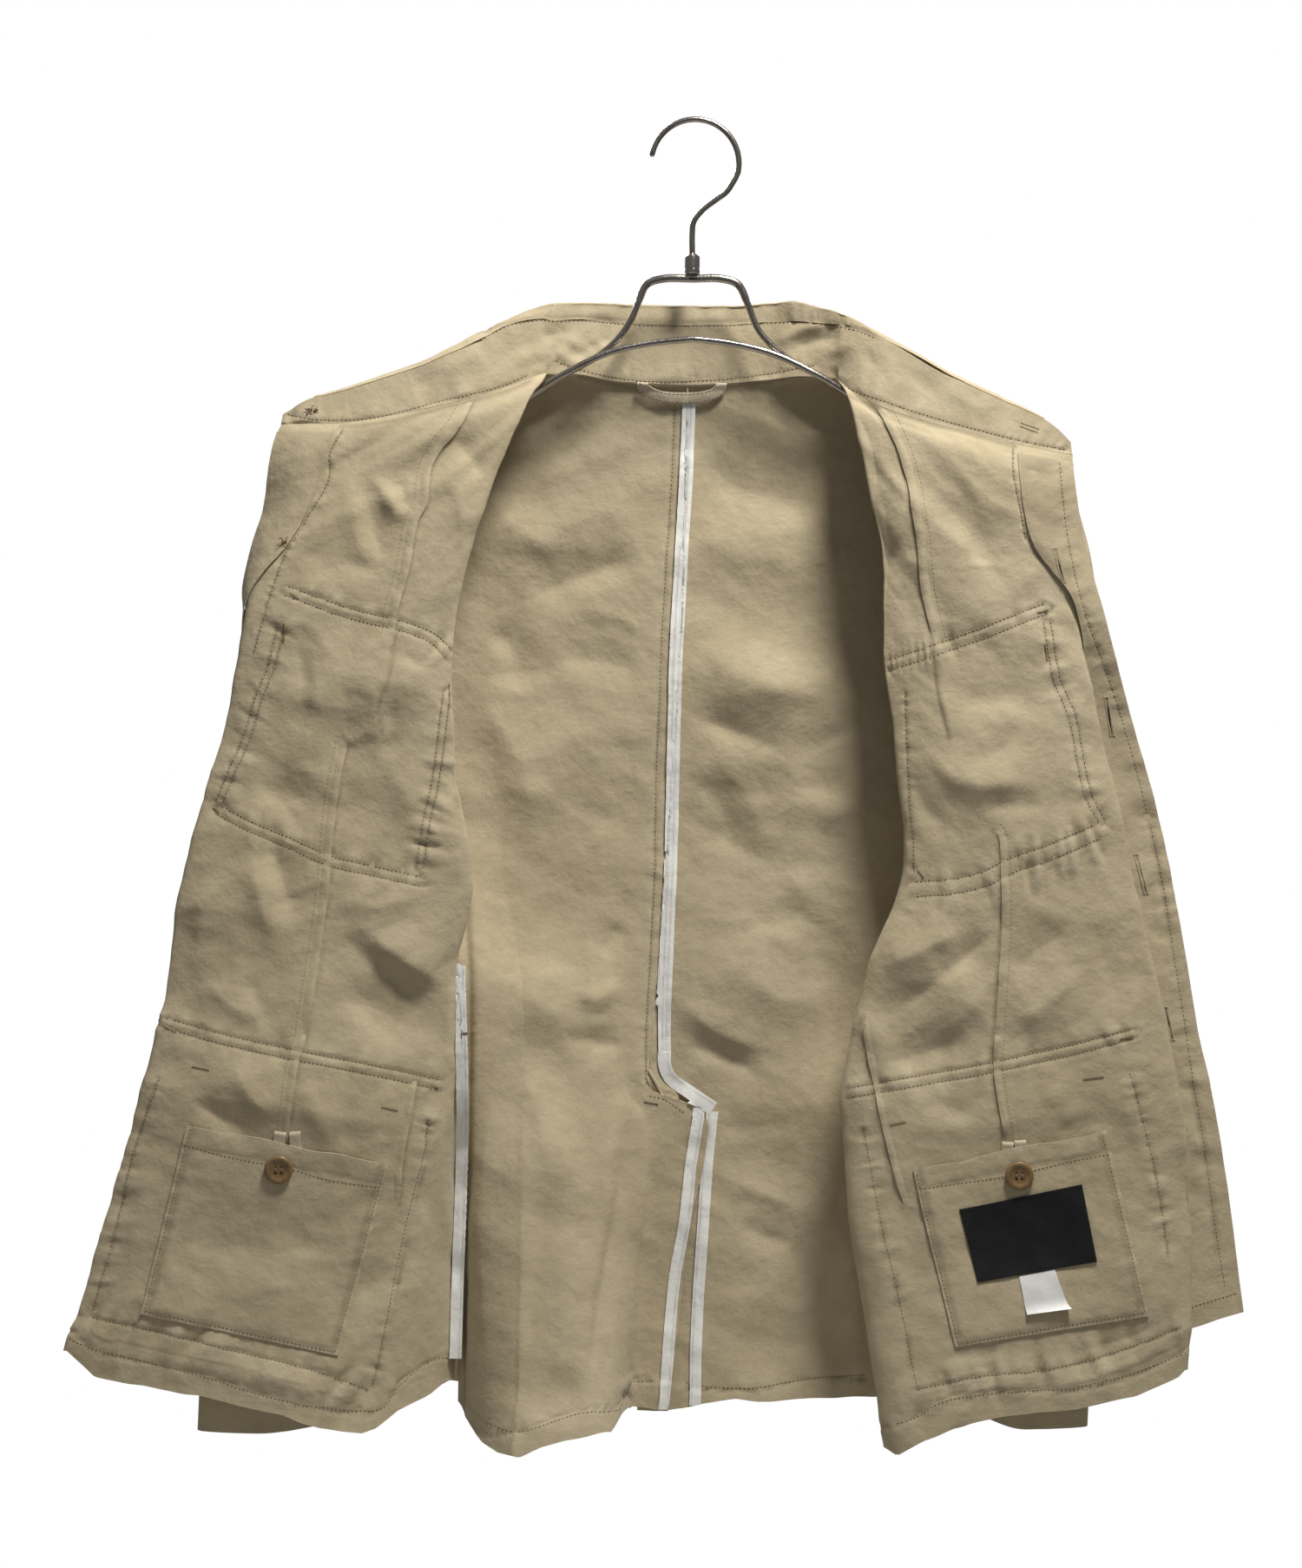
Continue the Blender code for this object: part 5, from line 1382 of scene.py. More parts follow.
RIGHT_CREASES = (
    (((1010, 1225), (1060, 1215), (1120, 1190)), 36, -3.4),
    (((1070, 1440), (1190, 1450), (1300, 1430)), 75, -2.6),
    (((1060, 500), (1110, 545), (1150, 620)), 30, 2.4),
    (((1085, 560), (1120, 620), (1170, 690)), 34, -3.0),
    (((1010, 1120), (1080, 1130), (1130, 1110)), 36, 2.4),
    (((1010, 1290), (1120, 1300), (1260, 1270)), 40, 1.8),
    (((1040, 760), (1120, 800), (1200, 790)), 40, -2.0),
    (((1000, 600), (1060, 690), (1120, 720)), 36, -1.8),
    (((985, 470), (1005, 520), (1010, 580)), 13, -3.0),
    (((968, 452), (982, 500), (992, 548)), 10, 2.2),
    (((1018, 640), (1035, 610), (1042, 570)), 12, 2.4),
    (((1012, 560), (1022, 600), (1022, 640)), 10, -1.8),
    (((1030, 690), (1045, 660), (1050, 630)), 16, 1.4),
    (((1085, 520), (1120, 590), (1150, 660)), 20, -1.4),
    (((1060, 640), (1075, 680), (1085, 720)), 12, -1.2),
    (((1225, 690), (1238, 712), (1262, 744)), 14, 1.6),
    (((1200, 770), (1170, 850), (1120, 880)), 26, -1.6),
    (((1065, 860), (1110, 900), (1200, 900)), 24, 2.8),
    (((1045, 870), (1065, 930), (1100, 960)), 18, -2.2),
    (((1130, 935), (1160, 925), (1210, 935)), 15, -2.0),
    (((1100, 800), (1140, 810), (1190, 800)), 16, -1.4),
    (((1216, 900), (1228, 940), (1226, 985)), 14, -1.4),
    (((1165, 960), (1180, 985), (1195, 990)), 9, 1.4),
    (((1012, 1120), (1050, 1100), (1120, 1068)), 22, 3.0),
    (((1020, 1170), (1080, 1130), (1150, 1068)), 22, -3.4),
    (((1060, 1205), (1110, 1170), (1144, 1130)), 20, 1.8),
    (((1165, 1190), (1200, 1160), (1250, 1115)), 22, 2.2),
    (((1160, 1130), (1190, 1100), (1240, 1060)), 22, -1.8),
    (((1250, 1050), (1270, 1100), (1290, 1170)), 18, -1.6),
    (((1010, 1180), (1018, 1230), (1030, 1262)), 12, 1.2),
    (((1060, 1262), (1100, 1280), (1135, 1284)), 14, -1.4),
    (((1200, 1250), (1225, 1280), (1240, 1300)), 14, 1.4),
    (((1290, 1240), (1302, 1290), (1325, 1350)), 12, 1.4),
    (((1340, 1300), (1335, 1370), (1345, 1440)), 12, 1.3),
    (((1043, 1395), (1050, 1450), (1066, 1510)), 14, -1.3),
    (((1000, 1330), (1010, 1420), (1022, 1520)), 16, 1.4),
    (((1022, 1540), (1034, 1600), (1044, 1650)), 14, 1.6),
    (((1070, 1570), (1120, 1560), (1180, 1556)), 9, -1.3),
    (((1080, 1620), (1140, 1600), (1200, 1592)), 9, 1.4),
    (((1230, 1560), (1290, 1545), (1340, 1520)), 9, -1.3),
    (((1240, 1585), (1290, 1572), (1350, 1545)), 8, 1.2),
)
RIGHT_TACKS = (
    ((1195, 706), (1207, 703)), ((1204, 742), (1206, 760)), ((1026, 1295), (1043, 1292)),
    ((1248, 1243), (1271, 1240)), ((972, 1264), (985, 1262)), ((1290, 1197), (1305, 1193)),
    ((1058, 1003), (1064, 1010)),
)
RIGHT_BUTTONHOLES = (
    ((1215, 632), (1225, 671)), ((1274, 803), (1281, 847)), ((1308, 984), (1320, 1029)),
    ((1342, 1160), (1350, 1198)),
)
STRIP_FOLD = ((1168, 540), (1186, 600), (1206, 650), (1232, 710), (1262, 770), (1290, 840),
              (1312, 920))
STRIP_EDGE_ROW = ((1220, 528), (1224, 571), (1230, 621), (1241, 675), (1252, 714), (1265, 747),
                  (1290, 820), (1320, 930), (1340, 1020), (1352, 1100), (1362, 1161), (1372, 1229),
                  (1387, 1320), (1399, 1406), (1411, 1483))
STRIP_FOOT_ROW = ((1359, 1509), (1392, 1499), (1425, 1489))
STRIP_CREASES = (
    (((1170, 540), (1210, 545), (1236, 540)), 10, -1.2),
    (((1195, 700), (1225, 690), (1255, 700)), 14, 1.0),
    (((1255, 740), (1270, 770), (1290, 790)), 12, -1.4),
    (((1290, 880), (1310, 870), (1330, 905)), 10, 1.2),
    (((1300, 930), (1320, 945), (1340, 950)), 9, -1.2),
    (((1320, 1060), (1340, 1080), (1355, 1085)), 9, -1.2),
    (((1330, 1110), (1350, 1130), (1365, 1140)), 9, 1.0),
    (((1340, 1220), (1360, 1250), (1380, 1260)), 9, -1.3),
    (((1350, 1280), (1370, 1310), (1395, 1330)), 9, 1.0),
    (((1358, 1370), (1380, 1380), (1405, 1400)), 9, -1.2),
)

# Creases of the back, which run on over its centre seam.
BACK_CREASES = (
    (((830, 1250), (900, 1275), (990, 1270)), 55, 2.6),
    (((830, 1540), (900, 1550), (990, 1540)), 75, -3.6),
    (((560, 1330), (620, 1350), (680, 1340)), 50, 2.0),
    (((560, 1590), (610, 1600), (680, 1590)), 50, -3.0),
    (((800, 790), (880, 800), (990, 770)), 40, 2.4),
    (((800, 900), (890, 915), (1000, 890)), 40, -3.0),
    (((560, 1000), (640, 1040), (730, 1060)), 60, -2.0),
    (((570, 1130), (640, 1170), (690, 1210)), 44, 3.0),
    (((585, 520), (650, 500), (740, 470)), 22, -1.8),
    (((600, 570), (655, 540), (760, 500)), 24, 1.6),
    (((566, 590), (610, 620), (650, 640)), 26, 2.4),
    (((600, 690), (665, 665), (740, 640)), 26, -3.4),
    (((560, 720), (590, 745), (600, 800)), 26, -2.6),
    (((540, 790), (590, 860), (620, 960)), 34, 2.8),
    (((640, 760), (690, 760), (740, 780)), 24, -2.0),
    (((640, 840), (700, 850), (760, 840)), 26, 1.2),
    (((620, 900), (680, 940), (750, 950)), 30, -1.4),
    (((700, 880), (720, 890), (752, 905)), 8, 0.7),
    (((640, 610), (665, 600), (700, 580)), 10, 0.8),
    (((690, 705), (715, 712), (740, 730)), 8, 0.9),
    (((800, 520), (850, 560), (960, 590)), 26, -2.4),
    (((805, 470), (860, 490), (950, 540)), 24, 1.6),
    (((790, 610), (850, 640), (960, 650)), 28, 1.6),
    (((800, 740), (850, 780), (930, 800)), 26, 2.4),
    (((790, 820), (850, 845), (920, 870)), 18, -3.6),
    (((920, 868), (960, 850), (1010, 830)), 14, -2.2),
    (((810, 860), (850, 900), (880, 960)), 22, 2.4),
    (((880, 900), (930, 930), (1000, 930)), 26, 2.0),
    (((790, 890), (830, 930), (850, 980)), 16, -1.6),
    (((800, 950), (850, 975), (900, 1005)), 14, -1.8),
    (((900, 1000), (930, 1030), (990, 1050)), 22, 1.4),
    (((800, 1080), (870, 1070), (950, 1040)), 24, -1.4),
    (((779, 1148), (828, 1189), (887, 1211)), 15, 3.2),
    (((788, 1198), (830, 1215), (880, 1240)), 14, -2.8),
    (((850, 1120), (900, 1150), (960, 1160)), 24, 1.6),
    (((842, 1360), (880, 1376), (920, 1392)), 13, 2.6),
    (((850, 1408), (880, 1424), (915, 1434)), 14, -2.6),
    (((820, 1290), (860, 1300), (920, 1290)), 20, -1.6),
    (((840, 1480), (880, 1500), (950, 1510)), 24, 1.4),
    (((900, 1400), (940, 1500), (960, 1600)), 26, -1.6),
    (((980, 1350), (985, 1450), (990, 1560)), 20, 1.6),
    (((662, 1140), (690, 1150), (715, 1130)), 13, 2.6),
    (((690, 1105), (704, 1080), (716, 1060)), 14, -2.6),
    (((640, 1190), (680, 1200), (722, 1205)), 16, -3.4),
    (((645, 1100), (625, 1140), (600, 1200)), 24, 2.4),
    (((655, 1165), (680, 1170), (705, 1165)), 9, -1.6),
    (((600, 1210), (620, 1290), (640, 1375)), 24, 2.6),
    (((632, 1380), (622, 1440), (606, 1580)), 15, -2.6),
    (((655, 1400), (650, 1500), (640, 1620)), 20, 2.0),
    (((737, 1258), (722, 1300), (711, 1382), (690, 1495), (680, 1622)), 9, -5.0),
    (((720, 1262), (700, 1330), (690, 1420), (668, 1560)), 16, 2.6),
    (((748, 1300), (738, 1380), (722, 1500), (712, 1600)), 16, 2.2),
    (((548, 1230), (544, 1350), (546, 1500)), 14, -3.0),
    (((566, 1260), (560, 1400), (565, 1600)), 18, 2.4),
    (((640, 1460), (655, 1480), (675, 1500)), 7, 1.0),
    (((745, 1330), (748, 1390), (742, 1440)), 10, -1.2),
)
SIDE_FOLD = ((538, 1650), (540, 1560), (543, 1450), (545, 1300), (545, 1180), (541, 1080), (530, 960))
BACK_SEAMS = (
    ("hem_left", ((539, 1611), (561, 1635), (594, 1649), (622, 1643), (671, 1627), (712, 1623),
                  (722, 1594), (753, 1590)), (0,), 0.4, 12),
    ("hem_right", ((790, 1592), (810, 1596), (867, 1598), (933, 1588), (998, 1584)), (0,), 0.35, 12),
    ("centre", ((777, 466), (773, 573), (766, 675), (756, 900), (754, 1007), (749, 1103), (744, 1195),
                (744, 1250)), (0,), 0.22, 10),
)

COLLAR_ROWS = {
    "seam_left": ((607, 432), (582, 443), (546, 453), (505, 463), (464, 474), (426, 482), (400, 484),
                  (359, 483), (330, 477)),
    "seam_back": ((640, 415), (669, 426), (728, 438), (791, 439), (855, 435), (904, 427), (940, 420)),
    "seam_right": ((973, 445), (1010, 459), (1065, 478), (1130, 496), (1182, 509), (1228, 518)),
    "top": ((552, 386), (579, 374), (605, 367), (649, 364), (719, 369), (740, 372), (870, 369),
            (935, 369), (984, 377), (1010, 387)),
}
COLLAR_CREASES = (
    (((650, 385), (668, 400), (690, 405)), 8, 2.6),
    (((660, 412), (685, 398), (706, 386)), 8, -2.8),
    (((640, 400), (655, 415), (676, 422)), 8, 2.2),
    (((676, 388), (690, 396), (700, 412)), 6, 2.4),
    (((620, 392), (640, 384), (660, 380)), 10, -1.8),
    (((590, 420), (615, 408), (640, 408)), 12, 1.8),
    (((560, 430), (590, 405), (630, 392)), 14, -1.6),
    (((500, 430), (530, 420), (560, 400)), 12, 1.2),
    (((470, 445), (490, 440), (510, 425)), 10, -1.2),
    (((896, 397), (925, 380), (955, 376)), 7, 2.6),
    (((905, 408), (935, 392), (970, 390)), 11, -2.6),
    (((940, 410), (980, 400), (1010, 400)), 14, 1.8),
    (((985, 390), (1000, 410), (1015, 430)), 9, -1.6),
    (((1040, 430), (1065, 445), (1090, 465)), 12, -1.3),
    (((1080, 440), (1110, 460), (1140, 480)), 14, 1.3),
)


def ramp(values, start, end):
    """0 at the start value, 1 at the end value, smooth between."""
    share = np.clip((values - start) / (end - start), 0.0, 1.0)
    return eased(share)


# In picture points: how far the lower pocket's second waves lie below its foot, and the height
# from which a front's creases may run on past its hinge.
BELOW_FOOT = 20
BELOW_HINGE = 1230


def relief_front(fine, seams, tucks, creases, seed):
    """The reliefs of one front's open part, all placed in the picture."""
    ripple(fine, (
        (0.085, 1.5 * MM, seed, 0.5, 1.8),
        (0.034, 0.75 * MM, seed + 1, -0.4, 1.7),
        (0.013, 0.26 * MM, seed + 2, 0.9, 1.6),
        (0.0062, 0.09 * MM, seed + 3, 0.2, 1.3),
    ))
    crumples(fine, ((1.0, 0.055, seed + 4, 0.6, 1.5), (0.42, 0.022, seed + 5, -0.5, 1.4)))
    for points, width, height in creases:
        span = OPEN_FRONT if points[-1][1] > BELOW_HINGE else FACING
        crease(fine, points, width, height * MM, span, skew=0.25)
    for points, height, fade in tucks:
        tuck(fine, points, height * MM, 1.5, fade, FACING)
        # Painted shade along the foot of each tuck's folded edge.
        darken(fine, shifted(np.array(points, dtype=float), -1.6), 2.4, FACING)
    for number, (name, points, offsets, height, reach) in enumerate(seams):
        mask = OPEN_FRONT if name == "hem" else FACING
        pucker(fine, points, offsets, height * MM, reach, seed + 10 + number, mask)
        if name == "hem":
            band(fine, points, mask)
        if name == "lower_foot":
            pucker(fine, [(x, y + BELOW_FOOT) for x, y in points], (0,), 0.5 * MM, 16,
                   seed + 40, mask, size=17.0, groove=0.0)
    # Painted shadow under the collar's foot, along the neck.
    darken(fine, NECK_LINE, 3.0, FACING)
    darken(fine, NECK_LINE_RIGHT, 3.0, FACING)
    edge = ramp(fine.columns, 0.0, 1.2)[None, :] * ramp(fine.rows, 0.0, 1.0)[:, None]
    fine.height *= edge
    # The turned-under strip stays flat enough to clear the cloth that it lies behind.
    fine.height *= (1.0 - 0.55 * ramp(fine.columns, 12.0, 12.6))[None, :]


def make_surfaces():
    """Every whole cloth as a fine surface."""
    cloths = make_cloths()
    fine = {}
    for name in ("left", "right"):
        fine["front_" + name] = Fine(cloths["front_" + name], FRONT_ROW_COUNTS, FRONT_COLUMN_COUNTS)
        fine["back_" + name] = Fine(cloths["back_" + name], BACK_ROW_COUNTS, BACK_COLUMN_COUNTS)
        sleeve = cloths["sleeve_" + name]
        rows, columns = sleeve.mid.shape[:2]
        fine["sleeve_" + name] = Fine(sleeve, (8,) * (rows - 1), (5,) * columns)
        fine["cuff_" + name] = Fine(cloths["cuff_" + name], (10, 10), (6,) * columns)
    stand = cloths["collar_stand"]
    fine["collar_stand"] = Fine(stand, (10, 10), (10,) * (stand.mid.shape[1] - 1))
    leaf = cloths["collar_leaf"]
    fine["collar_leaf"] = Fine(leaf, (4,) * 7, (10,) * (leaf.mid.shape[1] - 1))
    return fine


def relief_backs(fine):
    """The reliefs of both back halves, in one plane, so that they run on over the centre seam."""
    for name in ("left", "right"):
        cloth = fine["back_" + name]
        plane = upright_plane(cloth)
        ripple(cloth, (
            (0.10, 1.6 * MM, 301, 0.45, 1.6), (0.04, 0.8 * MM, 302, -0.5, 2.0),
            (0.015, 0.28 * MM, 303, -0.6, 1.8), (0.0065, 0.09 * MM, 304, 0.3, 1.4),
        ), plane)
        crumples(cloth, ((0.9, 0.06, 311, 0.5, 1.8), (0.4, 0.024, 312, -0.5, 1.6)), plane)
        for points, width, height in BACK_CREASES:
            crease(cloth, points, width, height * MM, ALL_BACK, skew=0.2)
        tuck(cloth, SIDE_FOLD, 3.4 * MM, 2.0, 46, ALL_BACK)
        # Painted shade along the foot of the side fold.
        darken(cloth, shifted(np.array(SIDE_FOLD, dtype=float), -2.0), 2.6, ALL_BACK)
        for number, (seam, points, offsets, height, reach) in enumerate(BACK_SEAMS):
            pucker(cloth, points, offsets, height * MM, reach, 350 + number, ALL_BACK)
            if seam.startswith("hem"):
                band(cloth, points, ALL_BACK)
        # Painted shadow under the collar's foot, along the neck.
        darken(cloth, NECK_LINE_BACK, 3.0, ALL_BACK)
        hold = ramp(cloth.rows, 0.0, 0.8)[:, None] * ramp(10.0 - cloth.columns, 0.0, 0.8)[None, :]
        cloth.height *= hold


SLEEVE_COLUMNS = 24.0


def relief_sleeves(fine):
    """Plain soft folds on the sleeves, which hang behind, and waves along their seams."""
    for name, seed in (("left", 401), ("right", 421)):
        sleeve = fine["sleeve_" + name]
        rows = sleeve.rows[:, None]
        turn = sleeve.columns[None, :] / SLEEVE_COLUMNS * 2.0 * math.pi
        ripple(sleeve, ((0.09, 2.8 * MM, seed, 0.6, 2.0), (0.035, 1.5 * MM, seed + 1, -0.5, 1.8),
                        (0.012, 0.3 * MM, seed + 2, 0.4, 1.5)))
        # Drag lines that wind round the elbow and the forearm.
        for centre, lean, height, wide, side in (
            (6.2, 0.9, 2.6, 0.55, 1), (7.3, -0.8, -2.4, 0.5, 1), (8.4, 0.7, 2.2, 0.6, 1),
            (9.8, -0.5, -1.8, 0.6, 1), (4.6, -0.9, 2.0, 0.7, -1), (5.6, 0.8, -2.0, 0.6, -1),
            (11.2, 0.5, 1.6, 0.5, -1),
        ):
            line = centre + lean * np.cos(turn)
            local = 0.5 + 0.5 * side * np.sin(turn)
            sleeve.height += height * MM * np.exp(-((rows - line) / wide) ** 2) * local
        fade = ramp(sleeve.rows, 0.0, 1.2) * ramp(13.0 - sleeve.rows, 0.0, 0.6)
        # The seam where the ring starts and ends has to meet itself.
        close = ramp(sleeve.columns, 0.0, 1.0) * ramp(SLEEVE_COLUMNS - sleeve.columns, 0.0, 1.0)
        sleeve.height *= fade[:, None] * close[None, :]
        cuff = fine["cuff_" + name]
        ring = cuff.columns[None, :] / SLEEVE_COLUMNS
        wave = noise_line(np.broadcast_to(ring, cuff.height.shape).ravel() * 60.0, 1.0, seed + 5)
        cuff.height += 0.35 * MM * wave.reshape(cuff.height.shape)
        close = ramp(cuff.columns, 0.0, 1.0)[None, :]
        cuff.height *= close * ramp(SLEEVE_COLUMNS - cuff.columns, 0.0, 1.0)


def ease_turns(cloth, turns, reach, spread=9.0, held=True):
    """Rounds off the collar's turns at the hinge folds; where held, its first row stays put.

    Reach is in coarse columns, spread in fine ones.
    """
    farthest = int(spread * 2.7)
    steps = np.arange(-farthest, farthest + 1)
    weights = np.exp(-(steps / spread) ** 2)
    weights /= weights.sum()
    count = len(cloth.columns)
    smooth = np.zeros_like(cloth.mid)
    for step, weight in zip(steps, weights):
        smooth += weight * cloth.mid[:, np.clip(np.arange(count) + step, 0, count - 1)]
    near = np.zeros(count)
    for turn in turns:
        near = np.maximum(near, 1.0 - ramp(np.abs(cloth.columns - turn), reach * 0.6, reach))
    share = near[None, :] * (ramp(cloth.rows, 0.05, 0.5)[:, None] if held else 1.0)
    cloth.mid = cloth.mid + (smooth - cloth.mid) * share[..., None]
    cloth.picture = seen(cloth.mid)


# The collar's columns at the two hinge folds, and one seed, so that stand and fall crease as one.
LEFT_TURN, RIGHT_TURN = 11.5, 24.5
COLLAR_SEED = 501


def relief_collar(fine):
    """The collar's turns, soft waves, creases and puckered stitch lines."""
    stand, leaf = fine["collar_stand"], fine["collar_leaf"]
    ease_turns(stand, (LEFT_TURN, RIGHT_TURN), 2.6)
    ease_turns(leaf, (LEFT_TURN,), 2.6)
    ease_turns(leaf, (RIGHT_TURN,), 4.0, spread=20.0, held=False)
    for cloth in (stand, leaf):
        plane = upright_plane(cloth)
        cloth.height += 0.9 * MM * noise_sheet(plane, 0.03, COLLAR_SEED, 0.3, 1.6)
        cloth.height += 0.4 * MM * noise_sheet(plane, 0.011, COLLAR_SEED + 1, 1.3, 1.8)
        crumples(cloth, ((0.6, 0.03, COLLAR_SEED + 2, 1.1, 1.5),), plane)
        last = cloth.columns[-1]
        for points, width, height in COLLAR_CREASES:
            crease(cloth, points, width, height * MM, (0.0, last), skew=0.2)
        for number, name in enumerate(("seam_left", "seam_back", "seam_right", "top")):
            strong = 0.5 if name == "top" else 0.4
            pucker(cloth, COLLAR_ROWS[name], (0,), strong * MM, 18, 520 + number, (0.0, last),
                   size=10.0, groove=0.25 * MM)
    stand.height *= ramp(stand.rows, 0.0, 0.25)[:, None]


HEM_LINES = {
    "front_left": ((77, 1555), (109, 1585), (155, 1595), (229, 1608), (323, 1630), (368, 1645),
                   (417, 1651), (432, 1645), (459, 1623), (493, 1608), (515, 1589), (536, 1591)),
    "front_right": ((1004, 1640), (1011, 1662), (1034, 1676), (1064, 1660), (1098, 1645), (1166, 1630),
                    (1241, 1623), (1309, 1608), (1335, 1597), (1358, 1585), (1365, 1578)),
    "back_left": ((520, 1624), (537, 1638), (553, 1660), (573, 1672), (598, 1678), (622, 1668),
                  (671, 1655), (704, 1649), (716, 1627), (729, 1619), (745, 1621), (765, 1625)),
    "back_right": ((765, 1625), (794, 1621), (810, 1617), (847, 1611), (888, 1615), (933, 1611),
                   (998, 1609)),
}
NECK_LINE = ((326, 484), (359, 490), (400, 492), (426, 491), (464, 483), (505, 472), (546, 461),
             (582, 452), (611, 440))
NECK_LINE_BACK = ((669, 433), (728, 446), (791, 447), (855, 443), (904, 434))
NECK_LINE_RIGHT = ((973, 455), (1010, 468), (1065, 486), (1130, 504), (1182, 517), (1233, 526))


def shape_cuffs(fine):
    """Each cuff's mouth is pulled up on the side that the hem hides."""
    for name, low, high in (("left", 300.0, 400.0), ("right", 1178.0, 1128.0)):
        cuff = fine["cuff_" + name]
        share = np.clip((cuff.picture[..., 0] - low) / (high - low), 0.0, 1.6)
        cuff.mid[..., 2] += 11.0 * MM * share ** 1.5
        cuff.picture = seen(cuff.mid)


def settle_all(fine):
    for name, cloth in fine.items():
        cloth.settle()
        if name in HEM_LINES:
            level_hem(cloth, HEM_LINES[name], OPEN_FRONT)
    shape_cuffs(fine)
    # Hems and free edges are a little uneven.
    for name, seed in (("front_left", 71), ("front_right", 72), ("back_left", 73),
                       ("back_right", 74)):
        cloth = fine[name]
        wave = noise_line(cloth.flat[-1, :, 0] / MM, 14.0, seed)
        fade = ramp(cloth.rows, 25.2, 26.0)[:, None]
        cloth.mid[..., 2] += 0.7 * MM * fade * wave[None, :]


def node_finish(name, colour, roughness, metallic=0.0):
    """A new material with its nodes, links and shader."""
    made = bpy.data.materials.new(name)
    made.use_nodes = True
    nodes = made.node_tree.nodes
    shader = nodes["Principled BSDF"]
    shader.inputs["Base Color"].default_value = (*colour, 1.0)
    shader.inputs["Roughness"].default_value = roughness
    shader.inputs["Metallic"].default_value = metallic
    return made, nodes, made.node_tree.links, shader


def set_node(nodes, kind, values):
    """A new node of a kind with values set on its named inputs."""
    node = nodes.new("ShaderNode" + kind)
    for name, value in values.items():
        node.inputs[name].default_value = value
    return node


def mapped(nodes, links, source, values):
    mapping = set_node(nodes, "Mapping", values)
    links.new(source, mapping.inputs["Vector"])
    return mapping.outputs["Vector"]


def noise_node(nodes, links, source, scale, detail, roughness, stretch=None):
    """Noise over a place; stretch scales the place's axes first."""
    texture = set_node(nodes, "TexNoise", {"Scale": scale, "Detail": detail, "Roughness": roughness})
    if stretch is not None:
        source = mapped(nodes, links, source, {"Scale": stretch})
    links.new(source, texture.inputs["Vector"])
    return texture.outputs["Fac"]


def attribute_node(nodes, name):
    node = nodes.new("ShaderNodeAttribute")
    node.attribute_name = name
    return node.outputs["Fac"]


def bump_node(nodes, links, height, strength, distance, below=None):
    """A bump from a height, on top of the normal of the bump below it."""
    node = set_node(nodes, "Bump", {"Strength": strength, "Distance": distance})
    links.new(height, node.inputs["Height"])
    if below is not None:
        links.new(below, node.inputs["Normal"])
    return node.outputs["Normal"]


def ranged(nodes, links, value, low, high, new_low, new_high):
    """A value taken from one range to another."""
    node = set_node(nodes, "MapRange", {"From Min": low, "From Max": high, "To Min": new_low,
                                        "To Max": new_high})
    links.new(value, node.inputs["Value"])
    return node.outputs["Result"]


def mixed(nodes, links, share, first, second):
    """A mix of two colours, each a tuple or a socket, by a share that is a socket."""
    node = nodes.new("ShaderNodeMix")
    node.data_type = "RGBA"
    for socket, value in ((node.inputs[6], first), (node.inputs[7], second)):
        if isinstance(value, tuple):
            socket.default_value = (*value, 1.0)
        else:
            links.new(value, socket)
    links.new(share, node.inputs[0])
    return node.outputs[2]


def product(nodes, links, first, second):
    node = nodes.new("ShaderNodeMath")
    node.operation = "MULTIPLY"
    links.new(first, node.inputs[0])
    links.new(second, node.inputs[1])
    return node.outputs[0]


WALE_TURN = math.radians(58.0)


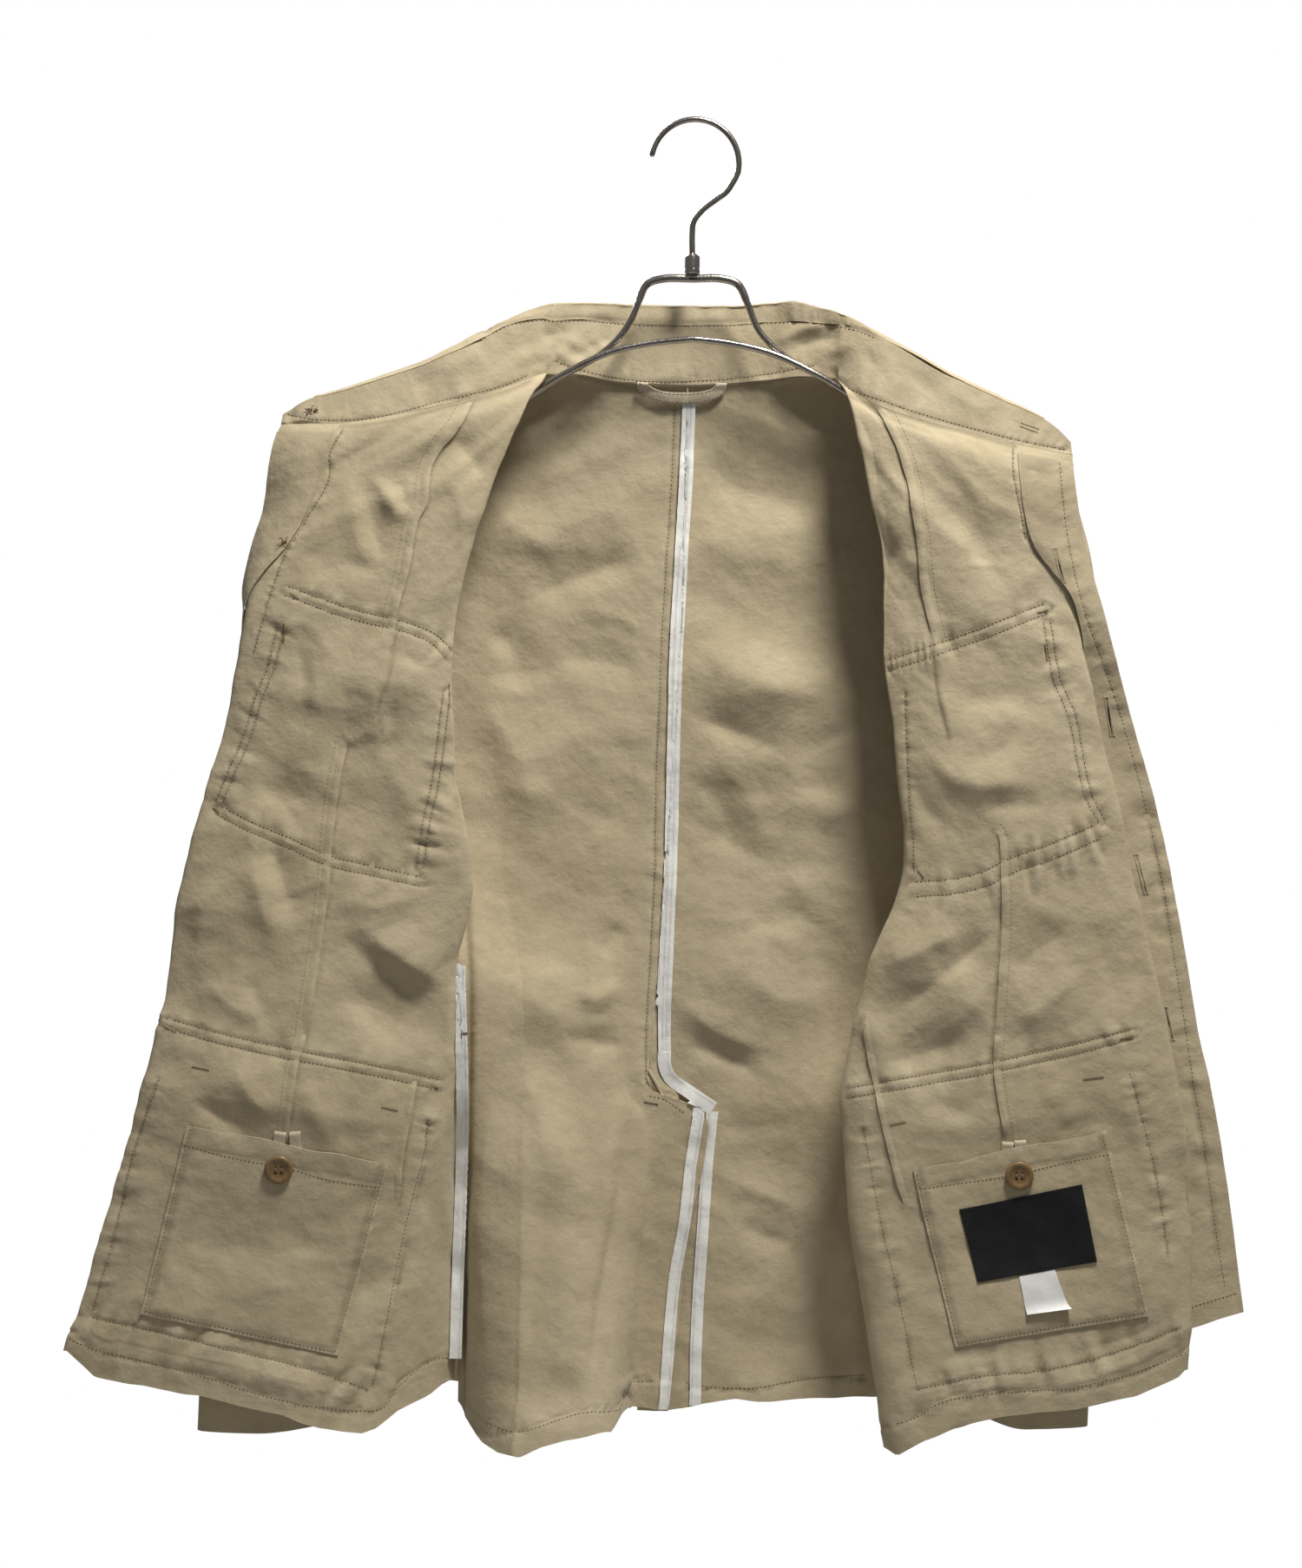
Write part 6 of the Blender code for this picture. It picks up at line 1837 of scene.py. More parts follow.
def cotton(name, base, light, dark, worn, wale=0.62 * MM, crinkle=1.0, lean=1.0, sheen=0.12):
    """Washed cotton twill: diagonal wales, slubs, soft mottling, worn ridges, and painted shade at
    stitch holes and the feet of folds.
    """
    made, nodes, links, shader = node_finish(name, base, 0.9)
    shader.inputs["Sheen Weight"].default_value = sheen
    shader.inputs["Sheen Roughness"].default_value = 0.5
    shader.inputs["Specular IOR Level"].default_value = 0.25
    place = nodes.new("ShaderNodeTexCoord").outputs["Object"]
    weave_place = nodes.new("ShaderNodeUVMap")
    weave_place.uv_map = "cloth"
    weave = weave_place.outputs["UV"]
    blotch = noise_node(nodes, links, place, 9.0, 4.0, 0.6)
    mottle = noise_node(nodes, links, place, 70.0, 4.0, 0.65)
    slub = noise_node(nodes, links, weave, 900.0, 2.0, 0.6, (0.12, 1.0, 1.0))
    colour = mixed(nodes, links, ranged(nodes, links, blotch, 0.35, 0.65, 0.0, 1.0), base, light)
    colour = mixed(nodes, links, ranged(nodes, links, mottle, 0.45, 0.75, 0.0, 0.35), colour, dark)
    colour = mixed(nodes, links, ranged(nodes, links, slub, 0.4, 0.8, 0.0, 0.22), colour, dark)
    grain = noise_node(nodes, links, place, 500.0, 3.0, 0.7)
    rub = product(nodes, links, attribute_node(nodes, "wear"),
                  ranged(nodes, links, grain, 0.35, 0.7, 0.1, 0.7))
    colour = mixed(nodes, links, rub, colour, worn)
    # The shade attribute mixes in a darker colour: painted shade at stitch holes and grooves, at the
    # feet of folds, under the collar's foot and on the placket's strip; on the tapes it marks their
    # darker thread rows.
    painted_shade_and_thread_colour = tuple(0.66 * value for value in dark)
    holes = ranged(nodes, links, attribute_node(nodes, "shade"), 0.0, 1.0, 0.0, 0.62)
    links.new(mixed(nodes, links, holes, colour, painted_shade_and_thread_colour), shader.inputs["Base Color"])
    links.new(ranged(nodes, links, mottle, 0.3, 0.7, 0.84, 0.97), shader.inputs["Roughness"])
    # The wave texture has 20 waves in 2 pi of its scaled width.
    wales = set_node(nodes, "TexWave", {
        "Scale": 1.0 / wale / 20.0 * 6.2832, "Distortion": 1.2, "Detail": 2.0, "Detail Scale": 1.5})
    turned = mapped(nodes, links, weave, {"Rotation": (0.0, 0.0, lean * WALE_TURN)})
    links.new(turned, wales.inputs["Vector"])
    woven = bump_node(nodes, links, wales.outputs["Fac"], 0.35, 0.12 * MM)
    creased = noise_node(nodes, links, place, 260.0, 5.0, 0.62)
    rough = bump_node(nodes, links, creased, 0.55 * crinkle, 0.5 * MM, woven)
    soft = noise_node(nodes, links, place, 95.0, 3.0, 0.55)
    links.new(bump_node(nodes, links, soft, 0.5 * crinkle, 1.8 * MM, rough), shader.inputs["Normal"])
    return made


def thread_finish(name, colour, dark):
    """Twisted sewing thread."""
    made, nodes, links, shader = node_finish(name, colour, 0.7)
    shader.inputs["Sheen Weight"].default_value = 0.2
    place = nodes.new("ShaderNodeTexCoord").outputs["Object"]
    twist = noise_node(nodes, links, place, 1500.0, 2.0, 0.5)
    links.new(mixed(nodes, links, ranged(nodes, links, twist, 0.3, 0.7, 0.0, 1.0), colour, dark),
              shader.inputs["Base Color"])
    return made


def horn_finish(name):
    """Brown button: cloudy, with a soft polish."""
    base, pale, deep = (0.165, 0.095, 0.034), (0.24, 0.148, 0.06), (0.08, 0.042, 0.017)
    made, nodes, links, shader = node_finish(name, base, 0.38)
    shader.inputs["Coat Weight"].default_value = 0.15
    place = nodes.new("ShaderNodeTexCoord").outputs["Object"]
    cloud = noise_node(nodes, links, place, 120.0, 4.0, 0.6)
    streak = noise_node(nodes, links, place, 420.0, 3.0, 0.6, (1.0, 0.3, 0.3))
    colour = mixed(nodes, links, ranged(nodes, links, cloud, 0.35, 0.65, 0.0, 0.7), base, pale)
    colour = mixed(nodes, links, ranged(nodes, links, streak, 0.5, 0.8, 0.0, 0.6), colour, deep)
    links.new(colour, shader.inputs["Base Color"])
    links.new(ranged(nodes, links, streak, 0.3, 0.7, 0.3, 0.5), shader.inputs["Roughness"])
    return made


def steel_finish(name):
    """Bright drawn steel wire with faint marks along it."""
    made, nodes, links, shader = node_finish(name, (0.46, 0.42, 0.375), 0.16, 1.0)
    place = nodes.new("ShaderNodeTexCoord").outputs["Object"]
    marks = noise_node(nodes, links, place, 900.0, 3.0, 0.6, (1.0, 1.0, 0.2))
    cloud = noise_node(nodes, links, place, 60.0, 3.0, 0.6)
    links.new(ranged(nodes, links, marks, 0.3, 0.7, 0.14, 0.30), shader.inputs["Roughness"])
    links.new(mixed(nodes, links, ranged(nodes, links, cloud, 0.35, 0.7, 0.0, 1.0),
                    (0.50, 0.46, 0.415), (0.38, 0.345, 0.305)), shader.inputs["Base Color"])
    links.new(bump_node(nodes, links, marks, 0.1, 0.05 * MM), shader.inputs["Normal"])
    return made


KHAKI = (0.470, 0.390, 0.252)
KHAKI_LIGHT = (0.505, 0.424, 0.282)
KHAKI_DARK = (0.330, 0.265, 0.162)
KHAKI_WORN = (0.62, 0.545, 0.40)

finishes = {
    "twill": cotton("khaki_twill", KHAKI, KHAKI_LIGHT, KHAKI_DARK, KHAKI_WORN),
    "twill_outer": cotton("khaki_twill_outer", KHAKI, KHAKI_LIGHT, KHAKI_DARK, KHAKI_WORN, lean=-1.0),
    "twill_loop": cotton("khaki_loop", (0.56, 0.485, 0.335), (0.60, 0.53, 0.385), (0.42, 0.345, 0.22),
                         (0.70, 0.63, 0.48)),
    "tape": cotton("cotton_tape", (0.87, 0.86, 0.81), (0.90, 0.895, 0.86), (0.68, 0.66, 0.60),
                   (0.93, 0.925, 0.90), 0.5 * MM, 0.7),
    "label": cotton("black_label", (0.012, 0.011, 0.012), (0.018, 0.017, 0.018), (0.006, 0.006, 0.007),
                    (0.03, 0.03, 0.03), 0.4 * MM, 0.3, 1.0, 0.02),
    "tag": cotton("white_tag", (0.80, 0.79, 0.77), (0.84, 0.83, 0.81), (0.70, 0.69, 0.67),
                  (0.88, 0.87, 0.86), 0.35 * MM, 0.3),
    # The khaki thread is darker than the cloth, whose colour the real thread has: its darkness is
    # painted shade of the stitch holes.
    "thread": thread_finish("khaki_thread_darkened_for_hole_shade", (0.30, 0.232, 0.128), (0.19, 0.142, 0.074)),
    "thread_light": thread_finish("light_thread", (0.56, 0.475, 0.33), (0.42, 0.34, 0.215)),
    "thread_tack": thread_finish("tack_thread", (0.36, 0.27, 0.125), (0.24, 0.17, 0.075)),
    "thread_brown": thread_finish("brown_thread", (0.20, 0.115, 0.04), (0.10, 0.055, 0.02)),
    "button": horn_finish("brown_button"),
    "steel": steel_finish("bright_steel"),
}


def whole_cloths(fine):
    made = {}
    for name in ("left", "right"):
        for kind, show in (("front", 1.0), ("back", 1.0), ("sleeve", -1.0), ("cuff", -1.0)):
            node = kind + "_" + name
            finish = finishes["twill_outer" if show < 0 else "twill"]
            made[node] = cloth_piece("cloth_" + node, fine[node], show, CLOTH, finish, (node,))
    for node in ("collar_stand", "collar_leaf"):
        made[node] = cloth_piece("cloth_" + node, fine[node], 1.0, CLOTH, finishes["twill"], (node,))
    return made


def outer_pieces(fine, made):
    """Pockets and flaps on the outer side, which the photo shows only by their stitching."""
    for name in ("left", "right"):
        front = fine["front_" + name]
        threads = Threads("stitches_outer_" + name)
        for kind, rows, layers in (
            ("chest_pocket", (7.0, 12.0, 61), 0), ("chest_flap", (6.0, 8.0, 25), 1),
            ("lower_pocket", (19.0, 25.0, 85), 0), ("lower_flap", (18.0, 20.0, 33), 1),
        ):
            node = kind + "_" + name
            columns = (5.0, 11.0, 61)
            mid, normal, flat = resampled(front, rows, columns)
            normal = unit(normal)
            lift = -(LAID_LIFT + layers * NEXT_LIFT)
            wave = noise_sheet(flat, 0.02, 601 + layers, 0.3, 1.4) * 0.15 * MM
            rise = mid + normal * (lift + wave)[..., None]
            made[node] = laid_piece("cloth_" + node, rise, -normal, PATCH, finishes["twill_outer"],
                                    (node,))
            low, high = rows[0], rows[1]
            near, far = columns[0] + 0.12, columns[1] - 0.12
            edge = lift - PATCH / 2.0
            outline = ((low + 0.1, near), (high - 0.1, near), (high - 0.1, far), (low + 0.1, far))
            ends = list(zip(outline, outline[1:]))
            if "flap" in kind:
                ends.append((outline[3], outline[0]))
            for a, b in ends:
                threads.hidden_row(front, (a, b), -edge)
        made["stitches_outer_" + name] = threads.make(finishes["thread"])
    return made


INNER_POCKETS = {
    "left": ((216, 1295), (447, 1341), (390, 1561), (163, 1513)),
    "right": ((1052, 1347), (1274, 1301), (1323, 1515), (1100, 1551)),
}
INNER_HEMS = {
    "left": ((212, 1318), (262, 1332), (330, 1345), (385, 1360), (440, 1367)),
    "right": ((1060, 1369), (1110, 1362), (1174, 1352), (1230, 1338), (1279, 1329)),
}


POCKET_ROWS, POCKET_COLUMNS = 81, 71
# The pocket's turned hem, as a share of its height, and how far its mouth waves, in points.
POCKET_HEM = 0.105
MOUTH_WAVE = 2.2


def inner_pockets(fine, made):
    """The patch pockets on the inner side, each with a raised mouth and a pressed, sewn rim."""
    for name, seed in (("left", 611), ("right", 621)):
        front = fine["front_" + name]
        spots = corner_grid(INNER_POCKETS[name], POCKET_ROWS, POCKET_COLUMNS)
        across = np.linspace(0.0, 1.0, POCKET_COLUMNS)
        wavy = noise_line(across * POCKET_COLUMNS, 9.0, seed) * MOUTH_WAVE
        spots[..., 1] += wavy[None, :] * np.linspace(1.0, 0.0, POCKET_ROWS)[:, None] ** 3
        mid, normal = picture_grid(((front, *FACE),), spots)
        flat = grid_flat(mid)
        down = np.linspace(0.0, 1.0, POCKET_ROWS)[:, None]
        side = np.minimum(across, 1.0 - across)[None, :]
        inset = np.minimum(side * POCKET_COLUMNS, (1 - down) * POCKET_ROWS)
        height = 0.35 * MM * noise_sheet(flat, 0.03, seed + 1, 0.5, 1.6)
        height += 0.18 * MM * noise_sheet(flat, 0.012, seed + 2, -0.6, 1.5)
        mouth = 0.4 + 0.6 * np.abs(wavy[None, :]) / MOUTH_WAVE
        height += 0.9 * MM * np.exp(-(down / 0.10) ** 2) * mouth
        rim = np.exp(-(inset / 1.6) ** 2)
        waves = noise_line(np.arange(POCKET_ROWS) * 1.0, 3.6, seed + 3)[:, None]
        height += 0.25 * MM * waves * np.exp(-(side * POCKET_COLUMNS / 5.0) ** 2)
        height -= 0.25 * MM * np.exp(-((down - POCKET_HEM) / 0.014) ** 2)
        waves = noise_line(np.arange(POCKET_COLUMNS) * 1.0, 3.4, seed + 4)[None, :]
        height += 0.35 * MM * waves * np.exp(-((down - 0.06) / 0.08) ** 2)
        height += 0.3 * MM * waves * np.exp(-((1.0 - down) / 0.07) ** 2)
        height -= 0.45 * MM * rim
        rise = mid + normal * (LAID_LIFT + height)[..., None]
        wear = np.clip(rim * 0.5 + np.exp(-(down / 0.02) ** 2), 0.0, 1.0)
        # Painted shade along the stitch rows inside the rim and along the hem row.
        shade = np.maximum(np.exp(-((inset - 2.4) / 1.1) ** 2),
                           np.exp(-((down - POCKET_HEM) / 0.012) ** 2))
        node = "inner_pocket_" + name
        made[node] = laid_piece("cloth_" + node, rise, normal, PATCH, finishes["twill"],
                                (node,), wear, shade=0.8 * shade)
        threads = Threads("stitches_inner_pocket_" + name)
        pocket = PieceSurface(rise, normal)
        top_left, top_right, foot_right, foot_left = shrink(INNER_POCKETS[name], 4.0)
        for path in ((top_left, foot_left), (foot_left, foot_right), (foot_right, top_right),
                     INNER_HEMS[name]):
            threads.row(pocket, path, (0, POCKET_COLUMNS - 1), PATCH / 2.0)
        made["stitches_" + node] = threads.make(finishes["thread"])
        made["surface_" + node] = pocket


def shrink(corners, amount):
    """Four corners moved towards their middle by an amount in picture points each way."""
    points = np.array(corners, dtype=float)
    centre = points.mean(axis=0)
    way = points - centre
    return [tuple(centre + w - np.sign(w) * amount) for w in way]


class PieceSurface(Fine):
    """A laid piece's own surface, for what is sewn or stitched on it."""

    def __init__(self, mid, normal, rows=None, columns=None):
        self.mid = mid
        self.normal = unit(normal)
        self.closed = False
        self.rows = np.arange(mid.shape[0], dtype=float) if rows is None else rows
        self.columns = np.arange(mid.shape[1], dtype=float) if columns is None else columns
        self.picture = seen(mid)
        self.flat = grid_flat(mid)
        self.height, self.wear, self.shade = (np.zeros(mid.shape[:2]) for _ in range(3))
        self.trees = {}


LABEL_CORNERS = ((1105, 1393), (1246, 1364), (1264, 1453), (1126, 1477))
TAG_CORNERS = ((1174, 1470), (1215, 1462), (1234, 1515), (1183, 1517))


def labels(made):
    """The dark woven patch, left blank, and the small white tag that shows below it."""
    pocket = made["surface_inner_pocket_right"]
    spots = corner_grid(LABEL_CORNERS, 29, 41)
    mid, normal = picture_grid(((pocket, 0, POCKET_COLUMNS - 1),), spots)
    flat = grid_flat(mid)
    height = 0.25 * MM * noise_sheet(flat, 0.014, 641, 0.4, 1.5)
    rise = mid + normal * (1.1 * MM + height)[..., None]
    made["label_patch"] = laid_piece("cloth_label_patch", rise, normal, LABEL, finishes["label"],
                                     ("label_patch",))
    surface = PieceSurface(rise, normal)
    threads = Threads("stitches_label")
    corners = shrink(LABEL_CORNERS, 3.0)
    for a, b in zip(corners, corners[1:] + corners[:1]):
        threads.row(surface, (a, b), (0, 40), LABEL / 2.0, pitch=2.2, width=0.4, height=0.12)
    made["stitches_label"] = threads.make(finishes["label"], "label")
    spots = corner_grid(TAG_CORNERS, 25, 17)
    mid, normal = picture_grid(((pocket, 0, POCKET_COLUMNS - 1),), spots)
    down = np.linspace(0.0, 1.0, 25)[:, None]
    across = np.linspace(0.0, 1.0, 17)[None, :]
    curl = np.clip((down - 0.62) / 0.38, 0.0, 1.0) ** 2
    height = 0.7 * MM + 4.2 * MM * curl * (0.55 + 0.45 * across) + 0.36 * MM * np.sin(down * 5.0)
    rise = mid + normal * height[..., None]
    rise[..., 2] += 5.0 * MM * curl * (0.4 + 0.6 * across)
    made["care_tag"] = laid_piece("cloth_care_tag", rise, normal, TAG, finishes["tag"],
                                  ("care_tag",))


def even_depth(mid, normal):
    """A strip's surface at one depth across, in front of what it bridges and smooth along it."""
    depth = mid[..., 1].min(axis=1)
    for _ in range(3):
        padded = np.concatenate([depth[:1], depth, depth[-1:]])
        depth = np.minimum(np.minimum(padded[:-2], padded[2:]), depth)
    for _ in range(10):
        padded = np.concatenate([depth[:1], depth, depth[-1:]])
        depth = (padded[:-2] + 2.0 * depth + padded[2:]) / 4.0
    return at_depth(mid, normal, np.broadcast_to(depth[:, None], mid.shape[:2]))


def soft_depth(mid, normal, rounds=60):
    """A patch's surface with its steps in depth smoothed out, to fill the gap at an opening's end."""
    depth = mid[..., 1].copy()
    for _ in range(rounds):
        wide = np.pad(depth, 1, mode="edge")
        depth = (wide[:-2, 1:-1] + wide[2:, 1:-1] + wide[1:-1, :-2] + wide[1:-1, 2:]) / 4.0
    return at_depth(mid, normal, depth)


def at_depth(mid, normal, depth):
    """Points moved along the camera's rays to given depths, and their nearly level normals."""
    share = (depth - CAMERA[1]) / (mid[..., 1] - CAMERA[1])
    level = np.array(CAMERA) + (mid - np.array(CAMERA)) * share[..., None]
    facing = unit(0.3 * unit(normal) + np.array((0.0, -1.0, 0.0)))
    return level, facing


def ribbon(name, path, half, surfaces, lift, nodes, seed, bridged, rows):
    """A tape laid along a picture path, its edges a little raised and wavy, with dark stitch rows."""
    step, cross = 3.0, 13
    line = smooth_path(path, step)
    across = np.linspace(-1.0, 1.0, cross)
    spots = np.stack([shifted(line, half * share) for share in across], axis=1)
    mid, normal = picture_grid(surfaces, spots)
    if bridged:
        mid, normal = even_depth(mid, normal)
    along = np.arange(len(line)) * step
    wave = (noise_line(along, 11.0, seed)[:, None] * 0.22
            + noise_line(along, 40.0, seed + 1)[:, None] * 0.3)
    height = lift + MM * (wave * np.abs(across)[None, :] + 0.12 * (1 - across[None, :] ** 2))
    rise = mid + normal * height[..., None]
    uneven = 0.8 + 0.5 * noise_line(along, 9.0, seed + 3)[:, None]
    shade = np.zeros((len(line), cross))
    for row in rows:
        shade = np.maximum(shade, np.exp(-((across * half - row) / 1.1) ** 2)[None, :] * uneven)
    item = laid_piece(name, rise, normal, TAPE, finishes["tape"], nodes,
                      shade=np.clip(shade, 0.0, 1.0))
    return item, PieceSurface(rise, normal)


CENTRE_TAPE = ((794, 462), (789, 573), (783, 675), (779, 759), (775, 900), (772, 1007), (768, 1104),
               (765, 1184), (765, 1216))
CENTRE_TAPE_TURN = ((765, 1212), (766, 1228), (774, 1243), (792, 1256), (822, 1276))
VENT_TAPE_LEFT = ((806, 1276), (804, 1290), (796, 1341), (789, 1406), (778, 1468), (772, 1529),
                  (766, 1623))
VENT_TAPE_RIGHT = ((821, 1280), (819, 1300), (813, 1366), (808, 1447), (803, 1529), (801, 1619))
SIDE_TAPE = ((529, 1112), (529, 1127), (531, 1190), (533, 1284), (530, 1406), (527, 1488), (525, 1564))


VENT_TOP_ROW = ((748, 1262), (765, 1266), (790, 1282))
# Pieces under the vent's top and the seam's foot: their corners in the picture.
VENT_STAY = ((742, 1196), (776, 1196), (806, 1272), (740, 1268))
VENT_FILLER = ((742, 1190), (780, 1190), (812, 1268), (742, 1264))
SEAM_STAY = ((763, 1030), (775, 1030), (769, 1200), (757, 1200))


def tapes(fine, made):
    """The seam tapes, the back's stitch rows and tacks, and what lies under the vent's top."""
    left = (fine["back_left"], *ALL_BACK)
    right = (fine["back_right"], *ALL_BACK)
    lift = LAID_LIFT - 0.3 * MM
    for name, path, half, surfaces, nodes, seed, rows in (
        ("tape_centre_back", CENTRE_TAPE, 7.6, (right, left), ("tape_centre_back",), 701, (-2.4, 2.6)),
        ("tape_centre_turn", CENTRE_TAPE_TURN, 7.6, (left, right), (), 702, (-4.0,)),
        ("tape_vent_left", VENT_TAPE_LEFT, 6.8, (left,), ("tape_vent_left",), 703, (-4.0,)),
        ("tape_vent_right", VENT_TAPE_RIGHT, 6.6, (right,), ("tape_vent_right",), 704, (3.6,)),
        ("tape_side_left", SIDE_TAPE, 7.4, (left, (fine["front_left"], 0.0, 3.0)),
         ("tape_side_left",), 705, (-4.5,)),
    ):
        raised = lift + (0.5 * MM if name == "tape_centre_back" else 0.0)
        bridged = name in ("tape_side_left", "tape_centre_turn")
        made[name], made["surface_" + name] = ribbon("cloth_" + name, path, half, surfaces, raised,
                                                     nodes, seed, bridged, rows)
    back = Threads("stitches_back")
    for path, surface in (
        (BACK_SEAMS[2][1], left), (BACK_SEAMS[0][1], left), (BACK_SEAMS[1][1], right),
        (VENT_TOP_ROW, left),
    ):
        back.row(surface[0], path, surface[1:], CLOTH / 2.0)
    made["stitches_back"] = back.make(finishes["thread"])
    mid, normal = picture_grid((left,), corner_grid(VENT_STAY, 31, 21))
    made["cloth_vent_stay"] = laid_piece("cloth_vent_stay", mid - normal * 1.3 * MM, normal, PATCH,
                                         finishes["twill"], ())
    mid, normal = soft_depth(*picture_grid((left, right), corner_grid(VENT_FILLER, 31, 31)))
    made["cloth_vent_filler"] = laid_piece("cloth_vent_filler", mid, normal, PATCH,
                                           finishes["twill"], ())
    mid, normal = picture_grid((left, right), corner_grid(SEAM_STAY, 61, 7))
    made["cloth_seam_stay"] = laid_piece("cloth_seam_stay", mid - normal * 1.2 * MM, normal, PATCH,
                                         finishes["twill_outer"], ())
    tacks = Threads("tacks_back")
    tacks.tack(left[0], (742, 1269), (758, 1272), left[1:], CLOTH / 2.0, 1.7)
    side = made["surface_tape_side_left"]
    tacks.tack(side, (523, 1191), (541, 1190), (0, 6), TAPE / 2.0, 2.4)
    made["tacks_back"] = tacks.make(finishes["thread_brown"])


def front_stitches(fine, made):
    for name, seams, tack_list in (
        ("left", LEFT_SEAMS, LEFT_TACKS), ("right", RIGHT_SEAMS, RIGHT_TACKS),
    ):
        front = fine["front_" + name]
        threads = Threads("stitches_front_" + name)
        for seam, points, offsets, _, _ in seams:
            span = OPEN_FRONT if seam == "hem" else FACE
            path = smooth_path(points, 4.0)
            for offset in offsets:
                threads.row(front, shifted(path, offset), span, CLOTH / 2.0)
        made["stitches_front_" + name] = threads.make(finishes["thread"])
        tacks = Threads("tacks_front_" + name)
        for a, b in tack_list:
            tacks.tack(front, a, b, FACE, CLOTH / 2.0, 2.2)
        made["tacks_front_" + name] = tacks.make(finishes["thread_tack"])


def tuck_stitches(fine, made):
    """The second stitch line beside each tuck, where its allowance is caught down."""
    threads = Threads("stitches_tucks")
    left, right = fine["front_left"], fine["front_right"]
    for front, path, offset in (
        (left, LEFT_TUCKS[0][0], 14), (left, LEFT_TUCKS[2][0], 13), (left, LEFT_TUCKS[3][0], 12),
        (right, RIGHT_TUCKS[1][0], 14), (right, RIGHT_TUCKS[2][0], 10), (right, RIGHT_TUCKS[3][0], 10),
    ):
        threads.row(front, shifted(smooth_path(path, 5.0), offset), FACE, CLOTH / 2.0, width=0.4,
                    height=0.12)
    made["stitches_tucks"] = threads.make(finishes["thread"])


def strip_grid(front, rows, columns):
    """The placket's middle surface; near the neck its inner edge lies further in."""
    mid = np.zeros((rows, columns, 3))
    normal = np.zeros((rows, columns, 3))
    for i, row in enumerate(np.linspace(1.0, 26.0, rows)):
        start = 12.15 + 0.85 * ramp(np.array(row), 4.6, 6.2)
        at_row = front.nearest(row, "rows")
        for j, column in enumerate(np.linspace(float(start), 16.0, columns)):
            at_column = front.nearest(column, "columns")
            mid[i, j] = front.at(at_row, at_column)
            normal[i, j] = front.at(at_row, at_column, "normal")
    return mid, normal, grid_flat(mid)


LEFT_LIPS = ((0, 11.0), (2, 11.0), (3, 10.0), (4, 9.0))
RIGHT_LIPS = ((1, 11.0), (2, 9.0), (3, 9.0), (4, 9.0))


def tuck_lips(fine, made):
    """The free folded edge of each tuck, which stands a little off the cloth."""
    for name, tucks, lips in (("left", LEFT_TUCKS, LEFT_LIPS), ("right", RIGHT_TUCKS, RIGHT_LIPS)):
        front = fine["front_" + name]
        for number, width in lips:
            line = smooth_path(tucks[number][0], 2.5)
            across = np.linspace(0.0, 1.0, 7)
            spots = np.stack([shifted(line, width * share - 0.5) for share in across], axis=1)
            mid, normal = picture_grid(((front, *FACE),), spots)
            along = np.linspace(0.0, 1.0, len(line))
            ends = np.clip(np.minimum(along, 1.0 - along) / 0.07, 0.0, 1.0)
            wave = 1.0 + 0.35 * noise_line(np.arange(len(line)) * 2.5, 17.0, 800 + number)
            height = (1.2 * MM * wave * ends)[:, None] * (1.0 - across ** 1.3)[None, :] - 0.15 * MM
            rise = mid + normal * height[..., None]
            key = "cloth_tuck_%s_%d" % (name, number + 1)
            wear = np.broadcast_to(np.exp(-(across / 0.18) ** 2)[None, :], rise.shape[:2])
            made[key] = laid_piece(key, rise, normal, 0.8 * MM, finishes["twill"], (),
                                   wear * 0.4)


STRIP_GRID = (281, 25)
STRIP_TOP_FOLD = ((1192, 535), (1208, 600), (1238, 690))


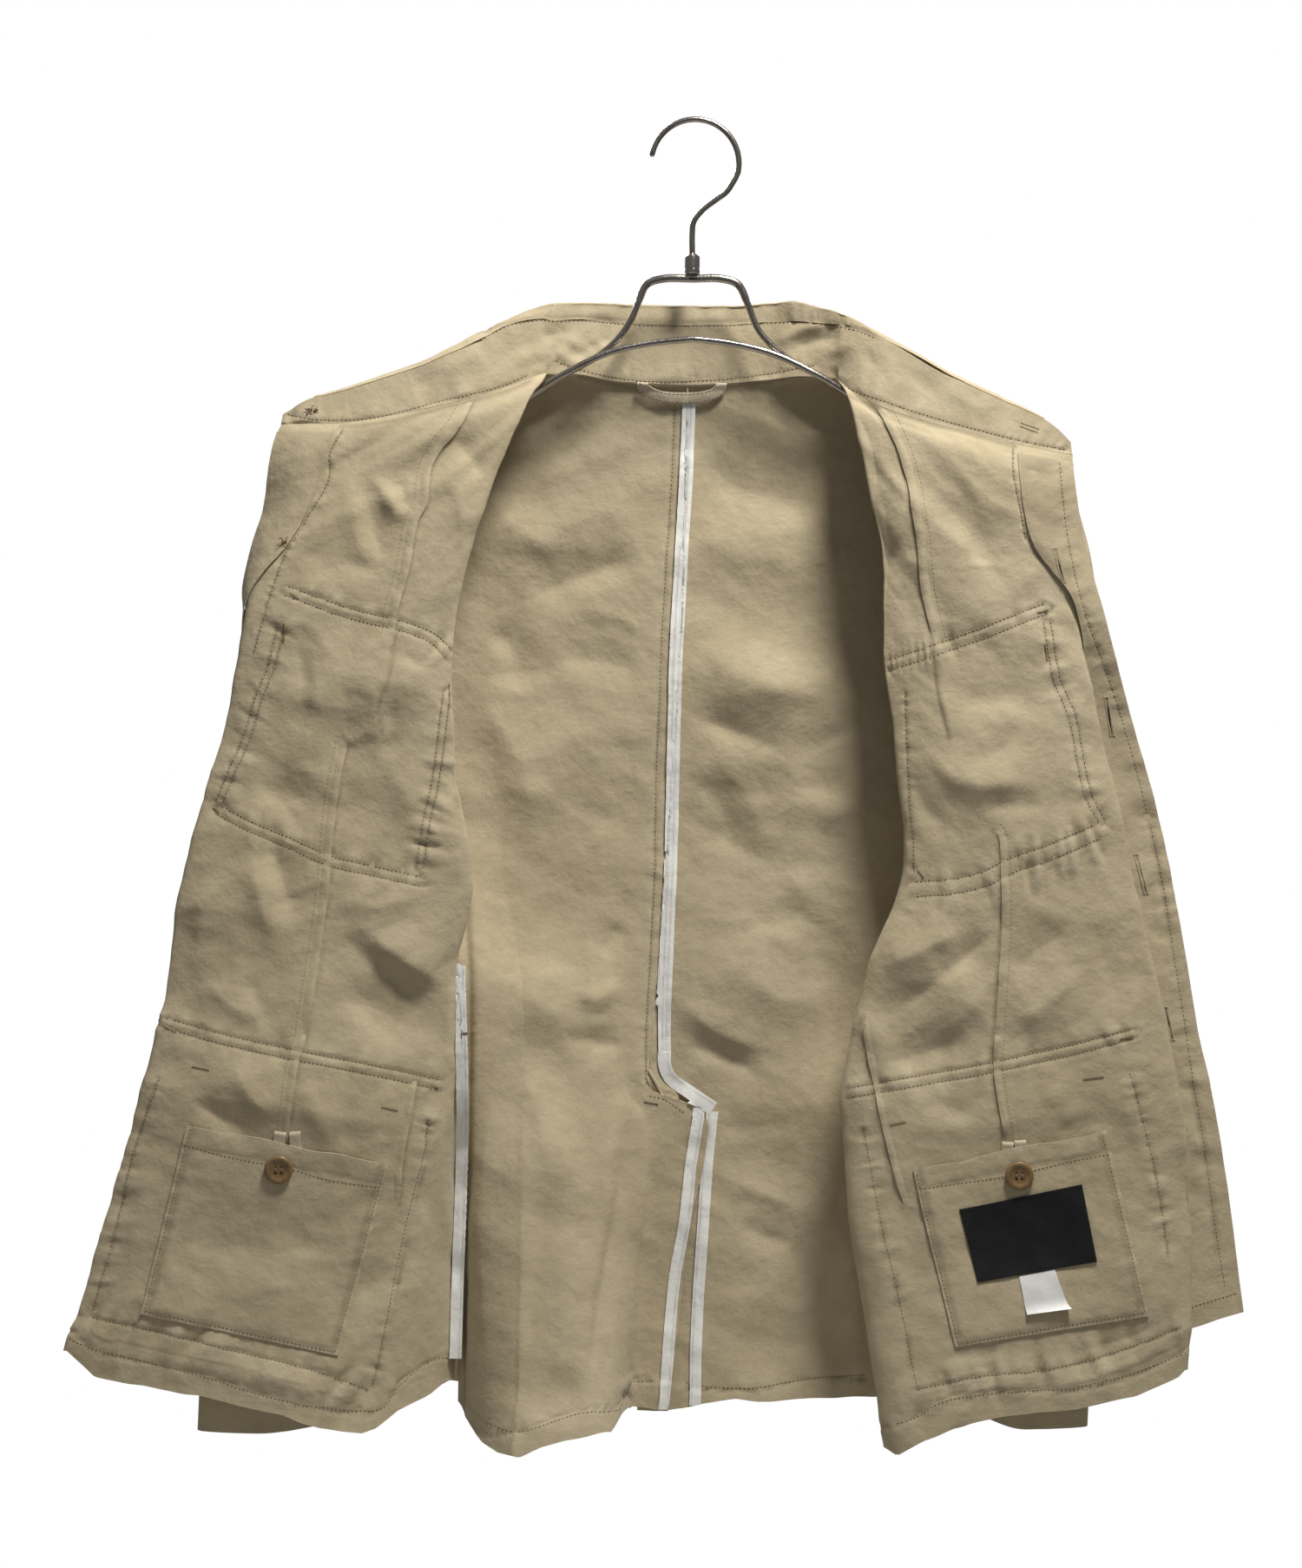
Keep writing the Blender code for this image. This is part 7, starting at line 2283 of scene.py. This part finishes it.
def plackets(fine, made):
    """The button and buttonhole strips on the fronts' edges, with the right one's buttonholes."""
    for name in ("left", "right"):
        front = fine["front_" + name]
        mid, normal, flat = strip_grid(front, STRIP_GRID[0], STRIP_GRID[1])
        normal = unit(normal)
        rise = mid + normal * LAID_LIFT * 0.8
        surface = PieceSurface(rise, normal, np.linspace(1.0, 26.0, STRIP_GRID[0]),
                               np.linspace(*STRIP, STRIP_GRID[1]))
        surface.flat = flat
        ripple(surface, ((0.03, 0.35 * MM, 651, 0.5, 1.6), (0.012, 0.2 * MM, 652, 0.9, 1.5)))
        if name == "right":
            for points, width, height in STRIP_CREASES:
                crease(surface, points, width, height * MM, STRIP)
            pucker(surface, STRIP_EDGE_ROW, (0,), 0.4 * MM, 12, 655, STRIP)
            for a, b in RIGHT_BUTTONHOLES:
                middle = ((a[0] + b[0]) / 2, (a[1] + b[1]) / 2)
                crease(surface, (a, middle, b), 8, 0.6 * MM, STRIP)
            # Painted shade on the strip beside and under the front's fold.
            darken(surface, STRIP_FOLD, 24, STRIP, 0.42)
            darken(surface, STRIP_TOP_FOLD, 34, STRIP, 0.55)
        surface.mid = rise + normal * surface.height[..., None]
        surface.normal = grid_normals(surface.mid, front.side)
        surface.picture = seen(surface.mid)
        node = "placket_" + name
        item = shell("cloth_" + node, surface.mid, surface.normal, front.side < 0, PATCH, flat,
                     {"wear": surface.wear, "shade": surface.shade})
        made[node] = dress(item, finishes["twill"], (node,))
        made["surface_" + node] = surface
    strip = made["surface_placket_right"]
    threads = Threads("stitches_placket")
    for path in (STRIP_EDGE_ROW, STRIP_FOOT_ROW):
        threads.row(strip, path, STRIP, PATCH / 2.0)
    made["stitches_placket"] = threads.make(finishes["thread"])
    holes = Threads("buttonholes_front")
    for a, b in RIGHT_BUTTONHOLES:
        for offset in (-1.9, 1.9):
            a2, b2 = shifted(np.array([a, b], dtype=float), offset)
            holes.tack(strip, a2, b2, STRIP, PATCH / 2.0, 0.9)
        for end in (a, b):
            left, right = (end[0] - 3.0, end[1]), (end[0] + 3.0, end[1])
            holes.tack(strip, left, right, STRIP, PATCH / 2.0, 1.0)
    made["buttonholes_front"] = holes.make(finishes["thread_light"])
    # Black bars that paint the shadow inside each buttonhole's slit.
    slit_shadows = Threads("buttonhole_slit_shadows")
    for a, b in RIGHT_BUTTONHOLES:
        slit_shadow_bar(slit_shadows, strip, a, b, STRIP)
    made["buttonhole_slit_shadows"] = slit_shadows.make(finishes["label"], "twill")


def slit_shadow_bar(slit_shadows, surface, a, b, limits):
    """A black bar that paints the shadow inside a buttonhole's slit."""
    ends = []
    for spot in (a, b):
        row, column, _ = surface.find(spot, *limits)
        up = heading(surface.at(row, column, "normal"))
        ends.append(surface.at(row, column) + up * PATCH * 0.52)
    slit_shadows.bar(ends[0], ends[1], up, 1.1 * MM, 0.3 * MM)


def collar_stitches(fine, made):
    """The collar's stitch rows and buttonhole, and the knots of button thread that show."""
    stand = fine["collar_stand"]
    last = stand.columns[-1]
    threads = Threads("stitches_collar")
    for name in ("seam_left", "seam_back", "seam_right"):
        threads.row(stand, COLLAR_ROWS[name], (0.0, last), CLOTH / 2.0)
    threads.row(stand, shifted(smooth_path(COLLAR_ROWS["top"], 4.0), 3.0), (0.0, last), CLOTH / 2.0)
    made["stitches_collar"] = threads.make(finishes["thread"])
    hole = Threads("collar_buttonhole")
    for offset in (-2.0, 2.0):
        a, b = shifted(np.array([(1176, 489), (1196, 496)], dtype=float), offset)
        hole.tack(stand, a, b, (0.0, last), CLOTH / 2.0, 1.3)
    made["collar_buttonhole"] = hole.make(finishes["thread_light"])
    knots = Threads("thread_knots")
    random = np.random.default_rng(77)
    strip = made["surface_placket_left"]
    for surface, spot, limits, reach in (
        (stand, (360, 473), (0.0, last), (7.0, 3.0)), (strip, (327, 626), STRIP, (5.0, 5.0)),
    ):
        row, column, _ = surface.find(spot, *limits)
        up = heading(surface.at(row, column, "normal"))
        centre = surface.at(row, column) + up * CLOTH / 2.0
        for _ in range(22):
            start = centre + POINT * np.array([random.uniform(-reach[0], reach[0]), 0.0,
                                                   random.uniform(-reach[1], reach[1])])
            way = np.array([random.uniform(-1, 1), 0.0, random.uniform(-1, 1)]) * 2.6 * MM
            knots.bar(start + up * random.uniform(0.1, 1.2) * MM,
                      start + way + up * random.uniform(0.1, 1.2) * MM, up, 0.7 * MM, 0.5 * MM)
    made["thread_knots"] = knots.make(finishes["thread_brown"])


def lathe_button(radius):
    """A four-hole button: a raised rim, a dished middle and a rounded underside."""
    profile = ((0.0, 0.20), (0.28, 0.18), (0.52, 0.20), (0.62, 0.30), (0.70, 0.46), (0.80, 0.50),
               (0.92, 0.44), (0.985, 0.26), (1.0, 0.05), (0.985, -0.16), (0.9, -0.36), (0.7, -0.47),
               (0.4, -0.5), (0.0, -0.5))
    work = bmesh.new()
    sides = 48
    rings = []
    for share, height in profile:
        if share == 0.0:
            rings.append([work.verts.new((0.0, 0.0, height * BUTTON_THICK))])
            continue
        rings.append([
            work.verts.new((radius * share * math.cos(2 * math.pi * k / sides),
                            radius * share * math.sin(2 * math.pi * k / sides),
                            height * BUTTON_THICK))
            for k in range(sides)])
    for upper, lower in zip(rings[:-1], rings[1:]):
        for k in range(sides):
            n = (k + 1) % sides
            if len(upper) == 1:
                work.faces.new((upper[0], lower[k], lower[n]))
            elif len(lower) == 1:
                work.faces.new((upper[k], lower[0], upper[n]))
            else:
                work.faces.new((upper[k], lower[k], lower[n], upper[n]))
    bmesh.ops.recalc_face_normals(work, faces=work.faces)
    return worked_mesh("button_body", work)


def holed_button(radius):
    """Cuts the four holes once, so that every button of this size shares the mesh."""
    body = linked("button_body", lathe_button(radius))
    work = bmesh.new()
    reach = radius * 0.2
    for x, y in ((reach, reach), (-reach, reach), (-reach, -reach), (reach, -reach)):
        made = bmesh.ops.create_cone(work, cap_ends=True, segments=16, radius1=radius * 0.105,
                                     radius2=radius * 0.105, depth=BUTTON_THICK * 3.0)
        bmesh.ops.translate(work, verts=made["verts"], vec=(x, y, 0.0))
    drill = linked("button_drill", worked_mesh("button_drill", work))
    cutter = body.modifiers.new("holes", "BOOLEAN")
    cutter.operation = "DIFFERENCE"
    cutter.solver = "EXACT"
    cutter.object = drill
    bpy.context.view_layer.update()
    mesh = bpy.data.meshes.new_from_object(body.evaluated_get(bpy.context.evaluated_depsgraph_get()))
    bpy.data.objects.remove(body, do_unlink=True)
    bpy.data.objects.remove(drill, do_unlink=True)
    mesh.polygons.foreach_set("use_smooth", np.ones(len(mesh.polygons), dtype=bool))
    mesh.set_sharp_from_angle(angle=math.radians(38.0))
    return mesh


def place_button(node, mesh, centre, normal, threads, radius):
    """One button turned to its cloth, with two double stitches across its holes."""
    item = linked("cloth_" + node, mesh.copy())
    turn = Vector(normal).to_track_quat("Z", "Y")
    item.rotation_mode = "QUATERNION"
    item.rotation_quaternion = turn
    item.location = Vector(centre)
    bpy.context.view_layer.update()
    item.data.materials.clear()
    dress(item, finishes["button"], (node,))
    reach = radius * 0.2
    for x in (reach, -reach):
        ends = []
        for y in (reach, -reach):
            ends.append(np.array(Vector(centre) + turn @ Vector((x, y, BUTTON_THICK * 0.2))))
        for nudge in (-0.35 * MM, 0.35 * MM):
            aside = np.array(turn @ Vector((nudge, 0.0, 0.0)))
            threads.bar(ends[0] + aside, ends[1] + aside, np.array(normal), 0.7 * MM, 0.35 * MM)


INNER_BUTTON_RADIUS = 9.8 * MM
FRONT_BUTTON_RADIUS = 9.0 * MM
COLLAR_BUTTON_RADIUS = 7.2 * MM
BUTTON_THICK = 2.8 * MM
# How far a button's underside stands off the cloth that it is sewn to.
BUTTON_OFF = 0.4 * MM
HIDDEN_BUTTON_OFF = 0.6 * MM
INNER_BUTTONS = {"left": (321, 1347), "right": (1174, 1354)}


def buttons(fine, made):
    """Every button with its threads: two inner, four on the flaps, four in front, one on the collar."""
    threads = Threads("threads_buttons")
    inner = holed_button(INNER_BUTTON_RADIUS)
    outer = holed_button(FRONT_BUTTON_RADIUS)
    small = holed_button(COLLAR_BUTTON_RADIUS)
    for name, spot in INNER_BUTTONS.items():
        pocket = made["surface_inner_pocket_" + name]
        row, column, _ = pocket.find(spot, 0, POCKET_COLUMNS - 1)
        normal = smooth_normal(pocket, row, column)
        centre = pocket.at(row, column) + normal * (PATCH / 2.0 + BUTTON_THICK / 2.0 + BUTTON_OFF)
        node = "inner_button_" + name
        place_button(node, inner, centre, normal, threads, INNER_BUTTON_RADIUS)
    spots = []
    for name in ("left", "right"):
        front = fine["front_" + name]
        spots.append(("chest_flap_button_" + name, front, *CHEST_FLAP_BUTTON, 2))
        spots.append(("lower_flap_button_" + name, front, *LOWER_FLAP_BUTTON, 2))
    for number, row in enumerate(FRONT_BUTTON_ROWS):
        spots.append(("front_button_%d" % (number + 1), fine["front_left"], row,
                      FRONT_BUTTON_COLUMN, 0))
    for node, cloth, row, column, layers in spots:
        i, j = cloth.nearest(row, "rows"), cloth.nearest(column, "columns")
        normal = -smooth_normal(cloth, i, j)
        lift = CLOTH / 2.0 + BUTTON_THICK / 2.0 + HIDDEN_BUTTON_OFF + layers * NEXT_LIFT
        if layers:
            lift += HIDDEN_BUTTON_OFF
        place_button(node, outer, cloth.at(i, j) + normal * lift, normal, threads,
                     FRONT_BUTTON_RADIUS)
    stand = fine["collar_stand"]
    i, j = stand.nearest(COLLAR_BUTTON[0], "rows"), stand.nearest(COLLAR_BUTTON[1], "columns")
    normal = -smooth_normal(stand, i, j)
    place_button("collar_button", small,
                 stand.at(i, j) + normal * (CLOTH / 2.0 + BUTTON_THICK / 2.0 + BUTTON_OFF), normal,
                 threads, COLLAR_BUTTON_RADIUS)
    made["threads_buttons"] = threads.make(finishes["thread_brown"], "button")


def smooth_normal(surface, row, column, reach=4):
    """The mean normal of a cloth round a place."""
    total = np.zeros(3)
    rows, columns = surface.normal.shape[:2]
    for i in range(-reach, reach + 1, 2):
        for j in range(-reach, reach + 1, 2):
            total += surface.normal[min(max(int(row) + i, 0), rows - 1),
                                    min(max(int(column) + j, 0), columns - 1)]
    return heading(total)


LOOP_LEGS = {
    "left": (((322, 1330), (321.5, 1318), (323.5, 1303)), ((341.5, 1330), (341, 1318), (340, 1303))),
    "right": (((1160, 1338), (1160, 1328), (1161, 1315)), ((1177, 1338), (1176, 1328), (1175, 1313))),
}


def button_loops(fine, made):
    """Each inner button's loop: two flat legs that come up from behind the pocket's edge."""
    for name, legs in LOOP_LEGS.items():
        front = fine["front_" + name]
        node = "button_loop_" + name
        for number, leg in enumerate(legs):
            line = smooth_path(leg, 1.6)
            across = np.linspace(-1.0, 1.0, 7)
            spots = np.stack([shifted(line, 6.6 * share) for share in across], axis=1)
            mid, normal = picture_grid(((front, *FACE),), spots)
            along = np.linspace(0.0, 1.0, len(line))
            height = (0.9 + 1.5 * along)[:, None] * MM + 0.25 * MM * (1 - across ** 2)[None, :]
            height = height - 1.2 * MM * (np.clip((along - 0.9) / 0.1, 0.0, 1.0) ** 2)[:, None]
            rise = mid + normal * height[..., None]
            key = "cloth_%s_%d" % (node, number + 1)
            made[key] = laid_piece(key, rise, normal, 0.8 * MM, finishes["twill_loop"],
                                   (node,), np.full(rise.shape[:2], 0.5))


LOOP_PATH = ((741, 438), (741, 446), (749, 453), (768, 458), (786, 459), (804, 458), (822, 454),
             (830, 447), (831, 438))


def hanger_loop(fine, made):
    """A folded strip across the back of the neck, sagging between its two sewn ends."""
    surfaces = [(fine[name], *ALL_BACK) for name in ("back_left", "back_right")]
    line = smooth_path(LOOP_PATH, 2.0)
    across = np.linspace(-1.0, 1.0, 7)
    spots = np.stack([shifted(line, 6.2 * share) for share in across], axis=1)
    mid = picture_grid(surfaces, spots)[0]
    share = np.linspace(0.0, 1.0, len(line))
    bow = np.sin(np.pi * share) ** 0.6
    height = (1.3 + 2.2 * bow)[:, None] * MM + 0.35 * MM * (1 - across ** 2)[None, :]
    base = np.array([0.0, -1.0, 0.0])
    mid[..., 1] = np.minimum(mid[..., 1], mid[..., 1].mean() + 3.0 * MM)
    rise = mid + base * height[..., None]
    made["hanger_loop"] = laid_piece("cloth_hanger_loop", rise, np.broadcast_to(base, rise.shape),
                                     LOOP, finishes["twill_loop"], ("hanger_loop",),
                                     np.full(rise.shape[:2], 0.25))
    surface = PieceSurface(rise, np.broadcast_to(base, rise.shape).copy())
    threads = Threads("stitches_hanger_loop")
    for offset in (4.6, -4.6):
        threads.row(surface, shifted(line, offset), (0, 6), LOOP / 2.0, width=0.45, height=0.12)
    made["stitches_hanger_loop"] = threads.make(finishes["thread"])


def sweep(name, points, radii, sides, closed=False):
    """A tube along a line; radii holds the half width along Y and the half height in the plane."""
    points = np.asarray(points, dtype=float)
    count = len(points)
    if closed:
        along = np.roll(points, -1, axis=0) - np.roll(points, 1, axis=0)
    else:
        along = np.gradient(points, axis=0)
    along = unit(along)
    depth = np.zeros_like(points)
    depth[:, 1] = 1.0
    other = unit(np.cross(along, depth))
    depth = unit(np.cross(other, along))
    turn = np.arange(sides) / sides * 2.0 * math.pi
    ring = (points[:, None]
            + depth[:, None] * (radii[:, 0, None] * np.cos(turn)[None])[..., None]
            + other[:, None] * (radii[:, 1, None] * np.sin(turn)[None])[..., None])
    vertices = ring.reshape(-1, 3)
    spans = count if closed else count - 1
    i, j = np.meshgrid(np.arange(spans), np.arange(sides), indexing="ij")
    i, j = i.ravel(), j.ravel()
    n, m = (i + 1) % count, (j + 1) % sides
    faces = [np.stack([i * sides + j, n * sides + j, n * sides + m, i * sides + m], axis=1)]
    if not closed:
        middle = len(vertices)
        vertices = np.concatenate([vertices, points[:1], points[-1:]])
        k = np.arange(sides)
        n = (k + 1) % sides
        foot = (count - 1) * sides
        faces.append(np.stack([k, n, np.full(sides, middle)], axis=1))
        faces.append(np.stack([foot + n, foot + k, np.full(sides, middle + 1)], axis=1))
    item = mesh_piece(name, vertices, faces)
    turn_faces_out(item.data)
    return item


HOOK_WIRE = 2.0 * MM
HOOK_ROUND = 30.8 * MM
HOOK_SIDE = 2.0 * MM
FRAME_WIRE = 2.3 * MM
FERRULE_TOP = -93.0 * MM
FERRULE_LENGTH = 14.0 * MM
FERRULE_RADIUS = 5.2 * MM


def wire_line(points):
    """A smooth line with eight steps in each span."""
    return smooth_line(points, [np.arange(1, 9) / 8.0] * (len(points) - 1))


def hook():
    """The bent wire hook, with a rounded tip."""
    centre = np.array([HOOK_SIDE, 0.0, HOOK_WIRE - HOOK_ROUND])
    bow = [centre + HOOK_ROUND * np.array([math.cos(a), 0.0, math.sin(a)])
           for a in np.radians(np.linspace(172.0, -12.0, 65))]
    stem = np.array(HOOK_STEM, dtype=float) * MM
    stem[-1, 2] = FERRULE_TOP + SEAM_GAP
    path = np.concatenate([bow, wire_line(stem)])
    radii = np.full((len(path), 2), HOOK_WIRE)
    for place, share in ((0, 0.55), (1, 0.9)):
        radii[place] *= share
    path[0] += (path[1] - path[0]) * 0.3
    item = sweep("steel_hanger_hook", path, radii, 20)
    return dress(item, finishes["steel"], ("hanger_hook",))


def ferrule():
    """The turned sleeve between hook and frame, with its groove and chamfers."""
    top = FERRULE_TOP
    foot = FERRULE_TOP - FERRULE_LENGTH
    profile = ((0.0, top), (0.62, top), (0.70, top - 0.3 * MM), (0.98, top - 1.6 * MM),
               (1.0, top - 2.0 * MM), (1.0, top - 9.6 * MM), (0.93, top - 9.9 * MM),
               (0.93, top - 10.5 * MM), (1.0, top - 10.8 * MM), (1.0, foot + 0.8 * MM),
               (0.9, foot + 0.1 * MM), (0.0, foot))
    sides = 40
    points = []
    for share, height in profile:
        for k in range(sides):
            angle = 2.0 * math.pi * k / sides
            points.append((FERRULE_RADIUS * share * math.cos(angle),
                           FERRULE_RADIUS * share * math.sin(angle), height))
    i, j = np.meshgrid(np.arange(len(profile) - 1), np.arange(sides), indexing="ij")
    i, j = i.ravel(), j.ravel()
    n = (j + 1) % sides
    faces = [np.stack([i * sides + j, (i + 1) * sides + j, (i + 1) * sides + n, i * sides + n], axis=1)]
    item = mesh_piece("steel_hanger_ferrule", points, faces)
    turn_faces_out(item.data, 1e-7)
    item.data.set_sharp_from_angle(angle=math.radians(25.0))
    return dress(item, finishes["steel"], ("hanger_ferrule",))


def hanger_frame():
    """The looped wire: both legs, the round arm ends and the arc in front."""
    left_leg, right_leg, left_arc, right_arc = (
        wire_line(np.array(path) * MM)
        for path in (FRAME_LEG_LEFT, FRAME_LEG_RIGHT, FRAME_ARC_LEFT, FRAME_ARC_RIGHT))
    path = np.concatenate([left_leg, arm_turn(-1.0), left_arc[::-1], right_arc[1:],
                           arm_turn(1.0)[::-1], right_leg[:0:-1]])
    # The top of the arch is pressed a little higher than the wire is thick.
    reach = np.clip((np.abs(path[:, 0]) - 30.0 * MM) / (16.0 * MM), 0.0, 1.0)
    top = (path[:, 2] > -125.0 * MM) * (1.0 - reach)
    radii = np.stack([np.full(len(path), FRAME_WIRE), FRAME_WIRE * (1.0 + 0.22 * top)], axis=1)
    item = sweep("steel_hanger_frame", path, radii, 16, closed=True)
    return dress(item, finishes["steel"], ("hanger_frame",))


def slot_shadow():
    """A black bar that paints the shadow inside the slot in the front of the arch, under the ferrule.
    """
    work = bmesh.new()
    bmesh.ops.create_cube(work, size=1.0)
    bmesh.ops.scale(work, verts=work.verts, vec=(5.6 * MM, 0.5 * MM, 1.1 * MM))
    bmesh.ops.bevel(work, geom=list(work.edges), offset=0.2 * MM, segments=2, affect="EDGES")
    bmesh.ops.translate(work, verts=work.verts, vec=(0.5 * MM, -2.25 * MM, -110.3 * MM))
    return dress(linked("steel_slot_shadow", worked_mesh("steel_slot_shadow", work)),
                 finishes["label"])


def arm_turn(side):
    """The round end of an arm, from the leg's side at the back to the arc's at the front."""
    end = np.array(ARM_END, dtype=float) * MM
    points = []
    for angle in np.radians(np.linspace(90.0, -90.0, 9)):
        points.append([side * (end[0] - ARM_TURN + ARM_TURN * math.cos(angle)),
                       ARM_TURN * math.sin(angle), end[2]])
    return np.array(points)


def area_light(name, place, target, size, power, colour=(1.0, 1.0, 1.0)):
    data = bpy.data.lights.new(name, "AREA")
    data.shape = "DISK"
    data.size = size
    data.energy = power
    data.color = colour
    item = linked(name, data)
    item.location = place
    way = Vector(target) - Vector(place)
    item.rotation_mode = "QUATERNION"
    item.rotation_quaternion = way.to_track_quat("-Z", "Y")
    return item


def world_light(low, high):
    """A white surround, with a softer light on the object that is brighter from above."""
    world = bpy.data.worlds.new("studio")
    bpy.context.scene.world = world
    world.use_nodes = True
    nodes, links = world.node_tree.nodes, world.node_tree.links
    nodes.clear()
    out = nodes.new("ShaderNodeOutputWorld")
    white = nodes.new("ShaderNodeBackground")
    white.inputs["Color"].default_value = (1.0, 1.0, 1.0, 1.0)
    soft = nodes.new("ShaderNodeBackground")
    soft.inputs["Color"].default_value = (1.0, 1.0, 1.0, 1.0)
    way = nodes.new("ShaderNodeTexCoord")
    split = nodes.new("ShaderNodeSeparateXYZ")
    links.new(way.outputs["Generated"], split.inputs["Vector"])
    level = ranged(nodes, links, split.outputs["Z"], -1.0, 1.0, low, high)
    links.new(level, soft.inputs["Strength"])
    seen_by = nodes.new("ShaderNodeLightPath")
    mix = nodes.new("ShaderNodeMixShader")
    links.new(seen_by.outputs["Is Camera Ray"], mix.inputs["Fac"])
    links.new(soft.outputs["Background"], mix.inputs[1])
    links.new(white.outputs["Background"], mix.inputs[2])
    links.new(mix.outputs["Shader"], out.inputs["Surface"])


def studio():
    """The lights, the floor and the level camera at the photograph's viewing angle."""
    world_light(0.25 * 0.15, 1.6 * 0.15)
    area_light("key", (0.5, -0.78, 1.35), (0.0, 0.0, -0.45), 0.5, 60.0, (1.0, 0.985, 0.95))
    behind = area_light("behind", (-0.9, 2.2, 1.1), (0.0, 0.0, -0.45), 1.2, 60.0)
    behind.visible_camera = False
    work = bmesh.new()
    bmesh.ops.create_circle(work, cap_ends=True, segments=96, radius=1.1)
    floor = linked("floor", worked_mesh("floor", work))
    floor.location = (-0.03, -0.1, -1.32)
    floor.data.materials.append(node_finish("pale_floor", (0.42, 0.42, 0.41), 0.8)[0])
    camera_data = bpy.data.cameras.new("camera")
    camera_data.sensor_width = SENSOR
    camera_data.sensor_fit = "AUTO"
    camera_data.lens = SENSOR * -CAMERA[1] / (IMAGE[1] * POINT)
    camera_data.dof.use_dof = False
    camera = linked("camera", camera_data)
    camera.location = CAMERA
    camera.rotation_euler = (math.radians(90.0), 0.0, 0.0)
    bpy.context.scene.camera = camera
    bpy.context.scene.view_settings.view_transform = "Standard"


def build():
    fine = make_surfaces()
    relief_front(fine["front_left"], LEFT_SEAMS, LEFT_TUCKS, LEFT_CREASES, 101)
    relief_front(fine["front_right"], RIGHT_SEAMS, RIGHT_TUCKS, RIGHT_CREASES, 201)
    relief_backs(fine)
    relief_sleeves(fine)
    relief_collar(fine)
    settle_all(fine)
    made = whole_cloths(fine)
    outer_pieces(fine, made)
    inner_pockets(fine, made)
    labels(made)
    tapes(fine, made)
    front_stitches(fine, made)
    tuck_stitches(fine, made)
    tuck_lips(fine, made)
    plackets(fine, made)
    collar_stitches(fine, made)
    buttons(fine, made)
    button_loops(fine, made)
    hanger_loop(fine, made)
    made["hook"] = hook()
    made["ferrule"] = ferrule()
    made["frame"] = hanger_frame()
    slot_shadow()
    studio()
    return made


made = build()
